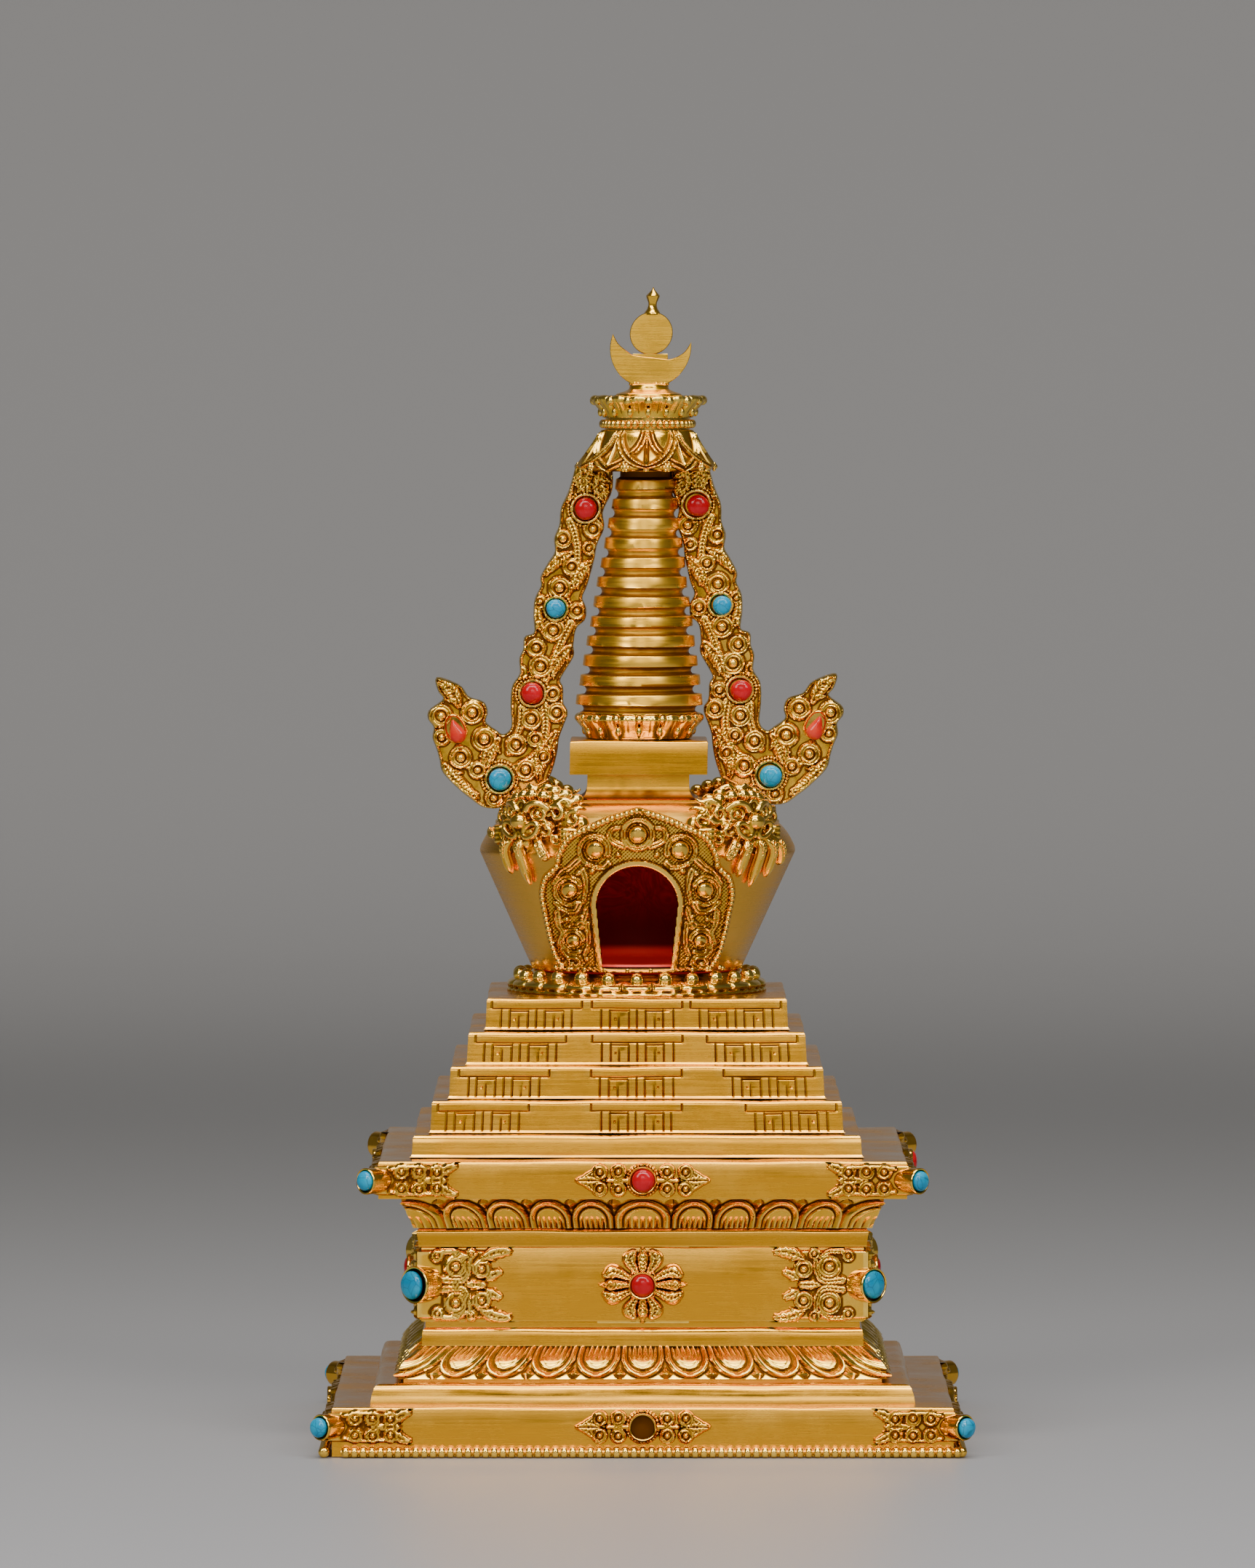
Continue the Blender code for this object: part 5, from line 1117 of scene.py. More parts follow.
def curl(across, out, up, r, thick, start, hand):
    # a cord rolled up: its radius shrinks as it turns, its middle standing proud
    t = np.linspace(0, 1, 22)
    a = math.radians(start) + hand * 2.3 * np.pi * t
    rho = r * (1 - 0.8 * t)
    line = [local(across + p * math.cos(q), out + 0.5 * f, up + p * math.sin(q))
            for p, q, f in zip(rho, a, t)]
    return tube(np.array(line), thick * (1 - 0.35 * t))


def loop(across, out, up, rx, rz, thick, tilt=0.0):
    # a closed ring of round wire along a tilted ellipse
    a = np.linspace(0, 2 * np.pi, 20, endpoint=False)
    spots = [local(across + rx * math.cos(q) * math.cos(tilt) - rz * math.sin(q) * math.sin(tilt), out,
                   up + rx * math.cos(q) * math.sin(tilt) + rz * math.sin(q) * math.cos(tilt)) for q in a]
    spots = np.array(spots)
    middle = spots.mean(axis=0)
    spoke = spots - middle
    spoke /= np.linalg.norm(spoke, axis=1, keepdims=True)
    normal = np.cross(spoke[0], spoke[5])
    normal /= np.linalg.norm(normal)
    around = np.linspace(0, 2 * np.pi, 8, endpoint=False)
    return donutShell(spots[:, None] + thick * (np.cos(around)[None, :, None] * spoke[:, None]
                                                + np.sin(around)[None, :, None] * normal))


def lock(points, count, thick, taper):
    # a strand of hair: a tube through points of the mask's own frame, thinning towards its end
    return tube(smoothPath([local(*p) for p in points], count), thick - taper * np.linspace(0, 1, count))


def maskShells(strands):
    # lumps, curls and locks in the mask's own frame
    at = local
    made = [blob(at(0, -0.6, 0.0), (5.4, 4.0, 5.0), 20, 14),
            blob(at(0, 3.7, -2.2), (2.9, 1.7, 1.8), 16, 12),
            blob(at(0, 3.3, -4.3), (1.6, 1.4, 1.5), 14, 10), blob(at(0, 2.9, -5.5), (0.9, 1.0, 1.2), 12, 8),
            blob(at(0, 5.2, -0.3), (1.9, 1.6, 1.5), 14, 10), blob(at(0, 3.9, 2.5), (0.75, 0.8, 1.0), 12, 8),
            loop(0, 4.5, 2.5, 0.95, 1.2, 0.30)]
    for k in range(-3, 4):  # two rows of curls for the crown
        made.append(blob(at(2.5 * k, 1.7 - 0.4 * abs(k), 4.6 - 0.18 * k * k), (1.35, 1.25, 1.2), 14, 10))
        made.append(blob(at(2.5 * k + 1.2, -0.7, 5.5 - 0.19 * k * k), (1.4, 1.4, 1.2), 14, 10))
    for k in range(5):  # teeth
        made.append(blob(at(0.78 * (k - 2), 5.1 - 0.22 * abs(k - 2), -3.05), (0.36, 0.4, 0.5), 8, 6))
    for s in (1, -1):
        made += [
            blob(at(s * 1.25, 4.7, -0.9), (0.75, 0.75, 0.6), 10, 8),
            loop(s * 2.3, 4.9, -2.0, 1.8, 1.1, 0.62, s * 0.7),
            loop(s * 3.0, 3.6, 1.1, 1.35, 1.15, 0.46),
            blob(at(s * 3.0, 3.8, 1.1), (0.62, 0.62, 0.6), 10, 8),
            lock([(s * 0.9, 4.4, 1.6), (s * 1.9, 4.5, 2.9), (s * 3.6, 4.0, 3.1), (s * 5.0, 2.9, 1.9)],
                 16, 0.82, 0.28),
            blob(at(s * 4.4, 2.5, -1.4), (1.5, 1.4, 1.4), 14, 10),
            curl(s * 4.9, 3.4, -1.9, 1.45, 0.58, 90, s), curl(s * 6.1, 2.1, 1.2, 1.9, 0.7, 200, -s),
            lock([(s * 5.4, 1.6, 2.6), (s * 7.0, 1.3, 3.7), (s * 8.6, 0.6, 3.4), (s * 9.6, -0.4, 4.0)],
                 14, 0.95, 0.72),
            lock([(s * 6.9, 0.9, 2.3), (s * 8.3, 0.8, 1.8), (s * 9.9, 0.0, 2.3), (s * 10.8, -0.8, 1.8)],
                 14, 0.85, 0.6),
            blob(at(s * 7.4, 0.0, -0.6), (2.6, 2.2, 3.6), 16, 12),
            curl(s * 9.3, 1.6, 0.2, 1.7, 0.62, 60, s),
            curl(s * 6.4, 3.0, -3.6, 1.3, 0.52, 60, -s),
            blob(at(s * 9.6, -0.6, -1.2), (1.9, 1.9, 2.2), 14, 10),
            lock([(s * 2.4, 3.6, -3.4), (s * 3.3, 3.4, -4.5), (s * 2.2, 3.5, -5.4)], 10, 0.5, 0.0),
            lock([(s * 1.0, 0.2, 5.6), (s * 2.2, 0.1, 6.3), (s * 3.6, -0.6, 5.7)], 10, 0.6, 0.0),
        ]
        fx = s * 8.3
        made.append(blob(at(fx, 1.5, -3.0), (2.4, 1.9, 1.8), 16, 10))
        for k in range(4):  # fingers closed over the strands
            down = 0.88 * k
            made.append(lock([(fx - s * 1.9, 2.0, -1.7 - down), (fx - s * 0.2, 3.6, -1.8 - down),
                              (fx + s * 1.9, 2.3, -2.0 - down)], 10, 0.46, 0.0))
    for degrees, zEnd in strands:
        made.append(strandShells(degrees, zEnd)[0])
    return made


def ringAt(degrees, r, z):
    # point at an angle from the front, a radius and a height
    a = math.radians(degrees)
    return (r * math.sin(a), -r * math.cos(a), z)


def strandShells(degrees, zEnd):
    # a cord hanging from the fists over the dome's edge, and the ring-and-dimple beads along it
    edge = dome["edge"]
    side = abs(degrees) > 24  # the one that lies sideways along the shoulder
    wall = coneRadius(min(zEnd, edge) - dome["foot"]) + 0.75
    if side:
        path = [ringAt(degrees * 0.62, mask["r"] + 2.6, 115.0),
                ringAt(degrees * 0.8, mask["r"] + 2.9, 115.2),
                ringAt(degrees, mask["r"] + 2.2, zEnd)]
    else:
        path = [ringAt(degrees * 0.45, mask["r"] + 3.0, 115.4),
                ringAt(degrees * 0.75, dome["edgeR"] + 0.9, edge + 1.7),
                ringAt(degrees * 0.9, dome["edgeR"] + 0.75, edge - 0.3), ringAt(degrees, wall, zEnd)]
    line = smoothPath(path, 26)
    thick = np.concatenate([np.linspace(0.85, 1.12, 20), [1.12, 1.1, 1.03, 0.9, 0.62, 0.28]])
    made = [tube(line, thick, flatTo=ringAt(degrees, 1.0, 0.0))]
    for share in (0.36, 0.49, 0.62, 0.75, 0.88):
        k = int(share * 25)
        a = math.atan2(line[k][0], -line[k][1])
        out = np.array((math.sin(a), -math.cos(a), 0.25))
        out /= np.linalg.norm(out)
        along = line[k + 1] - line[k - 1]
        along /= np.linalg.norm(along)
        across = np.cross(along, out)
        spot = line[k] + out * 0.98
        turn = np.linspace(0, 2 * np.pi, 14, endpoint=False)[:, None]
        spoke = np.cos(turn) * along + np.sin(turn) * across
        around = np.linspace(0, 2 * np.pi, 8, endpoint=False)[None, :, None]
        made.append(donutShell(spot + 0.52 * spoke[:, None] + 0.26 * (np.cos(around) * spoke[:, None]
                                                                    + np.sin(around) * out)))
    return made


def fused(shells, voxel, smooth):
    # overlapping shells made one skin by a voxel remesh in millimetres, then relaxed a little
    part = joined(shells)
    mesh = bpy.data.meshes.new("rough")
    faces = [f.tolist() for f in part["f"]]
    mesh.from_pydata(part["v"].tolist(), [], [row for block in faces for row in block])
    faceOutwards(mesh)
    rough = linked("rough", mesh)
    skin = rough.modifiers.new("skin", "REMESH")
    skin.mode = "VOXEL"
    skin.voxel_size = voxel
    relax = rough.modifiers.new("relax", "SMOOTH")
    relax.factor = 0.5
    relax.iterations = smooth
    graph = bpy.context.evaluated_depsgraph_get()
    made = bpy.data.meshes.new_from_object(rough.evaluated_get(graph))
    verts = np.empty(len(made.vertices) * 3)
    made.vertices.foreach_get("co", verts)
    loops = np.empty(len(made.loops), dtype=np.int32)
    made.loops.foreach_get("vertex_index", loops)
    sizes = np.empty(len(made.polygons), dtype=np.int32)
    made.polygons.foreach_get("loop_total", sizes)
    starts = np.cumsum(sizes) - sizes
    blocks = [loops[starts[sizes == k][:, None] + np.arange(k)] for k in np.unique(sizes)]
    bpy.data.objects.remove(rough)
    return {"v": verts.reshape(-1, 3), "f": blocks}


def buildMasks():
    # the four masks, each set on the dome's shoulder
    lean = float(leanAt(np.array(dome["edge"])))
    made = []
    for key in ("right", "left"):
        beads = [b for degrees, zEnd in mask[key] for b in strandShells(degrees, zEnd)[1:]]
        made.append(joined([fused(maskShells(mask[key]), mask["voxel"], mask["smooth"])] + beads))
    right, left = made
    for name, skin, degrees in (("front_right", right, 45), ("front_left", left, -45),
                                ("back_right", right, 135), ("back_left", right, 225)):
        turned = placed(skin, lambda p: turnedBy(p, degrees) + (lean, 0, 0))
        piece("mask_" + name + "_cast", turned, reliefGold, ["mask_" + name], sharp=180,
              spread=12, depth=0.14)
    print("masks done")


buildMasks()


# Harmika: flared neck and brushed block

harmika = {"neck": 9.75, "block": 13.15}


def buildHarmika():
    # square courses from rows of half width and height
    n, b = harmika["neck"], harmika["block"]
    rows = [(6.0, 121.4), (n + 1.9, 121.4), (n + 1.9, 121.85), (n + 1.7, 122.0),
            (n + 1.1, 122.15), (n + 0.7, 122.45), (n + 0.32, 122.95), (n + 0.1, 123.6),
            (n, 124.4), (n, 127.0), (6.0, 127.0)]
    cols = np.sin(np.linspace(-1, 1, 50) * np.pi / 2)
    neck = squareBand([r[0] for r in rows], [r[1] for r in rows], cols,
                      lambda side, t: (1 - t ** 6) * waver(t * n, 0.06, 9, 30 + side))
    block = softCourse((b, 126.8), (b, 133.2), 5.0, 23, soft=0.45, count=50)
    piece("harmikaNeck", neck, neckGoldPaintedShade, ["harmika"], spread=3, depth=0.3, lean=True)
    piece("harmikaBlock", block, neckGoldPaintedShade, ["harmika"], spread=3, depth=0.3, lean=True)


buildHarmika()


# Opening lotus rings under the spire and on the canopy: thick petals with ridged tips, drops between

def cupLotus(n, rows, dropZ, dropR, dropSize, tip):
    # a turned cup with petals in relief, and drops round it
    rows = smoothPath(rows, 40)

    def relief(a, r, z):
        q = ((a + np.pi / 2) * n / (2 * np.pi)) % 1 * 2 - 1
        v = (z - rows[0, 1]) / (tip - rows[0, 1])
        swell = np.sqrt(unit(1 - np.abs(q) ** 2.4))
        wide = unit(v * 1.5)
        rim = hump(np.abs(q), 0.72, 0.13) * unit(v * 2 - 0.5)
        rib = np.exp(-(q / 0.10) ** 2) * unit(1.4 - v) * -0.18
        out = wide * ((swell - 0.72) * 2.0 + 0.3 * rim + rib)
        lift = -unit(v - 0.45) * (1 - swell) * 1.2
        return out, lift

    band = turnedBand(rows, n * 22, relief)
    a = evenly(n)
    centres = about(dropR, a, dropZ)
    out = about(1.0, a, 0.0)
    side = np.stack([-np.sin(a), np.cos(a), 0 * a], -1)
    up = np.broadcast_to((0.0, 0.0, 1.0), out.shape)
    frames = np.stack([out * dropSize * 0.8, side * dropSize * 0.85, up * dropSize * 1.3], -1)
    ball = blob((0, 0, 0), (1, 1, 1), 12, 8)
    made = [band, scatter(ball, centres, frames)]
    r = rows[:, 0].max() - 0.1
    for turn, back, size in ((0.0, 0.35, (1.0, 1.5, 0.95)), (np.pi / n, 0.9, (0.85, 0.95, 0.85))):
        b = a + turn  # curled tips, and smaller ones between
        spots = about(r - back, b, tip - 0.85)
        out = about(1.0, b, 0.0)
        side = np.stack([-np.sin(b), np.cos(b), 0 * b], -1)
        frames = np.stack([out * size[0], side * size[1], up * size[2]], -1)
        made.append(scatter(ball, spots, frames))
    return made


def buildSpireLotus():
    # one cup of sixteen petals
    shells = cupLotus(16, [(5.0, 133.3), (9.6, 133.35), (10.2, 133.7), (10.4, 134.3), (10.7, 135.3),
                           (11.6, 136.6), (11.9, 137.3), (11.3, 138.2), (9.6, 138.4), (5.0, 138.3)],
                      135.0, 10.4, 0.75, 138.2)
    piece("spireLotusRing", shells, lotusGold, ["spire_lotus"], depth=0.22, lean=True)


buildSpireLotus()


# Spire: twelve rings with flat brushed bands and rounded grooves between

spire = {"rings": 12, "pitch": 3.76, "band": 2.05, "top": 183.21, "topR": 5.8, "growth": 0.58,
         "groove": 0.86}


def buildSpire():
    # each ring is wider than the one above by the same growth
    profile = [(0.4, 191.0), (4.9, 191.0), (4.9, 183.6)]
    gap = spire["pitch"] - spire["band"]
    for k in range(spire["rings"]):
        r, z = spire["topR"] + k * spire["growth"], spire["top"] - k * spire["pitch"]
        low = z - spire["band"]
        profile += [(r - 0.4, z + 0.01), (r - 0.24, z - 0.01), (r - 0.16, z - 0.07),
                    (r - 0.12, z - 0.2), (r - 0.04, z - 1.0), (r + 0.04, low + 0.2),
                    (r + 0.02, low + 0.07), (r - 0.1, low + 0.01), (r - 0.35, low)]
        deep = spire["groove"] * (r + 0.29)
        for share in (0.08, 0.3, 0.5, 0.7, 0.92):
            profile.append((deep + 0.55 * abs(2 * share - 1) ** 2.5, low - share * gap))
    profile = [p for p in profile if p[1] > 138.35] + [(11.4, 138.4), (11.4, 138.2), (0.4, 138.2)]

    def relief(a, r, z):
        k = np.round((spire["top"] - z) / spire["pitch"])
        out = 0.05 * np.sin(a * 3 + k * 2.1) + 0.03 * np.sin(a * 7 + k)
        return out, 0.08 * np.sin(a + k * 1.9) * (r > 5.2)

    piece("spireRings", turnedBand(profile, 120, relief), ringGoldPaintedLight, ["spire"],
          sharp=38, spread=4, depth=0.34, lean=True)


buildSpire()


# Canopy: bell with overlapping petals outlined by double ridges, hollow underneath

canopy = {"petals": 5, "rim": 184.65, "top": 192.65}


def buildCanopy():
    # a turned bell: its outside profile, then its inside
    outside = smoothPath([(3.0, 192.7), (8.3, 192.65), (8.9, 192.3), (9.4, 191.2), (10.4, 189.4),
                          (11.6, 187.5), (12.5, 186.2), (12.75, 185.4), (12.6, 184.9)], 70)
    inside = [(12.5, 184.75), (11.9, 185.2), (11.2, 186.6), (9.6, 188.8), (8.6, 190.8), (3.0, 191.2)]
    n = canopy["petals"]

    def petalAt(q, v):
        # how far inside a hanging pointed arch, in mm: two cords run along its edge, a rib to its point
        bound = np.clip(1.03 - v ** 1.9, 0, 1.03) ** 0.72
        slope = 0.72 * 1.9 * v ** 0.9 / np.clip(1.03 - v ** 1.9, 0.03, 1.03) ** 0.28
        inside = (bound - np.abs(q)) / np.hypot(1 / 7.2, slope / 8.6)
        cords = 0.80 * hump(inside, 0.36, 0.30) + 0.75 * hump(inside, 1.32, 0.30)
        rib = 0.6 * np.exp(-(q * 7.2 / 0.26) ** 2) * (inside > 1.5)
        return np.maximum(cords, rib), inside

    def relief(a, r, z):
        v = unit((canopy["top"] - z) / (canopy["top"] - canopy["rim"] - 0.3))
        outer = (r > 8.0) & (np.arange(r.shape[1])[None] < 70)
        q1 = ((a + np.pi / 2) * n / (2 * np.pi) + 0.5) % 1 * 2 - 1
        q2 = ((a + np.pi / 2) * n / (2 * np.pi)) % 1 * 2 - 1
        front, inside = petalAt(q1 + 0 * v, v + 0 * a)
        behind, within = petalAt(q2 + 0 * v, v + 0 * a)
        crossed = behind * unit((0.62 - v) / 0.06) * (inside > 1.7)
        height = np.where(inside > 0, np.maximum(front, crossed) + 0.2, np.where(within > 0, behind, -0.2))
        fade = unit(v * 9) * outer
        scallop = 0.6 * unit(v - 0.84) / 0.16 * np.abs(np.cos((a + np.pi / 2) * n / 2)) * outer
        return (height - 0.3) * fade, scallop - 0.3 * unit(v - 0.84) / 0.16 * outer

    bell = turnedBand(list(outside) + inside, 480, relief)
    a = evenly(2 * n, 0.5)
    flowers = []
    for ring, count, size in ((0.0, 1, 0.52), (0.62, 6, 0.36)):
        for k in range(count):
            turn = 2 * np.pi * k / count
            r = 13.25 - 0.15 * (ring > 0)
            z = 185.55 + ring * math.sin(turn)
            side = ring * math.cos(turn) / r
            centres = about(r, a + side, z)
            flowers.append(scatter(blob((0, 0, 0), (size, size, size), 10, 6), centres,
                                   upright(len(a))))
    piece("canopyBell", [bell] + flowers, reliefGold, ["canopy"], depth=0.16, lean=True)

    n = 44
    a = evenly(n)
    beads = scatter(blob((0, 0, 0), (0.60, 0.60, 0.82), 12, 9), about(8.72, a, 193.75), upright(n))
    core = turnedBand([(0.5, 194.9), (8.25, 194.9), (8.25, 192.7), (0.5, 192.7)], 48)
    core["h"] = np.full(len(core["v"]), 0.7)
    piece("canopyBeadRing", [core, beads], reliefGold, ["canopy_beads"], depth=0.22, lean=True)

    shells = cupLotus(16, [(4.0, 194.9), (8.3, 194.95), (8.8, 195.3), (9.1, 196.2), (9.9, 197.4),
                           (10.7, 198.4), (10.6, 199.0), (9.8, 199.25), (8.4, 198.7), (4.0, 198.6)],
                      196.1, 9.1, 0.72, 199.1)
    piece("canopyLotusRing", shells, lotusGold, ["canopy_lotus"], depth=0.2, lean=True)
    print("canopy done")


buildCanopy()


# Finial: seat, crescent, sun disc and flame knob

finial = {"moonZ": 208.45, "moonR": 7.8, "hornLeft": 2.6, "hornRight": 1.0, "moonT": 1.15,
          "sunZ": 211.15, "sunR": 4.12, "sunT": 0.9}


def slab(outline, half, soft):
    # flat plate in the plane of the front: outline drawn in towards its middle as its faces round off
    middle = outline.mean(axis=0)
    tangent = np.roll(outline, -1, axis=0) - np.roll(outline, 1, axis=0)
    tangent /= np.linalg.norm(tangent, axis=1, keepdims=True) + 1e-9
    normal = np.stack([-tangent[:, 1], tangent[:, 0]], -1)
    if ((outline + 0.01 * normal - middle) ** 2).sum() < ((outline - middle) ** 2).sum():
        normal = -normal
    back = [(soft + 0.15, half), (soft * 0.5, half), (0.12, half - 0.25 * soft), (0.0, half - soft)]
    rings = []
    for inset, depth in [(inset, -depth) for inset, depth in back] + back[::-1]:
        p = outline - normal * inset
        rings.append(np.stack([p[:, 0], np.full(len(p), depth), p[:, 1]], -1))
    return ringShell(np.stack(rings, axis=1))


def strip(outer, inner, half, soft):
    # plate between two lines of equal count: a rounded oblong section at each station
    apart = outer - inner
    gap = np.linalg.norm(apart, axis=1, keepdims=True)
    d = apart / (gap + 1e-6)
    tuck = np.minimum(soft, 0.4 * gap)
    back = [(1.0, half), (0.5, half), (0.15, half - 0.3 * soft), (0.0, half - soft)]
    front = [(share, -depth) for share, depth in back]
    rows = []
    for line, sign, steps in ((outer, -1, front + back[::-1]), (inner, 1, back + front[::-1])):
        for share, depth in steps:
            p = line + sign * d * tuck * share
            rows.append(np.stack([p[:, 0], np.full(len(p), depth), p[:, 1]], -1))
    return ringShell(np.stack(rows))


def buildFinial():
    # the crescent and sun are cut from their outlines, the seat and flame are turned
    f = finial
    seat = turnedBand(smoothPath([(0.4, 201.6), (2.6, 201.5), (3.4, 201.4), (3.75, 201.0),
                                  (3.9, 200.4), (5.0, 199.9), (6.2, 199.5), (6.3, 199.1),
                                  (5.8, 198.9), (0.4, 198.9)], 30), 64)
    a0 = math.asin(f["hornRight"] / f["moonR"])
    a1 = math.pi - math.asin(f["hornLeft"] / f["moonR"])
    outer = np.linspace(a0, a1 - 2 * math.pi, 64)
    outer = np.stack([f["moonR"] * np.cos(outer), f["moonR"] * np.sin(outer)], -1)
    hollow = smoothPath([outer[-1], (-6.4, 0.9), (-5.35, -0.1), (-4.4, -0.8), (-3.5, -1.4), (-1.6, -1.75),
                         (0.4, -1.95), (2.4, -2.2), (3.6, -2.3), (5.2, -1.8), (6.6, -0.8), outer[0]], 64)
    lift = np.array([0.0, f["moonZ"]])
    moon = strip(outer[::-1] + lift, hollow + lift, f["moonT"], 0.25)
    a = np.linspace(0, 2 * np.pi, 72, endpoint=False)
    disc = np.stack([f["sunR"] * np.cos(a), f["sunZ"] + f["sunR"] * np.sin(a)], -1)
    sun = slab(disc, f["sunT"], 0.28)
    rest = slab(np.array([(-3.3, 205.6), (3.3, 205.6), (3.4, 206.4), (3.3, 207.2), (-3.3, 207.2),
                          (-3.4, 206.4)]), 0.8, 0.12)
    knob = turnedBand([(0.05, 220.0), (0.35, 219.4), (1.28, 218.4), (1.28, 218.15), (0.82, 217.0),
                       (0.8, 216.5), (1.0, 215.8), (1.45, 215.2), (1.45, 214.7), (0.1, 214.6)], 8)
    dice = np.random.default_rng(8)
    around = dice.uniform(0, 2 * np.pi, 22)
    solder = scatter(blob((0, 0, 0), (1, 1, 0.8), 8, 6),
                     np.stack([3.5 * np.cos(around), 1.6 * np.sin(around),
                               201.3 + 0.3 * dice.random(22)], -1),
                     np.eye(3)[None] * dice.uniform(0.25, 0.5, 22)[:, None, None])
    piece("finialPlates", [seat, moon, rest, sun, knob, solder], polishedGold, ["finial"],
          sharp=40, spread=4, depth=0.3, lean=True)
    print("finial done")


buildFinial()


# Streamers: cast openwork tails cut from a sheet, scrolls, beads and leaves raised on both faces

streamer = {
    "thick": 1.0, "step": 0.165, "rightIn": 1.4, "rightUp": 0.75,
    "outer": [(13.3, 185.8), (14.5, 181.0), (15.9, 177.5), (16.1, 174.3), (17.0, 171.8), (16.8, 169.2),
              (18.0, 167.1), (19.4, 164.4), (19.3, 162.6), (20.4, 160.1), (20.6, 156.9), (20.4, 153.6),
              (22.2, 152.7), (22.4, 150.4), (23.1, 148.6), (23.0, 145.7), (24.4, 143.2), (24.6, 139.5),
              (24.4, 135.5), (26.0, 133.9), (27.6, 134.8), (29.6, 136.4), (29.3, 138.4), (30.1, 140.2),
              (32.9, 141.2), (34.7, 143.4), (38.9, 144.9), (38.6, 142.5), (37.6, 140.8), (40.2, 138.7),
              (40.4, 137.1), (39.3, 135.5), (39.5, 133.5), (38.7, 131.4), (38.1, 129.4), (37.4, 126.8),
              (34.4, 123.7), (31.9, 121.7), (29.6, 120.2), (26.8, 120.1), (24.9, 121.4)],
    "inner": [(6.5, 185.4), (6.5, 181.0), (8.1, 177.0), (7.8, 173.8), (9.0, 170.8), (9.6, 167.3),
              (10.7, 162.9), (11.6, 160.4), (10.8, 158.3), (11.0, 156.2), (12.6, 154.5), (13.1, 151.3),
              (13.0, 149.2), (14.8, 146.0), (15.5, 144.4), (14.9, 143.0), (14.8, 140.2), (13.9, 138.3),
              (14.6, 136.0), (15.5, 133.5), (15.8, 131.0), (16.4, 128.2), (17.4, 125.2)],
    "bezels": [(11.3, 177.5, 2.75), (16.5, 158.3, 2.3), (20.6, 142.0, 2.55), (26.6, 125.5, 2.75)],
    "drop": (35.1, 135.0),
    "scrolls": [(9.8, 173.6, 1.66, 1), (15.5, 171.7, 1.59, -1), (15.9, 162.3, 1.94, 1),
                (12.4, 157.8, 1.52, 1), (16.9, 154.1, 1.94, -1), (20.1, 150.7, 1.66, 1),
                (19.2, 147.1, 1.94, -1), (16.7, 141.9, 1.39, 1), (15.9, 138.3, 1.73, 1),
                (20.8, 137.0, 1.86, -1), (23.6, 132.1, 1.80, -1), (21.7, 127.3, 1.86, 1),
                (27.7, 121.9, 1.48, -1), (23.9, 122.9, 1.11, 1), (29.7, 133.2, 2.08, 1),
                (34.2, 129.6, 1.86, -1), (38.1, 137.6, 1.94, -1), (32.1, 138.3, 1.94, 1),
                (37.9, 133.5, 1.48, -1), (13.7, 166.3, 1.5, 1), (10.4, 169.9, 1.2, 1),
                (19.9, 133.2, 1.4, 1), (18.3, 129.8, 1.4, -1), (30.9, 127.2, 1.5, 1),
                (22.9, 146.0, 1.2, -1), (19.6, 159.6, 1.2, -1)],
    "leaves": [(13.8, 169.0, 19.3, 164.4, 1.0), (10.0, 167.3, 13.1, 161.8, 1.0),
               (20.0, 161.5, 18.7, 153.4, 0.9), (13.6, 151.0, 17.4, 144.6, 1.1),
               (16.0, 134.5, 19.2, 124.8, 1.1), (34.7, 139.5, 38.8, 144.6, 1.0),
               (37.2, 128.2, 30.5, 121.7, 1.2), (27.0, 133.2, 29.4, 127.2, 1.1),
               (8.6, 184.6, 7.4, 178.6, 1.2), (14.0, 185.0, 14.8, 178.4, 1.0),
               (11.4, 186.0, 11.2, 180.2, 1.3)],
    "stems": [([(12.6, 183.5), (12.0, 180.4)], 0.5),
              ([(14.2, 175.0), (13.2, 172.4), (12.6, 168.6), (13.0, 164.0), (14.6, 160.9)], 0.55),
              ([(13.6, 155.4), (15.4, 151.6), (16.9, 147.8), (18.2, 144.6)], 0.55),
              ([(18.4, 139.6), (18.0, 135.0), (19.6, 130.4), (23.6, 127.6)], 0.6),
              ([(29.4, 126.6), (32.4, 128.0), (34.6, 131.4)], 0.6),
              ([(22.6, 139.0), (22.9, 135.4), (25.0, 130.6)], 0.5),
              ([(9.4, 179.9), (8.6, 176.4)], 0.4)],
}


def streamerLine(points, side):
    # the left tail's own drawing mirrored for the right one, which hangs a little nearer and higher
    p = np.array(points, float)
    if side > 0:
        p = p + (-streamer["rightIn"], streamer["rightUp"])
        p[:, 1] = np.minimum(p[:, 1], 185.6)
    return p * (side, 1.0)


def bezelStrokes(x, z, r):
    # a plain wall round the stone, and the floor it lies on
    a = np.linspace(0, 2 * np.pi, 40)
    return [stroke(np.stack([x + r * np.cos(a), z + r * np.sin(a)], -1), 0.30, 0.85),
            dot(x, z, r, 0.35)]


def grainRing(x, z, r, size=0.3, rise=0.5, step=0.62):
    # evenly spaced dots round a circle
    n = max(int(2 * math.pi * r / step), 6)
    return [dot(x + r * math.cos(2 * math.pi * k / n), z + r * math.sin(2 * math.pi * k / n), size, rise)
            for k in range(n)]


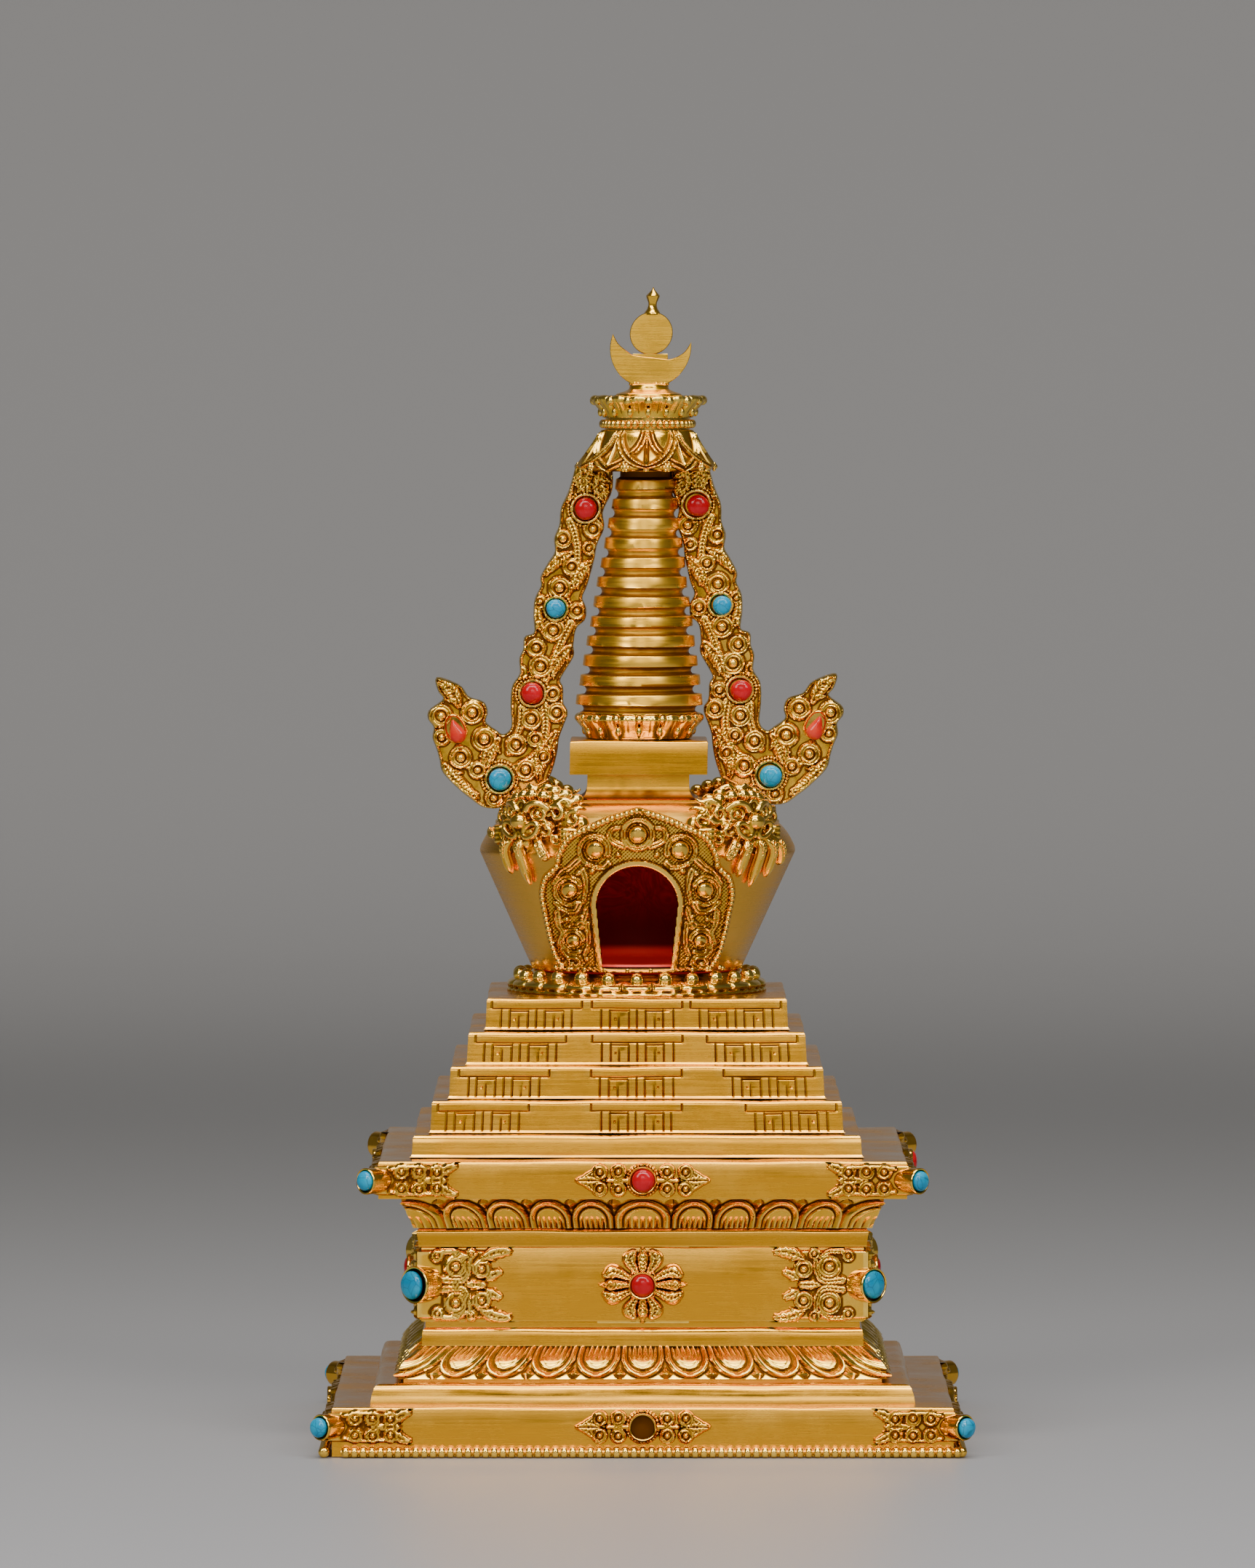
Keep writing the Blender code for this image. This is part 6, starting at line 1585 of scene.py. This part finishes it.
def streamerStrokes(side, face):
    # everything drawn on one face of a streamer
    made = []
    hand = -side

    def at(x, z):
        p = streamerLine([(x, z)], side)[0]
        return p[0], p[1]

    for x0, z0, x1, z1, w in streamer["leaves"]:
        a, b = at(x0, z0), at(x1, z1)
        made += leaf(a[0], a[1], b[0], b[1], 1.35 * w, 0.10 * side, 1.05)
    for x, z, r in streamer["bezels"]:
        cx, cz = at(x, z)
        if face > 0:
            made += bezelStrokes(cx, cz, r)
            made += grainRing(cx, cz, r + 0.62)
        else:
            made += spiral(cx, cz, r * 0.9, 90, hand, 0.5, 1.5, 0.24)
    for points, w in streamer["stems"]:
        line = [at(*p) for p in points]
        if len(line) > 2:
            made += stem(line, 1.7 * w, 1.4 * w, 0.75, 0.45)
        else:
            made.append(stroke(line, 1.5 * w, 0.7, 0.4))
    for edge in (streamer["outer"], streamer["inner"]):
        line = smoothPath(streamerLine(edge, side), 8 * len(edge))
        made.append(stroke(line, 0.34, 0.42))
        for p in line[::3]:
            made.append(dot(p[0], p[1], 0.30, 0.62))
    return made


def streamerScrolls(side):
    # places and radii of a streamer's scrolls, their turn mirrored by its side
    made = []
    for x, z, r, turn in streamer["scrolls"]:
        p = streamerLine([(x, z)], side)[0]
        made.append((p[0], p[1], 1.18 * r, turn * side))
    return made


def buildStreamer(side):
    # a sheet inside the outline, with both faces drawn
    s = streamer
    outline = np.concatenate([smoothPath(streamerLine(s["outer"], side), 170),
                              smoothPath(streamerLine(s["inner"], side), 110)[::-1]])
    inside = polygonLevel(outline)

    def level(x, z):
        return inside(x, z)[0] + 0.2

    scrolls = streamerScrolls(side)
    bezels = [(*streamerLine([(x, z)], side)[0], r) for x, z, r in s["bezels"]]
    faces = {face: streamerStrokes(side, face) for face in (1, -1)}

    def surface(face):
        def made(x, z, deep):
            height, cover = drawStrokes(x, z, faces[face], 0.16)
            height, cover = rosettes(x, z, scrolls, height, cover, 0.95)
            if face > 0:  # the stones' settings lie over the scrolls
                for bx, bz, r in bezels:
                    gap = np.hypot(x - bx, z - bz)
                    ring = 1.15 * unit((r + 0.32 - gap) / 0.12) - 0.5 * unit((r - 0.3 - gap) / 0.12)
                    height = np.where(gap < r + 0.3, ring, height)
            ground = s["thick"] * 0.62 * edgeRound(deep, 0.45)
            y = ground + height * unit(deep / 0.3) * (1.0 if face > 0 else 0.7)
            bend = 0.35 * np.sin((z - 120) / 17) - 2.2 * unit((z - 181.5) / 4) ** 2
            return np.stack([x, -face * y + bend * 0.4, z], -1)
        return made

    lo = outline.min(axis=0) - 0.6
    hi = outline.max(axis=0) + 0.6
    xs = np.arange(lo[0], hi[0], s["step"])
    zs = np.arange(lo[1], hi[1], s["step"])
    sheet = cutSheet(xs, zs, level, surface(1), surface(-1))
    x, z = streamerLine([s["drop"]], side)[0]
    a = np.linspace(0, 2 * np.pi, 48, endpoint=False)
    egg = np.stack([1.95 * np.cos(a), np.where(np.sin(a) > 0, 3.35, 1.85) * np.sin(a)], -1)
    turn = math.radians(-side * 20)
    c, q = math.cos(turn), math.sin(turn)
    egg = egg @ np.array([[c, q], [-q, c]])
    around = np.linspace(0, 2 * np.pi, 8, endpoint=False)
    rims = []
    for k in range(len(a)):
        d = egg[k] / np.linalg.norm(egg[k])
        ring = egg[k] + 0.32 * np.cos(around)[:, None] * d
        rims.append(np.stack([x + ring[:, 0], -1.35 - 0.62 * np.sin(around), z - 0.4 + ring[:, 1]], -1))
    rim = donutShell(np.stack(rims))
    flat = ringShell(np.stack([np.stack([x + egg[:, 0] * f, np.full(48, y), z - 0.4 + egg[:, 1] * f], -1)
                               for f, y in ((0.3, -0.2), (1.0, -0.2), (1.0, -1.2), (0.3, -1.2))], axis=1))
    word = "right" if side > 0 else "left"
    piece("streamerCast" + word.capitalize(), [sheet, rim, flat], reliefGold, ["streamer_" + word],
          sharp=55, spread=9, depth=0.14, lean=True)


for side in (-1, 1):
    buildStreamer(side)
print("streamers done")


# Stones: each takes the place and size of its CAD node, a low cabochon slightly out of true

corners = ("front_right", "back_right", "back_left", "front_left")
sides = ("front", "right", "back", "left")


def stoneNames():
    # names of the solids that are stones
    names = ["turquoise_%s_%s" % (row, corner) for row in ("foot", "dado", "top") for corner in corners]
    names += ["coral_top_" + side for side in ("front", "right", "back")]
    names += ["coral_dado_" + side for side in sides]
    for side in ("left", "right"):
        names += [kind + side for kind in ("coral_upper_", "turquoise_upper_", "coral_lower_",
                                           "turquoise_lower_", "coral_drop_")]
    return names


def stoneShell(centre, radius, rise, out, seed, long=1.0, turn=0.0):
    # dome: radius shrinks as cos of a angle, height grows as its sine; waver makes it hand cut
    out = np.array(out, float)
    side = np.array((-out[1], out[0], 0.0))
    a = np.linspace(0, 2 * np.pi, 40, endpoint=False)
    uneven = 1 + waver(a * 6, 0.035, 2 * np.pi * 6, seed)
    rows = []
    for share, height in ((0.05, -0.9), (0.92, -0.9), (1.0, -0.35), (1.0, 0.0), (0.97, 0.22), (0.9, 0.45),
                          (0.78, 0.66), (0.6, 0.83), (0.4, 0.94), (0.2, 0.99), (0.05, 1.0)):
        pinch = 1 - 0.55 * unit(np.sin(a)) * (long > 1)
        across = radius * share * uneven * pinch * np.cos(a)
        up = radius * share * uneven * np.sin(a)
        up = np.where(up > 0, up * long, up)
        c, s = math.cos(turn), math.sin(turn)
        rows.append(np.array(centre) + (across * c - up * s)[:, None] * side
                    + (across * s + up * c)[:, None] * np.array((0, 0, 1.0)) + out * height * rise)
    return ringShell(np.stack(rows, axis=1))


def outwardOf(name):
    # degrees that a stone faces, from the front to the right; the streamers' stones face forward
    for k in range(4):
        if name.endswith(corners[k]):
            return 45 + 90 * k
    if "upper" in name or "lower" in name or "drop" in name:
        return 0
    return 90 * sides.index(name.split("_")[-1])


def buildStones():
    # each stone takes its place and radius from its solid's box
    for number, name in enumerate(stoneNames()):
        lo, hi = (np.array(v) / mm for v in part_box(name))
        middle = (lo + hi) / 2
        degrees = outwardOf(name)
        out = outward(degrees)
        radius = (hi[2] - lo[2]) / 2
        drop = "drop" in name
        base = middle - out * 0.5
        if drop:
            side = 1 if name.endswith("right") else -1
            shell = stoneShell(base - (0, 0, 0.9), 1.62, 1.0, out, number, 1.9, math.radians(-side * 20))
            material = dropCoral
        else:
            if degrees % 90:
                base = middle
            shell = stoneShell(base, radius * 0.985, 0.98, out, number)
            material = turquoise if name.startswith("turquoise") else coral
        piece("stone_" + name, shell, material, [name], sharp=80, spread=1)
    print("stones done")


# Bead wire round the foot: barrel beads on a core, its ends apart at the front left corner

wire = {"pitch": 1.63, "half": 59.95, "r": 1.08, "gapFrom": 3.2}


def buildBeadWire():
    # one bead turned from a profile, repeated along the sides
    w = wire
    h, r = w["half"], w["r"]
    profile = [(0.30, -0.80), (0.72, -0.66), (0.97, -0.36), (1.0, 0.0), (0.97, 0.36), (0.72, 0.66),
               (0.30, 0.80)]
    a = np.linspace(0, 2 * np.pi, 12, endpoint=False)
    ring = np.stack([np.stack([np.full(12, t * w["pitch"] / 1.6), s * r * np.cos(a), s * r * np.sin(a)], -1)
                     for s, t in profile], axis=1)
    template = ringShell(ring)
    count = int(2 * h / w["pitch"])
    spots = (np.arange(count) + 0.5) / count * 2 * h - h
    shells = []
    dice = np.random.default_rng(4)
    for side in range(4):
        keep = spots > -h + w["gapFrom"] if side == 0 else spots > -h - 9
        t = spots[keep]
        centres = turnedBy(np.stack([t, np.full(len(t), -h), np.full(len(t), r)], -1), 90 * side)
        frame3 = turnedBy(np.eye(3), 90 * side)
        size = dice.uniform(0.96, 1.0, (len(t), 1, 1))
        shells.append(scatter(template, centres, frame3[None] * size))
    path = np.array([(-h + w["gapFrom"], -h, r), (0, -h, r), (h - 0.4, -h, r), (h, -h + 0.4, r), (h, 0, r),
                     (h, h - 0.4, r), (h - 0.4, h, r), (0, h, r), (-h + 0.4, h, r), (-h, h - 0.4, r),
                     (-h, 0, r), (-h, -h + 0.6, r)])
    shells.append(tube(path, 0.45))
    piece("beadWireRow", shells, reliefGold, ["bead_rim"], sharp=70, spread=3, depth=0.25)
    print("bead wire done")


buildBeadWire()
buildStones()


# Plaques and settings on the pedestal

plaque = {"step": [0.175, 0.3, 0.3, 0.3], "slabReach": 15.3, "slabHalf": 3.05, "dadoReach": 17.7,
          "dadoHalf": 6.7}


def armDrawing(rows):
    # leaves and stems, then scrolls, of one arm: s is the way from the body's corner
    made, rolls = [], []
    if rows == 2:
        for flip in (1, -1):
            rolls += [(4.4, flip * 1.6, 1.5, flip), (7.75, flip * 1.6, 1.55, -flip),
                      (11.1, flip * 1.55, 1.5, flip)]
            made += leaf(11.6, flip * 1.0, 15.1, flip * 2.75, 0.95, 0.1 * flip, 0.85, 2)
            made += stem([(2.4, flip * 2.2), (6.0, flip * 2.6), (9.4, flip * 2.5), (12.4, flip * 2.4)],
                         0.4, 0.35, 0.7, 0.0)
        made += leaf(8.6, 0.0, 13.2, 0.0, 0.8, 0.0, 0.75, 2)
    else:
        for flip in (1, -1):
            rolls += [(6.6, flip * 3.4, 2.3, flip), (11.5, flip * 3.0, 1.85, -flip),
                      (3.1, flip * 5.5, 1.2, flip), (9.5, flip * 5.9, 1.1, -flip)]
            made += leaf(11.6, flip * 5.0, 17.3, flip * 6.3, 1.2, 0.08 * flip, 0.95, 3)
            made += leaf(12.6, flip * 1.0, 15.4, flip * 2.4, 0.9, 0.1 * flip, 0.8, 2)
            made += stem([(4.2, flip * 0.9), (7.6, flip * 0.7), (9.0, flip * 2.4), (9.2, flip * 4.6)],
                         0.8, 0.5, 0.85, 0.4)
            made += stem([(4.2, flip * 6.3), (6.8, flip * 6.2), (8.4, flip * 5.2)], 0.6, 0.4, 0.75, 0.4)
        made += leaf(8.6, 0.0, 12.6, 0.0, 0.9, 0.0, 0.9, 2)
    return made, rolls


def centreDrawing(flower):
    # strokes and scrolls of a middle plaque, or of a dado flower
    made, rolls = [], []
    if flower:
        for q in range(4):
            a = math.radians(90 * q)
            c, d = math.cos(a), math.sin(a)
            far = (8.1, 6.95)[q % 2]

            def spot(along, across):
                return c * along - d * across, d * along + c * across

            for hand in (1, -1):  # two puffed leaves turned back on themselves beside a pointed one
                line = smoothPath([spot(2.4, hand * 1.2), spot(0.66 * far, hand * 2.5),
                                   spot(0.86 * far, hand * 1.8)], 14)
                half = np.interp(np.linspace(0, 1, 14), [0, 0.6, 1], [0.6, 1.35, 0.7])
                made.append(stroke(line, half, 1.15, 0.35))
            line = np.array([spot(2.6, 0), spot(0.45 * far, 0), spot(0.75 * far, 0), spot(far, 0)])
            made.append(stroke(line, [0.5, 0.75, 1.15, 0.2], 1.45, 0.0))
    else:
        for side in (1, -1):
            for flip in (1, -1):
                rolls += [(side * 4.6, flip * 1.65, 1.5, side * flip),
                          (side * 8.1, flip * 1.6, 1.5, -side * flip)]
                made += leaf(side * 9.2, flip * 1.9, side * 12.0, flip * 0.2, 0.7,
                             -0.12 * side * flip, 0.75, 0)
            made += leaf(side * 8.4, 0, side * 12.7, 0, 1.0, 0.0, 0.85, 0)
            made += stem([(side * 2.8, 0), (side * 4.6, 0), (side * 6.6, 0)], 0.5, 0.4, 0.6, 0.0)
    made += grainRing(0, 0, 2.95, 0.28, 0.5, 0.6)
    return made, rolls


def raisedSheet(drawing, s0, s1, z0, z1, step, base):
    # sheet in its own plane: s across, z up, y the rise above the carrier
    s = np.arange(s0, s1 + step, step)
    z = np.linspace(z0, z1, int((z1 - z0) / step) + 1)
    gs, gz = np.meshgrid(s, z, indexing="ij")
    height, cover = drawStrokes(gs, gz, drawing[0], 0.12)
    height, cover = rosettes(gs, gz, drawing[1], height, cover, 0.85)
    return gs, gz, reliefBase(height, cover, 0.22, base, 0.35)


def setting(out, centre, r, root, deep, seed):
    # stone setting: a tube wall with a worn lip, its cup open to the depth given
    rows = [(0.2, -root), (r * 0.94, -root), (r, -root * 0.5), (r + 0.03, -0.5),
            (r + 0.05, -0.12), (r - 0.1, 0.06), (r - 0.3, 0.02), (r - 0.42, -0.2),
            (r - 0.45, -deep), (0.2, -deep)]
    a = np.linspace(0, 2 * np.pi, 44, endpoint=False)
    side = np.array((-out[1], out[0], 0.0))
    uneven = 1 + waver(a * 5, 0.03, 2 * np.pi * 5, seed)
    made = ringShell(np.stack([np.array(centre) + np.outer(radius * uneven * np.cos(a), side)
                               + np.outer(radius * uneven * np.sin(a), (0, 0, 1.0))
                               + np.array(out) * (height + 0.05 * math.sin(seed))
                               for radius, height in rows], axis=1))
    lip = np.array([0, 0, 0, 0, 0, 0, 0, 0.6, 1.0, 1.0]) * (1.0 if deep > 1.0 else 0.3)
    made["h"] = np.broadcast_to(lip, (44, len(rows))).ravel().copy()
    return made


def carried(gs, gz, height, half, middleZ, side):
    # a flat sheet set on a side of the square body
    return turnedBy(np.stack([gs, -(half + height), middleZ + gz], -1), 90 * side)


def inwards(side, depth):
    # the way from a side towards the middle, by a depth
    return turnedBy(np.array([[0.0, depth, 0.0]]), 90 * side)[0]


def cornerSheet(half, middleZ, reach, halfHigh, rows, side, base):
    # both arms of a corner plaque as one sheet bent round the corner, at the right end of a side
    step = plaque["step"][side]
    strokes, rolls = armDrawing(rows)
    s = np.concatenate([-np.arange(reach + 0.6, 0.0, -step), [0.0], np.arange(step, reach + 0.7, step)])
    z = np.linspace(-halfHigh - 0.4, halfHigh + 0.4, int((2 * halfHigh + 0.8) / step) + 1)
    gs, gz = np.meshgrid(s, z, indexing="ij")
    height, cover = drawStrokes(np.abs(gs), gz, strokes, 0.12)
    height, cover = rosettes(np.abs(gs), gz, rolls, height, cover, 0.85)
    ground = np.minimum(halfHigh - 0.35 - np.abs(gz),
                        (11.5 if rows == 2 else 10.0) + 0.5 * np.abs(gz) - np.abs(gs))
    ground = np.maximum(cover, np.minimum(ground, halfHigh - np.abs(gz)))
    rise = reliefBase(height, ground, 0.22, base, 0.35)
    out = half + rise
    # s under 0 lies on this side, s above 0 on the next one round
    x = np.where(gs < 0, half + gs, out)
    y = np.where(gs < 0, -out, -(half - gs))
    near = np.abs(gs) < 1e-6
    x = np.where(near, out, x)
    y = np.where(near, -out, y)
    points = np.stack([x, y, middleZ + gz], -1)
    return turnedBy(points, 90 * side)


def closedCorner(points, side):
    # rim carried back into the body along the corner's diagonal
    push = turnedBy(np.array([[-2.4, 2.4, 0.0]]), 90 * side)[0]
    return backedShell(points, push)


def buildPlaques():
    # plaques and settings of the two slabs, then those of the dado
    slabs = []
    for half, z in ((58.55, 5.8), (49.9, 51.65)):
        for side in range(4):
            bent = cornerSheet(half, z, plaque["slabReach"], plaque["slabHalf"], 2, side, 0.6)
            slabs.append(closedCorner(bent, side))
            gs, gz, rise = raisedSheet(centreDrawing(False), -13.0, 13.0, -3.4, 3.4,
                                       plaque["step"][side], 0.6)
            slabs.append(backedShell(carried(gs, gz, rise, half, z, side), inwards(side, 2.0)))
            out = outward(90 * side)
            lost = half > 55 or side == 3  # the cups whose stones are gone are deeper
            slabs.append(setting(out, out * (half + 2.0) + (0, 0, z), 2.62, 2.6,
                                 1.6 if lost else 0.9, side + int(z)))
            out = outward(45 + 90 * side)
            centre = out * half * math.sqrt(2) + out * (3.0 if half > 55 else 3.4)
            slabs.append(setting(out, centre + (0, 0, z), 2.45, 4.9, 0.9, 9 + side + int(z)))
    piece("slabPlaques", slabs, plaqueGold, ["pedestal"], sharp=60, spread=8, depth=0.13)
    for side in range(4):
        z, half = 31.35, 41.95
        points = cornerSheet(half, z, plaque["dadoReach"], plaque["dadoHalf"], 3, side, 0.7)
        out = outward(45 + 90 * side)
        # the front left stone has slipped to one side of its cup
        slip = np.array((-out[1], out[0], 0.0)) * (0.8 if side == 3 else 0.0)
        hold = setting(out, out * (half * math.sqrt(2) + 2.7) + slip + (0, 0, z), 3.35 + 0.2 * (side == 3),
                       4.2, 1.7 if side == 3 else 0.9, side)
        piece("dadoPlaque_" + corners[side], [closedCorner(points, side), hold], reliefGold,
              ["dado_plaque_" + corners[side]], sharp=60, spread=8, depth=0.14)
        gs, gz, rise = raisedSheet(centreDrawing(True), -8.6, 8.6, -7.4, 7.4,
                                   plaque["step"][side], 0.9)
        out = outward(90 * side)
        hold = setting(out, out * (half + 3.3) + (0, 0, z), 2.62, 3.4, 0.9, side)
        piece("dadoFlower_" + sides[side], [backedShell(carried(gs, gz, rise, half, z, side),
              inwards(side, 1.6)), hold], reliefGold, ["dado_flower_" + sides[side]], sharp=60,
              spread=8, depth=0.14)
    print("plaques done")


buildPlaques()


# Stage: floor running up into a wall, its grey painted lighter and darker along the way as painted light
# and shade, soft lights, and the photograph's camera

# painted light and shade: the floor lighter near the front and darker towards the bend, the wall painted
# lighter to make up for the light it lacks
stageSet = {"near": (0.286, 0.286, 0.296), "far": (0.148, 0.147, 0.146), "wall": (0.46, 0.453, 0.447),
            "rough": 0.42}


def buildStage():
    # a strip of floor bent up into a wall by a quarter round, then the same material all over
    run = [(-3.0, 0.0)] + [(y, 0.0) for y in np.linspace(-2.0, 1.6, 10)]
    run += [(1.6 + 1.2 * math.sin(a), 1.2 - 1.2 * math.cos(a)) for a in np.linspace(0.1, math.pi / 2, 16)]
    run += [(2.8, 3.0), (2.8, 6.0)]
    run = np.array(run)
    xs = np.linspace(-5, 5, 9)
    grid = np.stack([np.broadcast_to(xs[:, None], (9, len(run))),
                     np.broadcast_to(run[None, :, 0], (9, len(run))),
                     np.broadcast_to(run[None, :, 1], (9, len(run)))], -1)
    mesh = bpy.data.meshes.new("studioSweep")
    mesh.from_pydata(grid.reshape(-1, 3).tolist(), [], weave(9, len(run)).tolist())
    mesh.shade_smooth()
    made, tree, shader, coord = blankMaterial("studioGrey")
    place = add(tree, "SeparateXYZ", n0=coord)
    # painted light and shade: grey changing from near floor to far floor to wall
    colour = mixed(tree, ranged(tree, place.outputs[1], -0.5, 0.9), (*stageSet["near"], 1.0),
                   (*stageSet["far"], 1.0))
    colour = mixed(tree, ranged(tree, place.outputs[1], 0.9, 2.0), colour, (*stageSet["wall"], 1.0))
    tree.links.new(colour, shader.inputs["Base Color"])
    shader.inputs["Roughness"].default_value = stageSet["rough"]
    shader.inputs["Specular IOR Level"].default_value = 0.5
    mesh.materials.append(made)
    sweep = bpy.data.objects.new("studioSweep", mesh)
    bpy.context.scene.collection.objects.link(sweep)


lights = [  # name, place, size, watts, colour
    ("frontLeft", (-1.1, -1.7, 1.1), (0.6, 0.8), 16.0, (1.0, 0.97, 0.93)),
    ("frontRight", (1.1, -1.7, 1.1), (0.6, 0.8), 13.0, (1.0, 0.97, 0.93)),
    ("overhead", (0.0, -0.2, 1.6), (1.1, 0.8), 23.0, (1.0, 0.98, 0.96)),
    ("highFront", (0.0, -1.3, 1.45), (1.8, 0.35), 34.0, (1.0, 0.97, 0.94)),
    ("lensSide", (0.0, -2.6, 0.75), (0.7, 0.5), 4.0, (1.0, 0.96, 0.92)),
    ("panel", (0.35, -3.1, 0.5), (1.5, 0.7), 2.2, (1.0, 0.97, 0.94)),
]


def buildLights():
    # one area light per row
    for name, place, size, watts, colour in lights:
        data = bpy.data.lights.new(name, "AREA")
        data.shape = "RECTANGLE"
        data.size, data.size_y = size
        data.energy = watts
        data.color = colour
        lamp = bpy.data.objects.new(name, data)
        lamp.location = place
        aim = np.array((0.0, 0.0, 0.10)) - np.array(place)
        pitch = math.atan2(math.hypot(aim[0], aim[1]), -aim[2])
        lamp.rotation_euler = (pitch, 0.0, math.atan2(aim[1], aim[0]) - math.pi / 2)
        bpy.context.scene.collection.objects.link(lamp)
    world = bpy.data.worlds.new("studio")
    world.use_nodes = True
    world.node_tree.nodes["Background"].inputs[0].default_value = (0.55, 0.55, 0.56, 1.0)
    world.node_tree.nodes["Background"].inputs[1].default_value = 0.20
    bpy.context.scene.world = world


camera = {"place": (-0.00287, -2.450, 0.220), "downDegrees": 2.232, "lens": 292.7}


def buildCamera():
    # the photograph's camera
    data = bpy.data.cameras.new("camera")
    data.lens = camera["lens"]
    data.sensor_width = 36.0
    data.clip_start, data.clip_end = 0.05, 60.0
    made = bpy.data.objects.new("camera", data)
    made.location = camera["place"]
    made.rotation_euler = (math.radians(90 - camera["downDegrees"]), 0.0, 0.0)
    bpy.context.scene.collection.objects.link(made)
    bpy.context.scene.camera = made


buildStage()
buildLights()
buildCamera()
print("stage set")
